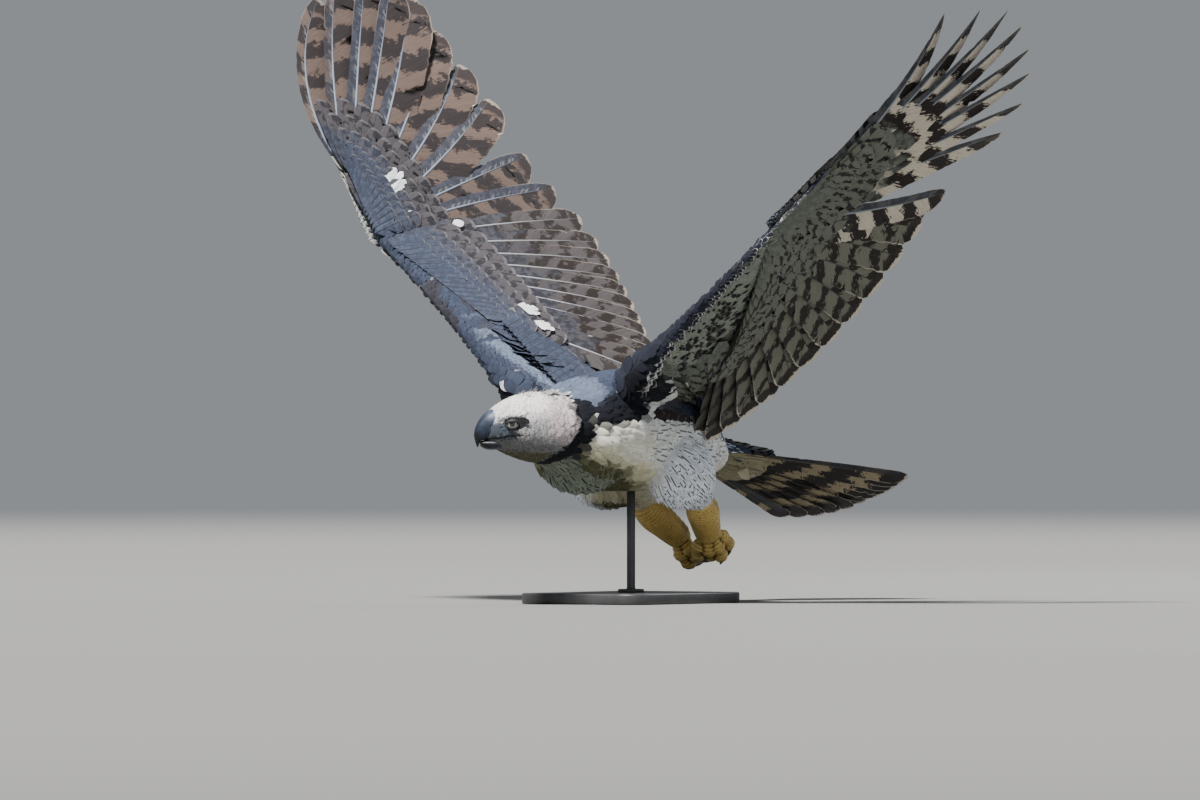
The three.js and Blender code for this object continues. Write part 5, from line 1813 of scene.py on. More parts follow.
class Coat:
    """The small feathers: how they lie, how large they are and how they are coloured on the skin."""

    SLATE: Colour = (0.041, 0.052, 0.084)
    # Slate darkened as painted shade: the left wing's slate and the dark band along each lining.
    SLATE_IN_PAINTED_SHADE: Colour = (0.020, 0.023, 0.036)
    # Slate made brighter and bluer by a painted sky reflection.
    SCAPULAR_WITH_PAINTED_REFLECTION: Colour = (0.150, 0.185, 0.265)
    BLACK: Colour = (0.007, 0.008, 0.012)
    # Cream, dimmed and tinted olive as painted shade.
    CREAM_IN_PAINTED_SHADE: Colour = (0.56, 0.53, 0.37)
    # Painted olive shade, standing for the shadow under the breast.
    OLIVE_PAINTED_SHADE: Colour = (0.060, 0.062, 0.026)
    WHITE: Colour = (0.72, 0.74, 0.73)
    BRONZE: Colour = (0.030, 0.024, 0.022)
    UMBER: Colour = (0.028, 0.023, 0.021)
    DUSK: Colour = (0.036, 0.030, 0.033)
    UNDERTAIL: Colour = (0.66, 0.62, 0.48)
    # The crown's own pale grey, lightened further by painted light from above.
    CROWN_WITH_PAINTED_LIGHT: Colour = (0.74, 0.72, 0.71)
    NAPE: Colour = (0.50, 0.44, 0.44)
    CHEEK: Colour = (0.37, 0.36, 0.375)
    # Grey cheek, darkened as painted shade for the lower face.
    JAW_PAINTED_SHADE: Colour = (0.15, 0.15, 0.152)
    # Painted shade under the head, tinted olive by a painted reflection.
    CHIN_PAINTED_SHADE: Colour = (0.060, 0.056, 0.030)
    LORES: Colour = (0.075, 0.09, 0.112)
    # Near-black painted shade, under the brows and in the mouth's crease.
    PAINTED_SHADE_BLACK: Colour = (0.020, 0.020, 0.022)
    # The underwing lining, darkened and tinted grey-green as painted shade.
    LINING_IN_PAINTED_SHADE: Colour = (0.19, 0.21, 0.175)
    SHOULDER: Colour = (0.105, 0.130, 0.190)
    # The barred white belly, darkened and tinted as painted shade.
    BELLY_IN_PAINTED_SHADE: Colour = (0.15, 0.175, 0.14)
    BREAST: Colour = (0.74, 0.73, 0.63)
    THIGH: Colour = (0.82, 0.87, 0.95)

    def __init__(self, body: Body, skin: Object) -> None:
        """Works out the skin's points, normals, shares of each region and places on the wings.

        Args:
            body: the bird's flesh.
            skin: the skin made of it.
        """
        self.body = body
        self.skin = skin
        mesh = skin.data
        self.points = (array_of(mesh.vertices, "co", 3) - BIRD_AT) / MM
        self.normals = array_of(mesh.vertices, "normal", 3)
        depth = {r: 3.0 for r in Region}
        self.weights = self.shares(body.parts(depth))
        self.region = self.weights.argmax(1)
        self.head = body.skull.local(self.points)
        self.wings = {side: WingPlaces(self, side) for side in Side}

    def shares(self, parts: dict[Region, Shape]) -> Array:
        """How much each point belongs to each region, by how near its own surface is."""
        gaps = np.zeros((len(self.points), len(Region)))
        for region, shape in parts.items():
            faces = [tuple(f) for f in shape.tris.tolist()] + [tuple(f) for f in shape.quads.tolist()]
            tree = BVHTree.FromPolygons([tuple(p) for p in shape.points.tolist()], faces)
            gaps[:, region.value] = [tree.find_nearest(Vector(p))[3] for p in self.points]
        near = np.exp(-((gaps / 7.0) ** 2)) + 1e-9 / (1 + gaps)
        return near / near.sum(1, keepdims=True)

    def weight(self, *regions: Region) -> Array:
        """The share of some regions at each point."""
        return sum(self.weights[:, r.value] for r in regions)

    def lie(self) -> Array:
        """Which way the feathers lie, from head to tail and from bone to edge."""
        p, body = self.points, self.body
        skull = body.skull
        ways = np.zeros((len(Region), len(p), 3))
        ways[Region.TRUNK.value] = unit(vec(0, 1, -0.06))
        axis = unit(np.array(body.neck.at[0], float) - np.array(body.neck.at[-1], float))
        ways[Region.NECK.value] = axis + vec(0, 0.1, -0.05)
        ways[Region.HEAD.value] = unit(p - skull.at(92, 0, -6))
        for side in Side:
            near = self.weights[:, side.wing.value] > 0.02
            ways[side.wing.value][near] = body.wings[side].lie(p[near] * side.flip) * side.flip
            line = body.limbs[side].axis() * side.flip
            way = unit(line[1:] - line[:-1])
            middles = (line[1:] + line[:-1]) / 2
            near = np.exp(-(np.linalg.norm(p[:, None] - middles[None], axis=2) / 45) ** 2) + 1e-9
            ways[side.thigh.value] = unit((near / near.sum(1, keepdims=True)) @ way)
        ways[Region.TAIL.value] = body.tail.axes()[0]
        mixed = np.einsum("nr,rni->ni", self.weights, ways)
        flat = mixed - self.normals * dots(mixed, self.normals)[:, None]
        return unit(flat)

    def sizes(self) -> Array:
        """Width, length and arch of a feather at each point, in metres."""
        table = {
            Region.TRUNK: (17, 33), Region.NECK: (14, 25), Region.HEAD: (7.5, 11.0), Region.TAIL: (22, 44),
            Region.THIGH_LEFT: (11, 31), Region.THIGH_RIGHT: (11, 31),
        }
        size = np.zeros((len(self.points), 2))
        for region, (wide, long) in table.items():
            size += self.weights[:, region.value][:, None] * np.array([wide, long], float)
        for w in self.wings.values():
            long = 13 + 20 * rise(0.12, 0.9, w.chord) * (1 - rise(4, 7.5, w.station))
            long = long + 16 * (1 - rise(0.8, 2.4, w.station))
            long = long + 8 * (w.facing < 0) * rise(0.1, 0.3, w.chord)
            size += w.weight[:, None] * np.stack([long * 0.66, long], 1)
        forward, _, up = self.head.T
        head = self.weight(Region.HEAD)
        size *= (1 - 0.42 * head * rise(15, 60, forward))[:, None]
        size *= (1 + 1.15 * head * (1 - rise(-46, 0, forward)) * rise(-30, -5, up))[:, None]
        return np.column_stack([size, size[:, 1] * 0.5]) * MM

    def colours(self) -> tuple[Array, Array]:
        """The tint at each point, and its marks: bars, a pale or dark fringe, and dark or pale spots."""
        x, y, z = self.points.T
        tint = np.zeros((len(x), 3))
        marks = np.zeros((len(x), 3))

        def lay(share: Array, colour: Colour, bars: float = 0, fringe: float = 0, spots: float = 0) -> None:
            """Lays a colour with its marks over what is there.

            Args:
                share: how much of it lies at each point.
                colour: the colour.
                bars: how strong its bars are.
                fringe: above 0 for a pale edge and below for a dark one.
                spots: above 0 for pale spots and below for dark ones.
            """
            nonlocal tint, marks
            s = np.clip(share, 0, 1)[:, None]
            tint = tint * (1 - s) + np.array(colour) * s
            marks = marks * (1 - s) + np.array([bars, fringe, spots]) * s

        ripple = 3 * np.sin(z / 7 + x / 11) + 2 * np.sin(z / 3.1 - x / 5)
        # Cream with painted olive shade, laid under everything that follows.
        lay(np.ones(len(x)), self.CREAM_IN_PAINTED_SHADE, 0, 0.15)
        lay(rise(-34, -20, z + 0.30 * (y + 215) + ripple), self.BREAST, 0, 0.1)
        # Painted olive shade below the breast.
        lay(1 - rise(-72, -48, z + 0.30 * (y + 170) + ripple), self.OLIVE_PAINTED_SHADE, 0, 0.12)
        # The lowest belly, barred, in painted shade.
        lay(1 - rise(-96, -88, z + 0.55 * (y + 170) + ripple), self.BELLY_IN_PAINTED_SHADE, 1.0, 0.1)
        lay(rise(-62, -46, z + ripple) * rise(-142, -126, y), self.WHITE, 0.7, 0.1)
        lay(rise(10, 16, z + ripple) * rise(-262, -250, y), self.BLACK, 0, 0, -0.02)
        lay(rise(-8, 4, z + ripple) * (1 - rise(6, 12, np.abs(y + 170 - 1.1 * z + ripple))), self.WHITE)
        lay(rise(10, 18, z + ripple) * rise(-158, -148, y - 1.1 * z), self.BRONZE, 0, 0.1)
        lay(rise(58, 68, z + 0.30 * np.maximum(0, y + 150) + ripple), self.SLATE, 0, -0.3)
        lay(self.weight(Region.TAIL) * rise(-40, -24, z), self.SLATE, 0, 0.3, 0.2)
        lay(self.weight(Region.TAIL) * (1 - rise(-52, -40, z)), self.UNDERTAIL, 0, 0.2)
        lay(self.weight(Region.THIGH_LEFT) * rise(-96, -66, y), self.THIGH, 1.0)
        # On the far thigh only the outer side gets the thigh's white; its inner side keeps the painted shade
        # laid below the body.
        lay(self.weight(Region.THIGH_RIGHT) * rise(-96, -66, y) * rise(50, 90, -x), self.THIGH, 1.0)
        edge = -252 - 0.5 * np.maximum(0, -20 - z) - 1.8 * np.maximum(0, -35 - z)
        lay(1 - rise(-4, 4, y - edge + ripple), self.BLACK)
        high = rise(30, 38, z - 1.1 * np.abs(y + 240) + ripple)
        lay(high * (1 - rise(-196, -186, y + ripple)), self.SHOULDER, 0, -0.3)
        self.lay_head(lay)
        for side in Side:
            self.lay_wing(lay, side)
        return np.clip(tint, 0, 1), marks

    def lay_head(self, lay: Callable[..., None]) -> None:
        """The head's colours: a pale crown lightened by painted light from above, a pinkish nape, grey
        cheeks that darken below into painted shade, a chin in painted olive shade, and painted shade under
        the brows and along the mouth.
        """
        f, left, up = self.head.T
        scallop = 2.5 * np.sin(up / 5.0) + 1.5 * np.sin(up / 2.1)
        rear = -42 - 4 * (np.maximum(0, up) / 50) ** 2 + 50 * (np.maximum(0, -up) / 55) ** 3
        pale = rise(-3, 3, f - rear + scallop) * self.weight(Region.HEAD)
        lay(pale, self.CHEEK, 0, -0.25)
        # The lower cheeks darken into painted shade.
        lay(pale * (1 - rise(-32, -8, up + scallop - 0.25 * f)), self.JAW_PAINTED_SHADE, 0, -0.2)
        # A pale crown, partly its own colour and partly painted light from above.
        lay(pale * rise(10, 24, up + scallop), self.CROWN_WITH_PAINTED_LIGHT, 0, -0.30)
        lay(pale * (1 - rise(24, 40, f - rear + scallop)) * rise(-30, -6, up), self.NAPE, 0, -0.35)
        lay(pale * (1 - rise(3, 9, f - rear + scallop)) * rise(-36, -20, up), self.NAPE, 0, -0.85)
        # Painted shade with an olive reflection under the chin.
        lay(pale * (1 - rise(-6, 6, up + 29 + 0.17 * (70 - f) + scallop)), self.CHIN_PAINTED_SHADE, 0, 0.1)
        for side in (1, -1):
            own = pale * (left * side > 4)
            lores = 1 - rise(0.8, 1.1, np.hypot((f - 60) / 20, (up + 2 - 0.2 * (f - 60)) / 14))
            lay(own * lores, self.LORES)
            # Painted shade along the crease of the mouth.
            gape = 1 - rise(1.6, 3.2, np.abs(up + 12.5 - 0.10 * (62 - f)))
            lay(own * gape * rise(26, 34, f), self.PAINTED_SHADE_BLACK)
            # Painted shade in an almond round the eye, under the brow.
            almond = 1 - rise(0.85, 1.1, np.hypot((f - 40) / 18.5, (up - 10.5 - 0.05 * (f - 40)) / 12))
            lay(own * almond, self.PAINTED_SHADE_BLACK)

    def lay_wing(self, lay: Callable[..., None], side: Side) -> None:
        """A wing's colours: slate over it, laid darker on the left wing as painted shade and brighter and
        bluer on the scapulars as a painted sky reflection, a lining under it darkened as painted shade, and
        a dark edge by the body.

        Args:
            lay: lays a colour with its marks over a share of the skin.
            side: which wing.
        """
        w = self.wings[side]
        x, y, z = self.points.T
        ripple = 0.03 * np.sin(w.station * 17) + 0.02 * np.sin(w.station * 41 + 1)
        out = w.weight * rise(0.6, 1.2, w.station)
        # The left wing's slate is laid darker than the right's, as painted shade.
        lay(out, self.SLATE_IN_PAINTED_SHADE if side is Side.LEFT else self.SLATE, 0, -0.55, -0.010)
        patch = np.sin(x / 21 + 1.4 * np.sin(z / 16)) * np.sin(y / 14 + x / 37)
        lay(out * 0.7 * rise(0.25, 0.55, patch), self.DUSK, 0, 0.10)
        # Painted sky reflection: the scapulars' slate is laid brighter and bluer here.
        scapular = w.weight * (w.facing > 0) * (1 - rise(2.1, 2.7, w.station + 8 * ripple))
        lay(scapular * rise(0.06, 0.2, w.chord), self.SCAPULAR_WITH_PAINTED_REFLECTION, 0, -0.40)
        lower = w.weight * (w.facing < -0.02 - 0.5 * rise(0.6, 0.9, w.chord)) * rise(0.7, 1.2, w.station)
        band = 0.08 + 0.5 * rise(5.5, 8, w.station) + 0.3 * ripple
        # The lining in painted shade.
        lay(lower * (w.chord > band), self.LINING_IN_PAINTED_SHADE, 0, 0.1, 0.10)
        # Spotted inner lining, in the same painted shade.
        inner = lower * (w.chord > band + 0.08) * (1 - rise(3.0, 3.8, w.station))
        lay(inner, self.LINING_IN_PAINTED_SHADE, 0.2, 0.1, 0.62)
        root = w.weight * (w.facing < 0.1) * (1 - rise(1.3, 2.0, w.station + 4 * ripple))
        slant = y + 170 - 1.1 * z
        lay(root * (1 - rise(-14, -4, slant)), self.BLACK, 0, 0.0, -0.08)
        lay(root * rise(10, 18, slant), self.BRONZE, 0, 0.1)
        lay(root * (1 - rise(9, 14, np.abs(slant))) * rise(0.3, 0.4, -w.facing), self.WHITE, 0, 0.1)
        slot = w.weight * (w.facing < 0.35) * rise(0.55, 0.7, w.chord) * (1 - rise(2.3, 2.9, w.station))
        lay(slot, self.UMBER, 0, 0.1)
        # A dark band with pale flecks along the lining's edge, in slate darkened as painted shade.
        fringe = lower * (np.abs(w.chord - band) < 0.035)
        lay(fringe, self.SLATE_IN_PAINTED_SHADE, 0, 0.75, -0.03)

    def dress(self) -> None:
        """Stores on the skin what its feathers read, with a map of the skin's own shape."""
        mesh = self.skin.data
        unwrap(self.skin)
        tint, marks = self.colours()
        add_value(mesh, "lie", self.lie())
        add_value(mesh, "reach", self.sizes())
        add_value(mesh, "tint", np.column_stack([tint, np.ones(len(tint))]))
        add_value(mesh, "marks", marks)
        for name, mask in self.masks().items():
            add_value(mesh, name, mask)

    def masks(self) -> dict[str, Array]:
        """Where each piece of the coat grows."""
        p, r = self.points, self.region
        skull = self.body.skull
        bare = self.head[:, 0] > skull.bill_from
        for side in (1, -1):
            bare |= np.linalg.norm(p - skull.look(side)[0], axis=1) < skull.socket
        rest = np.isin(r, [Region.TRUNK.value, Region.NECK.value, Region.TAIL.value])
        found = {
            "grow_head": (r == Region.HEAD.value) & ~bare,
            "grow_upper": rest & (p[:, 2] > 5),
            "grow_lower": rest & (p[:, 2] <= 5),
            "grow_thighs": np.isin(r, [Region.THIGH_LEFT.value, Region.THIGH_RIGHT.value]),
        }
        for side, w in self.wings.items():
            fine = (w.chord < 0.42) | (w.station > 5.2)
            most = np.where(w.station < 3.0, 0.35, 0.72)
            rim = (w.chord > 0.70) & (w.facing > -0.72) & (w.facing < most) & (w.station > 0.9)
            rim |= (w.chord > 0.78) & (w.facing < 0) & (w.station > 4.0)
            own = (r == side.wing.value) & ~rim
            found[f"grow_edge_{side.value}"] = own & fine
            found[f"grow_wing_{side.value}"] = own & ~fine
        return {name: mask.astype(float) for name, mask in found.items()}


def unwrap(obj: Object) -> None:
    """Lays the skin's own shape out on the bake's map."""
    obj.data.uv_layers.new(name="OFBake")
    bpy.ops.object.select_all(action="DESELECT")
    obj.select_set(True)
    bpy.context.view_layer.objects.active = obj
    bpy.ops.object.mode_set(mode="EDIT")
    bpy.ops.mesh.select_all(action="SELECT")
    bpy.ops.uv.smart_project(angle_limit=1.15, island_margin=0.004, scale_to_bounds=True)
    bpy.ops.object.mode_set(mode="OBJECT")


@dataclass(frozen=True)
class Plume:
    """The shape of a small feather, one unit long and one wide."""

    name: str
    cols: int = 4
    rows: int = 5
    arch: float = 0.16
    cup: float = 0.10
    jag: float = 0.05
    thick: float = 0.03

    def shape(self) -> Shape:
        """A closed blade of two faces that meet at its edges."""
        t = np.linspace(0, 1, self.rows + 1)
        v = 0.5 * t + 0.5 * np.sin(t * np.pi / 2)
        u = np.linspace(-1, 1, self.cols + 1)
        wide = 0.5 * np.sqrt(np.clip(1 - ((v - 0.52) / 0.56) ** 2, 0.02, 1))
        wide[-1] = 0.30
        grid_u, grid_v = np.meshgrid(u, v)
        x = grid_u * wide[:, None]
        y = grid_v - 0.16 * grid_u**2 * grid_v**3
        y[-1, 1::2] -= self.jag
        z = self.arch * (grid_v * (1 - grid_v) * 2.2 - 0.30 * grid_v**2) - self.cup * grid_u**2 * 0.5
        half = self.thick * (1 - grid_u**2) * (1 - grid_v) ** 0.5
        over, under = (np.stack([x, y, z + way * half], -1) for way in (1, -1))
        vane = np.stack([grid_u, grid_v, np.zeros_like(grid_u)], -1)
        return two_faced(over, under, {"vane": vane}, turned=True)

    def model(self) -> Object:
        """The shape as an object at the origin, in units."""
        shape = self.shape()
        shape = replace(shape, points=(shape.points - BIRD_AT) / MM)
        return make_object(self.name, shape)


class PlumageTree(NodeGraph):
    """Geometry nodes that set one feather on each of many places of the skin."""

    INPUTS = (
        ("Feather", "NodeSocketObject"), ("Spacing", "NodeSocketFloat"), ("Density", "NodeSocketFloat"),
        ("Lift", "NodeSocketFloat"), ("Stray", "NodeSocketFloat"), ("Seed", "NodeSocketInt"),
        ("Finish", "NodeSocketMaterial"), ("Mask", "NodeSocketString"),
    )

    def __init__(self) -> None:
        """Builds the tree."""
        super().__init__(bpy.data.node_groups.new("plumage", "GeometryNodeTree"))
        face = self.tree.interface
        face.new_socket(name="Geometry", in_out="INPUT", socket_type="NodeSocketGeometry")
        self.names = {}
        for name, kind in self.INPUTS:
            self.names[name] = face.new_socket(name=name, in_out="INPUT", socket_type=kind).identifier
        face.new_socket(name="Geometry", in_out="OUTPUT", socket_type="NodeSocketGeometry")
        self.build()

    def named(self, name: Any, kind: str) -> Socket:
        """A value that the skin carries."""
        node = self.node("GeometryNodeInputNamedAttribute", {"Name": name}, data_type=kind)
        return next(s for s in node.outputs if s.enabled and s.name == "Attribute")

    def vector(self, operation: str, a: Any, b: Any = None, scale: Any = None) -> Socket:
        """One operation on vectors.

        Args:
            operation: which operation.
            a: the first vector.
            b: the second vector.
            scale: a factor.

        Returns:
            The result's socket.
        """
        inputs = {0: a}
        if b is not None:
            inputs[1] = b
        if scale is not None:
            inputs["Scale"] = scale
        node = self.node("ShaderNodeVectorMath", inputs, operation=operation)
        return node.outputs["Value" if operation in ("DOT_PRODUCT", "LENGTH") else "Vector"]

    def chance(self, low: float, high: float, seed: Any) -> Socket:
        """A random number for each place.

        Args:
            low: the smallest.
            high: the largest.
            seed: tells one draw from another.

        Returns:
            The number's socket.
        """
        node = self.node("FunctionNodeRandomValue", {"Seed": seed}, data_type="FLOAT")
        node.inputs[2].default_value, node.inputs[3].default_value = low, high
        return node.outputs[1]

    def build(self) -> None:
        """Strews the places, turns and sizes a feather on each, and makes them one mesh with its map."""
        source = self.node("NodeGroupInput").outputs
        seed = source["Seed"]
        strewn = self.node(
            "GeometryNodeDistributePointsOnFaces",
            {
                "Mesh": source["Geometry"], "Distance Min": source["Spacing"], "Seed": seed,
                "Density Max": source["Density"], "Density Factor": self.named(source["Mask"], "FLOAT"),
            },
            distribute_method="POISSON",
        )
        normal = strewn.outputs["Normal"]
        root_map = self.named("OFBake", "FLOAT_VECTOR")
        kept = self.keep(strewn.outputs["Points"], "root_map", root_map, "FLOAT_VECTOR")
        kept = self.node("GeometryNodeRemoveAttribute", {"Geometry": kept, "Name": "OFBake"}).outputs[0]
        kept = self.keep(kept, "luck", self.chance(0.0, 1.0, seed), "FLOAT")
        stray = self.node("FunctionNodeRandomValue", {"Seed": seed}, data_type="FLOAT_VECTOR")
        stray.inputs[0].default_value, stray.inputs[1].default_value = (-1, -1, -1), (1, 1, 1)
        away = self.vector("SCALE", stray.outputs[0], scale=source["Stray"])
        wish = self.vector("ADD", self.named("lie", "FLOAT_VECTOR"), away)
        off = self.vector("SCALE", normal, scale=self.vector("DOT_PRODUCT", wish, normal))
        flat = self.vector("NORMALIZE", self.vector("SUBTRACT", wish, off))
        lift = self.times(source["Lift"], self.chance(0.7, 1.3, 5))
        along = self.vector("ADD", flat, self.vector("SCALE", normal, scale=lift))
        upward = self.vector("ADD", normal, self.vector("SCALE", flat, scale=self.times(lift, -1.0)))
        turn = self.node(
            "FunctionNodeAxesToRotation", {"Primary Axis": along, "Secondary Axis": upward},
            primary_axis="Y", secondary_axis="Z",
        )
        reach = self.vector("SCALE", self.named("reach", "FLOAT_VECTOR"), scale=self.chance(0.85, 1.15, 9))
        feather = self.node(
            "GeometryNodeObjectInfo", {"Object": source["Feather"]}, transform_space="ORIGINAL"
        ).outputs["Geometry"]
        placed = self.node(
            "GeometryNodeInstanceOnPoints",
            {"Points": kept, "Instance": feather, "Rotation": turn.outputs[0], "Scale": reach},
        )
        whole = self.node("GeometryNodeRealizeInstances", {"Geometry": placed.outputs[0]}).outputs[0]
        own = self.vector("MULTIPLY", self.named("vane", "FLOAT_VECTOR"), (0.0015, 0.003, 0.0))
        spot = self.vector("ADD", self.named("root_map", "FLOAT_VECTOR"), own)
        mapped = self.keep(whole, "OFBake", spot, "FLOAT2", "CORNER")
        for name in ("root_map", "lie", "reach"):
            mapped = self.node("GeometryNodeRemoveAttribute", {"Geometry": mapped, "Name": name}).outputs[0]
        dressed = self.node("GeometryNodeSetMaterial", {"Geometry": mapped, "Material": source["Finish"]})
        self.node("NodeGroupOutput", {"Geometry": dressed.outputs[0]})

    def keep(self, geometry: Any, name: str, value: Any, kind: str, domain: str = "POINT") -> Socket:
        """Stores a value on a geometry under a name.

        Args:
            geometry: the geometry's socket.
            name: the name.
            value: the value's socket.
            kind: the value's kind.
            domain: what carries it: the points or the faces' corners.

        Returns:
            The geometry with the value.
        """
        inputs = {"Geometry": geometry, "Name": name}
        node = self.node("GeometryNodeStoreNamedAttribute", inputs, data_type=kind, domain=domain)
        socket = next(s for s in node.inputs if s.enabled and s.name == "Value")
        self.tree.links.new(value, socket)
        return node.outputs[0]

    def grow(self, skin: Object, name: str, settings: dict[str, Any]) -> Object:
        """Grows one piece of the coat as a plain mesh.

        Args:
            skin: what it grows on, which is left alone.
            name: the piece's name.
            settings: values for the tree's inputs by their names.

        Returns:
            The piece.
        """
        host = bpy.data.objects.new(name + "_host", skin.data)
        bpy.context.scene.collection.objects.link(host)
        growth = host.modifiers.new("plumage", "NODES")
        growth.node_group = self.tree
        for key, value in settings.items():
            growth[self.names[key]] = value
        made = evaluated(host, name)
        LOG.info("%s: %d faces", name, len(made.data.polygons))
        return made


@dataclass(frozen=True)
class CoatPiece:
    """One piece of the coat: where it grows and how."""

    name: str
    mask: str
    slot: str
    spacing: float
    lift: float
    stray: float
    plume: Plume

    def settings(self, number: int, feather: Object, finish: Material) -> dict[str, Any]:
        """Values for the geometry nodes."""
        return {
            "Feather": feather, "Spacing": self.spacing * MM, "Density": 1.6 / (self.spacing * MM) ** 2,
            "Lift": self.lift, "Stray": self.stray, "Seed": SEED + number, "Finish": finish,
            "Mask": self.mask,
        }


SMALL = Plume("plume_small", cols=2, rows=3, arch=0.14, jag=0.0)
FLAT = Plume("plume_flat", cols=2, rows=4, arch=0.08, cup=0.08, jag=0.0, thick=0.02)
MEDIUM = Plume("plume_medium", cols=4, rows=4)
COAT_PIECES = (
    CoatPiece("coat_head", "grow_head", "head", 2.7, 0.17, 0.22, SMALL),
    CoatPiece("coat_back", "grow_upper", "collar", 7.0, 0.10, 0.12, MEDIUM),
    CoatPiece("coat_breast", "grow_lower", "breast", 6.5, 0.12, 0.20, MEDIUM),
    CoatPiece("coat_thighs", "grow_thighs", "thigh", 5.0, 0.10, 0.14, MEDIUM),
    CoatPiece("coat_edge_left", "grow_edge_left", "wing", 4.6, 0.08, 0.10, FLAT),
    CoatPiece("coat_wing_left", "grow_wing_left", "wing", 5.6, 0.06, 0.10, FLAT),
    CoatPiece("coat_edge_right", "grow_edge_right", "wing", 4.6, 0.08, 0.10, FLAT),
    CoatPiece("coat_wing_right", "grow_wing_right", "wing", 5.6, 0.06, 0.10, FLAT),
)
FLESH_NODES = ("torso", "neck", "head", "thigh_left", "thigh_right")


class Plumage:
    """The skin and all feathers on it."""

    def __init__(self, body: Body) -> None:
        """Takes the body."""
        self.body = body
        self.rng = np.random.default_rng(SEED)

    def build(self) -> None:
        """Builds the skin, the coat, the flight feathers and the tail."""
        skin = self.body.skin()
        coat = Coat(self.body, skin)
        coat.dress()
        finish = CoatFinish()
        tree = PlumageTree()
        down = finish.feathers()
        for number, piece in enumerate(COAT_PIECES):
            feather = piece.plume.model()
            made = tree.grow(skin, piece.name, piece.settings(number, feather, down))
            bpy.data.objects.remove(feather)
            settle(made, piece.slot)
        skin.data.materials.clear()
        skin.data.materials.append(finish.skin())
        settle(skin, "skin", *FLESH_NODES)
        bpy.data.node_groups.remove(tree.tree)
        self.flights()

    def flights(self) -> None:
        """Builds the flight feathers and coverts of both wings and the tail."""
        primary, secondary, over, under, rectrix, soft, crest, white = (f.material() for f in VANE_FINISHES)
        for side, wing in self.body.wings.items():
            nodes = [f"wing_{side.value}_{part}" for part in ("upper_arm", "forearm", "hand")]
            rows = {
                "primaries": (wing.primary_row(self.rng), primary, nodes[2:]),
                "secondaries": (wing.secondary_row(self.rng), secondary, nodes[:2]),
                "coverts_over": (wing.covert_rows(Face.OVER, self.rng) + wing.alula(self.rng), over, []),
                "coverts_under": (wing.covert_rows(Face.UNDER, self.rng), under, []),
            }
            for name, (vanes, finish, stands_for) in rows.items():
                made = vane_piece(f"{name}_{side.value}", map(side.own, vanes), finish)
                settle(made, "wing", *stands_for)
        tufts = self.body.wings[Side.RIGHT].tufts(self.rng)
        settle(vane_piece("white_tufts_right", map(Side.RIGHT.own, tufts), white), "wing")
        tail = self.body.tail
        settle(vane_piece("tail_feathers", tail.feathers(self.rng), rectrix), "tail", "tail")
        for face, finish in ((Face.OVER, over), (Face.UNDER, soft)):
            name = f"tail_coverts_{face.name.lower()}"
            settle(vane_piece(name, tail.coverts(face, self.rng), finish), "tail")
        Crest(self.body.skull).build(crest)


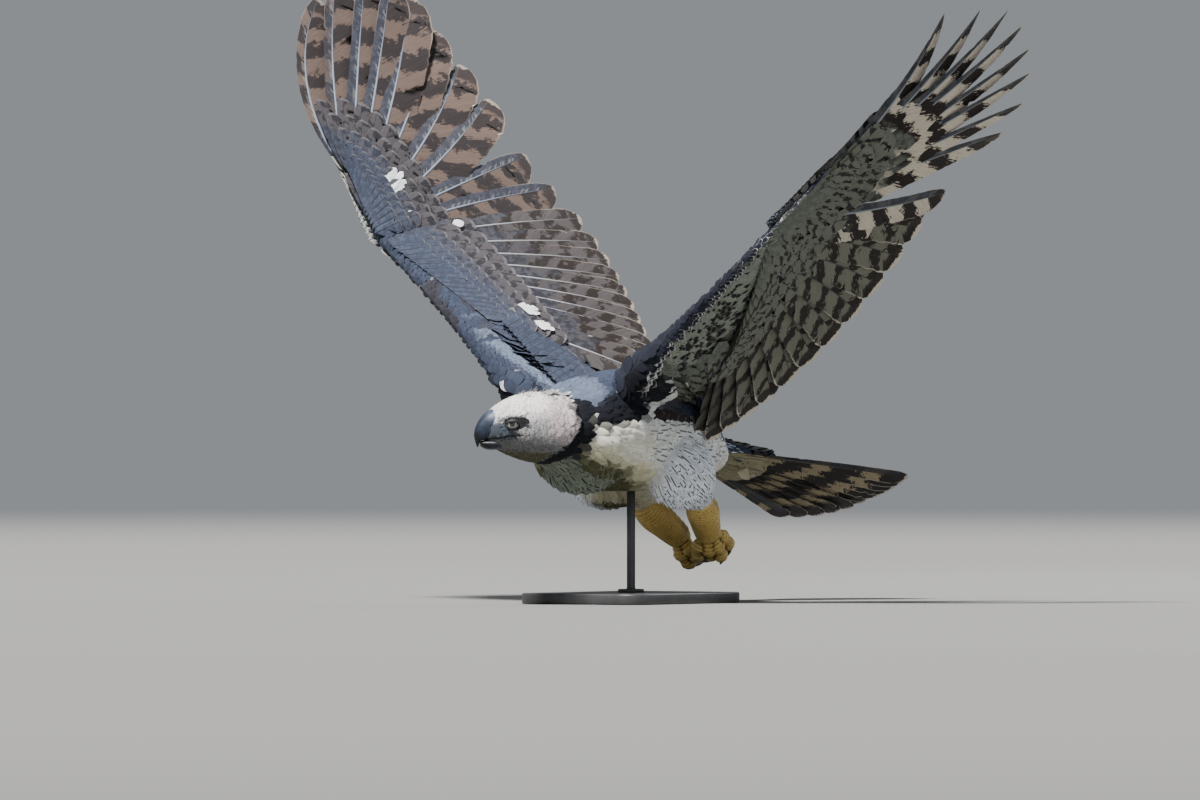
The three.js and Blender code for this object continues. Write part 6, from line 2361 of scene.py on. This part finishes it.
QUILL: Colour = (0.20, 0.235, 0.30)
BROWN: Colour = (0.016, 0.012, 0.011)
RIM: Colour = (0.34, 0.29, 0.24)
VANE_FINISHES = (
    VaneFinish(
        "primary_vanes",
        VaneFace((0.030, 0.032, 0.045), (0.060, 0.061, 0.074), (0.150, 0.108, 0.090), (0.026, 0.021, 0.022),
                 RIM, QUILL, bars=5.6, duty=0.54, start=0.12, broken=0.30, end=0.07, lead_dark=1.0,
                 fleck=0.16),
        # Under face: its grey-green ground is darkened as painted shade; the bars, pale patches and tips are
        # its own colour.
        VaneFace((0.105, 0.115, 0.100), (0.16, 0.17, 0.145), (0.66, 0.59, 0.48), BROWN, (0.62, 0.55, 0.45),
                 (0.26, 0.28, 0.31), bars=5.4, duty=0.50, start=0.24, broken=0.22, wander=0.35, end=0.09,
                 lead_dark=0.95, lead_from=-0.5, lead=(0.036, 0.040, 0.050)),
    ),
    VaneFinish(
        "secondary_vanes",
        VaneFace((0.027, 0.027, 0.035), (0.070, 0.070, 0.084), (0.078, 0.069, 0.070), BROWN, RIM,
                 (0.36, 0.37, 0.40), bars=7.0, duty=0.48, start=0.5, broken=0.40, end=0.05, mottle=0.8),
        # Under face: its grey-green ground and pale bars are darkened as painted shade; the tips are its own
        # colour.
        VaneFace((0.080, 0.090, 0.075), (0.13, 0.14, 0.115), (0.19, 0.19, 0.15), (0.018, 0.014, 0.012),
                 (0.80, 0.72, 0.60), (0.085, 0.09, 0.09), bars=6.0, duty=0.42, start=0.16, broken=0.36,
                 end=0.09, rim=0.028, inner_shade=0.7),
    ),
    VaneFinish(
        "coverts_over_vanes",
        VaneFace((0.034, 0.038, 0.056), (0.068, 0.071, 0.094), (0.080, 0.073, 0.080), (0.020, 0.019, 0.023),
                 (0.14, 0.13, 0.135), (0.034, 0.038, 0.052), bars=3.0, duty=0.3, start=0.6, broken=0.42,
                 end=0.0, rim=0.035, inner_shade=0.85, inner_tone=(0.036, 0.046, 0.074)),
        VaneFace((0.10, 0.10, 0.10), (0.16, 0.16, 0.16), (0.2, 0.2, 0.2), BROWN, (0.2, 0.2, 0.2), QUILL),
        roughness=0.7,
    ),
    VaneFinish(
        "coverts_under_vanes",
        VaneFace((0.3, 0.3, 0.27), (0.4, 0.4, 0.35), (0.4, 0.4, 0.36), BROWN, (0.5, 0.5, 0.45), QUILL),
        # Under face: its grey-green ground and pale bars are darkened as painted shade.
        VaneFace((0.115, 0.128, 0.108), (0.17, 0.185, 0.155), (0.17, 0.18, 0.15), (0.026, 0.024, 0.022),
                 (0.26, 0.27, 0.23), (0.10, 0.108, 0.105), bars=3.8, duty=0.36, start=0.2, broken=0.40,
                 end=0.0, rim=0.0),
        roughness=0.7,
    ),
    VaneFinish(
        "tail_vanes",
        VaneFace((0.020, 0.022, 0.030), (0.05, 0.05, 0.06), (0.13, 0.13, 0.14), (0.012, 0.012, 0.015),
                 RIM, QUILL, bars=4.2, duty=0.58, start=0.16, stagger=0.0, broken=0.3, wander=0.3, end=0.05,
                 mottle=0.8),
        VaneFace((0.27, 0.245, 0.155), (0.32, 0.29, 0.19), (0.36, 0.295, 0.18), (0.011, 0.009, 0.009),
                 (0.6, 0.56, 0.48), (0.09, 0.08, 0.065), bars=3.7, duty=0.62, start=0.1, stagger=0.0,
                 broken=0.20, wander=0.25, end=0.08, rim=0.016, lead_dark=0.9, lead_from=0.80,
                 lead=(0.022, 0.024, 0.034)),
    ),
    VaneFinish(
        "undertail_vanes",
        VaneFace((0.5, 0.46, 0.35), (0.6, 0.56, 0.45), (0.6, 0.56, 0.45), BROWN, (0.6, 0.56, 0.48),
                 (0.5, 0.46, 0.38)),
        VaneFace((0.32, 0.30, 0.19), (0.40, 0.37, 0.25), (0.38, 0.35, 0.24), BROWN, (0.44, 0.42, 0.31),
                 (0.28, 0.26, 0.17), start=2.0, end=0.0, rim=0.0),
        roughness=0.8,
    ),
    VaneFinish(
        "crest_vanes",
        VaneFace((0.26, 0.24, 0.245), (0.42, 0.40, 0.40), (0.5, 0.48, 0.47), BROWN, (0.66, 0.64, 0.63),
                 (0.2, 0.19, 0.19), start=2.0, end=0.0, rim=0.10),
        VaneFace((0.30, 0.28, 0.28), (0.4, 0.38, 0.38), (0.5, 0.48, 0.47), BROWN, (0.6, 0.58, 0.57),
                 (0.2, 0.19, 0.19), start=2.0, end=0.0, rim=0.10),
        roughness=0.8,
    ),
    VaneFinish(
        "tuft_vanes",
        VaneFace((0.74, 0.76, 0.79), (0.84, 0.86, 0.88), (0.8, 0.8, 0.8), BROWN, (0.88, 0.89, 0.90),
                 (0.5, 0.52, 0.55), start=2.0, end=0.0, rim=0.10),
        VaneFace((0.6, 0.6, 0.6), (0.7, 0.7, 0.7), (0.7, 0.7, 0.7), BROWN, (0.7, 0.7, 0.7),
                 (0.5, 0.5, 0.5), start=2.0, end=0.0, rim=0.10),
        roughness=0.8,
    ),
)


@dataclass(frozen=True)
class Crest:
    """The long feathers over the nape and the bristles that stand on the crown."""

    skull: Skull
    rows: int = 3
    per_row: int = 5
    length: float = 64.0
    bristles: int = 30

    def build(self, finish: Material) -> None:
        """Builds them as one piece."""
        rng = np.random.default_rng(SEED + 40)
        settle(vane_piece("crest_feathers", self.long_feathers(rng) + self.crown(rng), finish), "head")

    def long_feathers(self, rng: Rng) -> list[Shape]:
        """Rows of feathers laid back over the nape."""
        skull = self.skull
        made = []
        for row in range(self.rows):
            for i in range(self.per_row + row % 2):
                share = 2 * (i + 0.5) / (self.per_row + row % 2) - 1
                root = skull.at(-2 - 13 * row, share * 32, 52 - 3 * row - 13 * share * share)
                rise_by = 0.30 - 0.08 * row + 0.05 * float(rng.standard_normal())
                way = unit(skull.way(-1, share * 0.15 + 0.1 * float(rng.standard_normal()), rise_by))
                up = skull.way(0, share * 0.55, 1)
                up = unit(up - way * (up @ way))
                length = self.length * (1 - 0.2 * share * share) * float(rng.uniform(0.72, 1.0))
                vane = Vane(
                    width=17, lead=0.5, lap=1, pitch=17, fan=0, round_from=0.66,
                    tilt=float(rng.uniform(-8, 8)),
                    rows=18, cols=(2, 2), shaft=0.5, thick=0.5, curl=0.25, ragged=0.08,
                )
                made.append(vane.grow(Quill(root, way, up, length, 9, 0), rng))
        return made

    def crown(self, rng: Rng) -> list[Shape]:
        """Thin bristles over the forehead and crown."""
        skull = self.skull
        made = []
        for _ in range(self.bristles):
            f, left = float(rng.uniform(-28, 26)), float(rng.uniform(-26, 26))
            top = float(spline(skull.f, skull.top, f)[0]) - 0.011 * left * left
            way = unit(skull.way(float(rng.uniform(-1.1, -0.5)), float(rng.uniform(-0.3, 0.3)), 0.55))
            up = unit(np.cross(way, skull.way(0, 1, 0)))
            vane = Vane(
                width=2.4, lead=0.5, lap=1, pitch=2.4, fan=0, round_from=0.3, tilt=0, rows=8, cols=(1, 1),
                shaft=0.25, thick=0.3, curl=0.1,
            )
            quill = Quill(skull.at(f, left, top - 3), way, up, float(rng.uniform(12, 19)), 10, 0)
            made.append(vane.grow(quill, rng))
        return made


def capped(values: Array, sides: int) -> Array:
    """One value for each ring of a tube, spread to its points and to the middles of its two ends."""
    return np.concatenate([np.repeat(values, sides), values[[0, -1]]])


class Face3D:
    """The bill, the eyes and the lids."""

    UPPER = (
        ((56, 38.5), (56, -10), 23.5), ((72, 31.5), (69, -13), 19.3), ((84, 21), (78, -13.5), 14.5),
        ((92, 9), (84, -14), 10.5), ((96, -3), (87, -16), 7), ((95.5, -14), (89, -19), 4),
        ((93, -24), (91, -25), 1.2),
    )
    RIDGE = 0.9
    UPPER_SIDES = 48
    LOWER_SIDES = 36
    LOWER_SHADE = 0.35
    CERE: Colour = (0.070, 0.095, 0.145)
    HORN: Colour = (0.026, 0.037, 0.062)
    TIP: Colour = (0.006, 0.007, 0.011)
    NOSTRIL_AHEAD = 71
    NOSTRIL_UP = 5
    NOSTRIL_LONG = 6.0
    NOSTRIL_DEPTH = 3.2
    EYE_SIDES = 48
    CORNEA = 0.9
    LID_RADIUS = 11.9
    LID_OPENING = 47
    LID_ABOVE = 0.36
    LID_BELOW = 0.72
    LOWER = (
        ((54, -12), (55, -31), 20.5), ((68, -13.5), (67, -31), 16.2), ((78, -14), (77, -29.5), 11.8),
        ((86, -15.5), (85, -25), 6.5),
    )

    def __init__(self, skull: Skull) -> None:
        """Takes the skull's frame."""
        self.skull = skull

    def bill(self, stations: Any, count: int, sides: int) -> tuple[Array, Array, Array]:
        """Rings of a bill along its stations.

        Args:
            stations: top, low and half width in the head's frame.
            count: how many rings.
            sides: points in each ring.

        Returns:
            The rings, the station of each ring and the turn of each point.
        """
        knots = np.arange(len(stations))
        x = np.linspace(0, knots[-1], count)
        top = spline(knots, [s[0] for s in stations], x)
        low = spline(knots, [s[1] for s in stations], x)
        half = spline(knots, [s[2] for s in stations], x)
        zero = np.zeros(count)
        a, b = self.skull.at(top[:, 0], zero, top[:, 1]), self.skull.at(low[:, 0], zero, low[:, 1])
        across = unit(self.skull.way(0, 1, 0))
        turn = circle(sides)
        wide = np.sign(np.cos(turn)) * np.abs(np.cos(turn)) ** self.RIDGE
        middle, tall = (a + b) / 2, (a - b) / 2
        rings = middle[:, None] + tall[:, None] * np.sin(turn)[None, :, None]
        rings = rings + across * (wide[None] * half[:, None])[..., None]
        return rings, x, turn

    def build(self) -> None:
        """Builds the pieces."""
        material = SoftFinish(
            "bill_horn", (1.0, 1.0, 1.0), (0.42, 0.44, 0.5), 120, 900, 0.42, tinted=True, specular=0.35
        ).material()
        rings, x, turn = self.bill(self.UPPER, 61, self.UPPER_SIDES)
        upper = tube(self.tomium(self.nostrils(rings), x, turn))
        upper.values["tint"] = self.horn_tint(capped(x, self.UPPER_SIDES), upper.points)
        settle(make_object("bill_upper_horn", upper, material), "horn", "bill_upper")
        rings, x, _ = self.bill(self.LOWER, 31, self.LOWER_SIDES)
        lower = tube(rings)
        along = capped(x, self.LOWER_SIDES) * 2
        lower.values["tint"] = self.horn_tint(along, lower.points) * self.LOWER_SHADE
        settle(make_object("bill_lower_horn", lower, material), "horn", "bill_lower")
        self.eyes()

    def nostril(self, points: Array, out: float, narrow: float) -> tuple[Array, Array]:
        """Where points lie by a nostril's slanting oval.

        Args:
            points: the points.
            out: how far the oval's middle lies to the left.
            narrow: half the oval's width.

        Returns:
            The points' places from its middle, and their distance, 1 at the oval's edge.
        """
        off = points - self.skull.at(self.NOSTRIL_AHEAD, out, self.NOSTRIL_UP)
        tall, wide = (unit(self.skull.way(*way)) for way in ((0.45, 0, 0.9), (0.9, 0, -0.45)))
        return off, np.hypot((off @ tall) / self.NOSTRIL_LONG, (off @ wide) / narrow)

    def nostrils(self, rings: Array) -> Array:
        """The bill's rings with a pit pressed in for each nostril."""
        for side in (1, -1):
            off, size = self.nostril(rings, side * 18.0, 2.2)
            own = np.abs(off @ unit(self.skull.way(0, 1, 0))) < 7
            depth = self.NOSTRIL_DEPTH * (1 - rise(0.55, 1.15, size)) * own
            rings = rings - unit(self.skull.way(0, side, 0)) * depth[..., None]
        return rings

    def tomium(self, rings: Array, x: Array, turn: Array) -> Array:
        """The bill's rings with a low swelling along its cutting edge behind the hook."""
        edge = hill(-0.55, 0.35, np.sin(turn)[None]) * hill(2.6, 0.9, x[:, None])
        return rings - unit(self.skull.way(0, 0, 1)) * (1.4 * edge)[..., None]

    def horn_tint(self, station: Array, points: Array) -> Array:
        """Blue-grey at the cere, darkening to black at the tip, with painted shade in the nostrils and along
        the gap between the upper and lower bill.

        Args:
            station: each point's place along the bill.
            points: the points.

        Returns:
            The colours.
        """
        share = rise(0.9, 1.7, station)[:, None]
        end = rise(2.2, 4.6, station)[:, None]
        tint = np.array(self.CERE) * (1 - share) + np.array(self.HORN) * share
        tint = tint * (1 - end) + np.array(self.TIP) * end
        # Painted shade in the nostril pits.
        for side in (1, -1):
            off, size = self.nostril(points, side * 16.0, 2.4)
            near = (1 - rise(0.5, 0.95, size)) * (np.linalg.norm(off, axis=1) < 12)
            tint = tint * (1 - near)[:, None]
        # Painted shade along the gap between the upper and lower bill.
        local = self.skull.local(points)
        gap = hill(-13.5, 2.0, local[:, 2]) * (local[:, 0] < 86)
        tint = tint * (1 - 0.92 * gap)[:, None]
        return np.column_stack([tint, np.ones(len(tint))])

    def eyes(self) -> None:
        """The eyeballs and the rings of their lids."""
        skull = self.skull
        iris = self.iris_finish()
        bare = SoftFinish("lid_skin", (0.035, 0.036, 0.04), (0.012, 0.012, 0.014), 300, 1400, 0.6).material()
        for side, name in ((1, "left"), (-1, "right")):
            middle, gaze = skull.look(side)
            across = unit(np.cross(gaze, skull.way(0, 0, 1)))
            upward = unit(np.cross(across, gaze))
            polar = np.radians(np.linspace(2, 178, 40))
            turn = circle(self.EYE_SIDES)
            out = np.cos(turn)[:, None] * across + np.sin(turn)[:, None] * upward
            dome = skull.eye_radius + self.CORNEA * hill(0, 0.42, polar)
            rings = middle + dome[:, None, None] * (
                np.cos(polar)[:, None, None] * gaze + np.sin(polar)[:, None, None] * out[None]
            )
            ball = tube(rings)
            angle = np.repeat(np.degrees(polar), self.EYE_SIDES)
            ball.values["angle"] = np.concatenate([angle, [0.0, 180.0]])
            settle(make_object(f"eyeball_{name}", ball, iris), "eye", f"eye_{name}")
            ring = self.lid(middle, gaze, across, upward)
            settle(make_object(f"eyelid_{name}", ring, bare), "head")

    def lid(self, middle: Array, gaze: Array, across: Array, upward: Array) -> Shape:
        """A closed ring of lid round the eye, flatter above, with drawn-out corners.

        Args:
            middle: the eye's middle.
            gaze: the way it looks.
            across: the way to its corner.
            upward: the way up.

        Returns:
            The lid.
        """
        turn = circle(56)
        high = np.where(np.sin(turn) > 0, self.LID_ABOVE, self.LID_BELOW)
        wide = np.cos(turn) * (1 + 0.12 * np.abs(np.cos(turn)) ** 6)
        opening = np.radians(self.LID_OPENING)
        a = wide * opening
        b = np.sin(turn) * high * opening
        size = np.hypot(a, b)
        out = (a[:, None] * across + b[:, None] * upward) / size[:, None]
        spine = np.cos(size)[:, None] * gaze + np.sin(size)[:, None] * out
        side = np.cos(size)[:, None] * out - np.sin(size)[:, None] * gaze
        ring = circle(10)
        thick = 1.5 + 0.7 * np.clip(np.sin(turn), 0, 1)
        thick, over, beside = thick[:, None, None], np.sin(ring)[None, :, None], np.cos(ring)[None, :, None]
        rings = middle + spine[:, None] * (self.LID_RADIUS + 0.9 * thick * over)
        rings = rings + side[:, None] * (thick * 1.3 * (beside + 0.6))
        count, sides = rings.shape[:2]
        i = np.arange(sides)
        j = (i + 1) % sides
        rows = np.arange(count)[:, None] * sides
        after = np.roll(rows, -1, 0)
        quads = np.stack([corner.ravel() for corner in (rows + i, rows + j, after + j, after + i)], 1)
        return Shape(rings.reshape(-1, 3), np.zeros((0, 3), int), quads).outward()

    def iris_finish(self) -> Material:
        """The eye's material: a black pupil, a pale grey-green iris with a dark rim, and dark beyond."""
        g = Graph("eye_ball")
        angle = g.number("angle")
        fibre = g.noise(g.place(2200.0), 1.0, 2.0)
        pale = g.mix(fibre, (0.30, 0.32, 0.24), (0.52, 0.54, 0.42))
        inner = g.mix(g.ease(angle, 25, 31), (0.16, 0.165, 0.13), pale)
        pupil = g.mix(g.ease(angle, 21, 23), (0.004, 0.004, 0.004), inner)
        rim = g.mix(g.ease(angle, 40, 45), pupil, (0.015, 0.014, 0.013))
        return g.surface(rim, 0.08, Coat_Weight=1.0, Coat_Roughness=0.02)


class Feet:
    """The shanks, toes, scutes and claws of both feet."""

    TOE_STEPS = 120
    SHANK_SCUTE = 6.2
    TOE_SCUTE = 5.6
    PALM = (20, 19)

    def __init__(self, limbs: dict[Side, Limb]) -> None:
        """Takes the legs."""
        self.limbs = limbs

    def toe_line(self, leg: Limb, toe: Toe, low: float, high: float, count: int) -> Array:
        """A toe's middle line: it leaves the ball at its heading and curls under.

        Args:
            leg: the leg.
            toe: the toe.
            low: where along it the line begins.
            high: where it ends.
            count: how many points it has.

        Returns:
            The line.
        """
        down, left, fore = leg.foot_axes()
        heading = math.radians(toe.heading)
        out = unit(fore * math.cos(heading) + left * math.sin(heading))
        total = toe.length + toe.claw
        steps = self.TOE_STEPS
        share = np.arange(int(steps * 1.2)) / steps
        bend = np.radians(toe.start + toe.curl * share)
        ways = np.cos(bend)[:, None] * out + np.sin(bend)[:, None] * down
        start = np.array(leg.ball, float) + out * 9
        line = np.concatenate([[start], start + np.cumsum(ways, 0) * total / steps])
        marks = np.linspace(low, high, count) / total * steps
        k = np.clip(marks.astype(int), 0, len(line) - 2)
        t = (marks - k)[:, None]
        return line[k] * (1 - t) + line[k + 1] * t

    @staticmethod
    def ringed(
        line: Array, radius: Array, up: Array, ring_length: float, relief: float, sides: int
    ) -> Shape:
        """A limb whose front is crossed by raised scutes.

        Args:
            line: its middle line.
            radius: one for each station.
            up: which way its front looks.
            ring_length: how long each scute is.
            relief: how proud it stands.
            sides: points round it.

        Returns:
            The limb.
        """
        way = unit(np.gradient(line, axis=0))
        travelled = np.concatenate([[0], np.cumsum(np.linalg.norm(np.diff(line, axis=0), axis=1))])
        phase = travelled / ring_length
        across = unit(np.cross(np.broadcast_to(up, way.shape), way))
        front = unit(np.cross(way, across))
        turn = circle(sides)
        facing = rise(-0.35, 0.25, np.sin(turn))
        scute = np.abs(np.sin(np.pi * phase))[:, None] ** 0.6 * facing[None]
        pads = (0.5 + 0.5 * np.cos(2 * np.pi * phase * 0.45))[:, None] * rise(0.1, 0.9, -np.sin(turn))[None]
        r = radius[:, None] + relief * (scute - 0.5) + 0.7 * relief * pads
        rings = line[:, None] + across[:, None] * (np.cos(turn) * r)[..., None]
        rings = rings + front[:, None] * (np.sin(turn) * r)[..., None]
        return tube(rings)

    def foot(self, leg: Limb) -> list[Shape]:
        """The shank, the ball and the toes as closed limbs that sink into one another."""
        down, left, fore = leg.foot_axes()
        heel, ball = np.array(leg.heel, float), np.array(leg.ball, float)
        marks = np.linspace(-0.3, 0.92, 100)
        radius = spline([-0.3, 0.1, 0.45, 0.85, 1.0], [21, 27.5, 25.5, 22.5, 20], marks)
        line = heel + (ball - heel) * marks[:, None]
        made = [self.ringed(line, radius, fore, self.SHANK_SCUTE, 1.9, 64)]
        polar = np.linspace(-1, 1, 30)
        size = np.sqrt(np.maximum(0.01, 1 - polar**2))
        axes = [np.tile(a, (30, 1)) for a in (left, fore)]
        wide, deep = self.PALM
        middle = ball + down * (wide * polar - 8)[:, None]
        made.append(tube(ovals(middle, *axes, wide * size, deep * size, deep * size, 40)))
        for toe in leg.toes:
            g = toe.girth
            line = self.toe_line(leg, toe, -2, toe.length + 2, 80)
            pads = [g * 1.05, g * 0.82, g * 1.12, g * 0.80, g * 1.06, g * 0.72]
            radius = spline(range(6), pads, np.linspace(0, 5, 80))
            heading = math.radians(toe.heading)
            out = fore * math.cos(heading) + left * math.sin(heading)
            way = unit(np.gradient(line, axis=0))
            up = np.outer(way @ down, out) - np.outer(way @ out, down)
            made.append(self.ringed(line, radius, up, self.TOE_SCUTE, 2.4, 44))
        return made

    def claw(self, leg: Limb, toe: Toe) -> Shape:
        """A claw: a smooth hook that tapers to a point, deeper than wide.

        Args:
            leg: the leg.
            toe: its toe.

        Returns:
            The claw.
        """
        line = self.toe_line(leg, toe, toe.length - 7, toe.length + toe.claw - 1, 40)
        thick = toe.claw * 0.17
        taper = [thick * 0.85, thick, thick * 0.86, thick * 0.62, thick * 0.34, 0.4]
        radius = spline(range(6), taper, np.linspace(0, 5, 40))
        way = unit(np.gradient(line, axis=0))
        bend = unit(line[0] + line[-1] - 2 * line[20])
        across = unit(np.cross(np.tile(bend, (40, 1)), way))
        upward = unit(np.cross(way, across))
        return tube(ovals(line, across, upward, radius * 0.82, radius, radius, 28))

    def build(self) -> None:
        """Builds both feet and their claws."""
        scales = self.scale_finish()
        horn = SoftFinish(
            "claw_horn", (0.045, 0.045, 0.05), (0.012, 0.012, 0.014), 180, 900, 0.3, coat=0.3
        ).material()
        for side, leg in self.limbs.items():
            flesh = joined(side.own(s) for s in self.foot(leg))
            made = melted(flesh, f"leg_skin_{side.value}", 1.3, 0.4, 2)
            made.data.polygons.foreach_set("use_smooth", np.ones(len(made.data.polygons), bool))
            # The depth of each crease, which the leg's finish turns into painted shade, and the height of
            # each ridge, which it turns into a painted highlight.
            add_value(made.data, "relief", relief_of(made.data, 16))
            made.data.materials.clear()
            made.data.materials.append(scales)
            settle(made, "skin", f"tarsus_{side.value}", f"foot_{side.value}")
            claws = joined(side.own(self.claw(leg, toe)) for toe in leg.toes)
            names = [f"talon_{side.value}_{toe.name}" for toe in leg.toes]
            settle(make_object(f"claws_{side.value}", claws, horn), "horn", *names)

    @staticmethod
    def scale_finish() -> Material:
        """Yellow skin of small scales with dull seams, a painted highlight on its ridges and painted shade
        in its creases.
        """
        g = Graph("leg_scales")
        inputs = {"Vector": g.place(), "Scale": 330.0}
        cells = g.node("ShaderNodeTexVoronoi", inputs, feature="DISTANCE_TO_EDGE")
        seam = g.ease(cells.outputs["Distance"], 0.14, 0.02)
        cloud = g.noise(g.place(45.0), 1.0, 3.0)
        base = g.mix(cloud, (0.46, 0.28, 0.035), (0.84, 0.60, 0.18))
        base = g.mix(g.ease(g.noise(g.place(16.0), 1.0, 2.0), 0.48, 0.66), base, (0.27, 0.21, 0.05))
        relief = g.number("relief")
        # Painted highlight on the ridges.
        base = g.mix(g.times(g.ease(relief, -0.05, -0.5), 0.5), base, (0.95, 0.72, 0.28))
        # Painted shade in the creases.
        base = g.mix(g.times(g.ease(relief, 0.06, 0.6), 0.85), base, (0.085, 0.050, 0.014))
        colour = g.mix(g.times(seam, 0.6), base, (0.14, 0.075, 0.02))
        height = g.minus(1.0, seam)
        return g.surface(colour, 0.48, g.bump(height, 0.6, 0.0006), Specular_IOR_Level=0.4)


@dataclass(frozen=True)
class Stand:
    """The flat base and the rod up to the belly."""

    length: float = 330.0
    width: float = 250.0
    corner: float = 40.0
    thick: float = 18.0
    edge: float = 2.5
    rod_radius: float = 7.0
    flange: tuple[float, float] = (22.0, 6.0)
    sunk: float = 92.0

    def slab(self) -> Shape:
        """The base: a slab with rounded corners and a small rounded edge."""
        turn = circle(96) + np.pi / 96
        x = np.sign(np.cos(turn)) * (self.width / 2 - self.corner)
        y = np.sign(np.sin(turn)) * (self.length / 2 - self.corner) - TRUNK_SHIFT
        e, tall = self.edge, self.thick
        near = e * 0.3
        profile = ((e, 0.0), (near, near), (0.0, e), (0.0, tall - e), (near, tall - near), (e, tall))
        arcs = [(self.corner - inset, high) for inset, high in profile]
        return self.stacked(arcs, x, y, turn, -TRUNK_HEIGHT)

    def rod(self) -> Shape:
        """The rod with its round foot, up into the belly's feathers."""
        low = -TRUNK_HEIGHT + self.thick
        r, (wide, tall) = self.rod_radius, self.flange
        top = TRUNK_HEIGHT - self.thick - self.sunk
        profile = [
            (wide - 0.8, 0), (wide, 0.8), (wide, tall - 1.6), (wide - 0.5, tall - 0.5), (wide - 1.6, tall),
            (r + 2.5, tall), (r + 0.7, tall + 0.7), (r, tall + 2.5), (r, 90), (r, top),
        ]
        turn = circle(48)
        return self.stacked(profile, 0, -TRUNK_SHIFT, turn, low)

    @staticmethod
    def stacked(profile: Sequence[tuple[float, float]], x: Any, y: Any, turn: Array, low: float) -> Shape:
        """A closed stack of rings.

        Args:
            profile: the radius and the height of each ring.
            x: the middle of the arc that each point lies on, across.
            y: the same along.
            turn: the turn of each point about it.
            low: the height of the profile's zero.

        Returns:
            The stack.
        """
        rings = [
            np.stack([x + r * np.cos(turn), y + r * np.sin(turn), np.full(len(turn), low + high)], 1)
            for r, high in profile
        ]
        return tube(np.array(rings))

    def build(self) -> None:
        """Builds the stand's two pieces."""
        paint = SoftFinish(
            "stand_paint", (0.055, 0.055, 0.058), (0.035, 0.035, 0.038), 30, 700, 0.45, depth=0.0001
        )
        steel = SoftFinish(
            "stand_steel", (0.07, 0.07, 0.075), (0.05, 0.05, 0.055), 60, 900, 0.35, depth=0.0001
        )
        settle(make_object("stand_base_slab", self.slab(), paint.material()), "stand", "stand_base")
        settle(make_object("stand_rod_turned", self.rod(), steel.material()), "stand", "stand_rod")


@dataclass(frozen=True)
class Studio:
    """The floor, the light and the camera."""

    azimuth: float = 35.0
    pixels_per_metre: float = 600.0
    trunk_pixel: tuple[float, float] = (643.0, 432.0)
    frame: tuple[int, int] = (1200, 800)
    sensor: float = 36.0
    distance: float = 20.0
    air: Colour = (0.27, 0.285, 0.30)

    def build(self) -> None:
        """Builds them all."""
        self.floor()
        self.lights()
        self.camera()

    def floor(self) -> None:
        """A wide pale floor that fades into the air's colour."""
        mesh = bpy.data.meshes.new("floor")
        r = 60.0
        mesh.from_pydata([(-r, -r, 0), (r, -r, 0), (r, r, 0), (-r, r, 0)], [], [(0, 1, 2, 3)])
        g = Graph("floor_pale")
        place = g.place()
        size = g.node("ShaderNodeVectorMath", {0: place}, operation="LENGTH").outputs["Value"]
        near = g.node("ShaderNodeBsdfDiffuse", {"Color": (0.21, 0.21, 0.205, 1.0)})
        far = g.node("ShaderNodeEmission", {"Color": (*self.air, 1.0), "Strength": 1.0})
        inputs = {0: g.ease(size, 7.0, 18.0), 1: near.outputs[0], 2: far.outputs[0]}
        blend = g.node("ShaderNodeMixShader", inputs)
        g.node("ShaderNodeOutputMaterial", {"Surface": blend.outputs[0]})
        mesh.materials.append(g.material)
        made = bpy.data.objects.new("floor", mesh)
        bpy.context.scene.collection.objects.link(made)

    def lights(self) -> None:
        """A soft key from above the camera's left, a weak fill, a light from behind, and even air."""
        world = bpy.data.worlds.new("air")
        world.use_nodes = True
        shade = world.node_tree.nodes["Background"]
        shade.inputs[0].default_value = (*self.air, 1.0)
        shade.inputs[1].default_value = 1.0
        bpy.context.scene.world = world
        for name, kind, place, size, power, colour in (
            ("key", "SUN", (0.1, -1.9, 4.2), math.radians(9), 10.0, (1.0, 0.98, 0.95)),
            ("fill", "AREA", (3.4, -1.8, 1.4), 2.6, 10.0, (0.92, 0.96, 1.0)),
            ("back", "AREA", (0.6, 3.4, 2.8), 2.0, 60.0, (0.9, 0.95, 1.0)),
        ):
            lamp = bpy.data.lights.new(name, kind)
            lamp.energy, lamp.color = power, colour
            if kind == "SUN":
                lamp.angle = size
            else:
                lamp.shape, lamp.size = "DISK", size
            made = bpy.data.objects.new(name, lamp)
            made.location = place
            aim = Vector((0.0, 0.05, 0.45)) - Vector(place)
            made.rotation_euler = aim.to_track_quat("-Z", "Y").to_euler()
            bpy.context.scene.collection.objects.link(made)

    def camera(self) -> None:
        """The camera at the photograph's viewing angle, level, with the trunk at its pixel of the frame."""
        turn = math.radians(self.azimuth)
        right = np.array([math.cos(turn), math.sin(turn), 0])
        back = np.array([math.sin(turn), -math.cos(turn), 0])
        off_x, off_z = (
            (at - whole / 2) / self.pixels_per_metre for at, whole in zip(self.trunk_pixel, self.frame)
        )
        aim = BIRD_AT - right * off_x + np.array([0, 0, off_z])
        lens = bpy.data.cameras.new("camera")
        lens.sensor_width = self.sensor
        lens.lens = self.pixels_per_metre * self.distance * self.sensor / self.frame[0]
        lens.clip_end = 200.0
        made = bpy.data.objects.new("camera", lens)
        made.location = aim + back * self.distance
        made.rotation_euler = Vector(-back).to_track_quat("-Z", "Y").to_euler()
        bpy.context.scene.collection.objects.link(made)
        bpy.context.scene.camera = made


def main() -> None:
    """Builds the eagle, its stand, the floor, the lights and the camera."""
    logging.basicConfig(level=logging.INFO, format="%(name)s %(message)s")
    body = Body()
    Studio().build()
    Plumage(body).build()
    Face3D(body.skull).build()
    Feet(body.limbs).build()
    Stand().build()


if __name__ == "__main__":
    main()
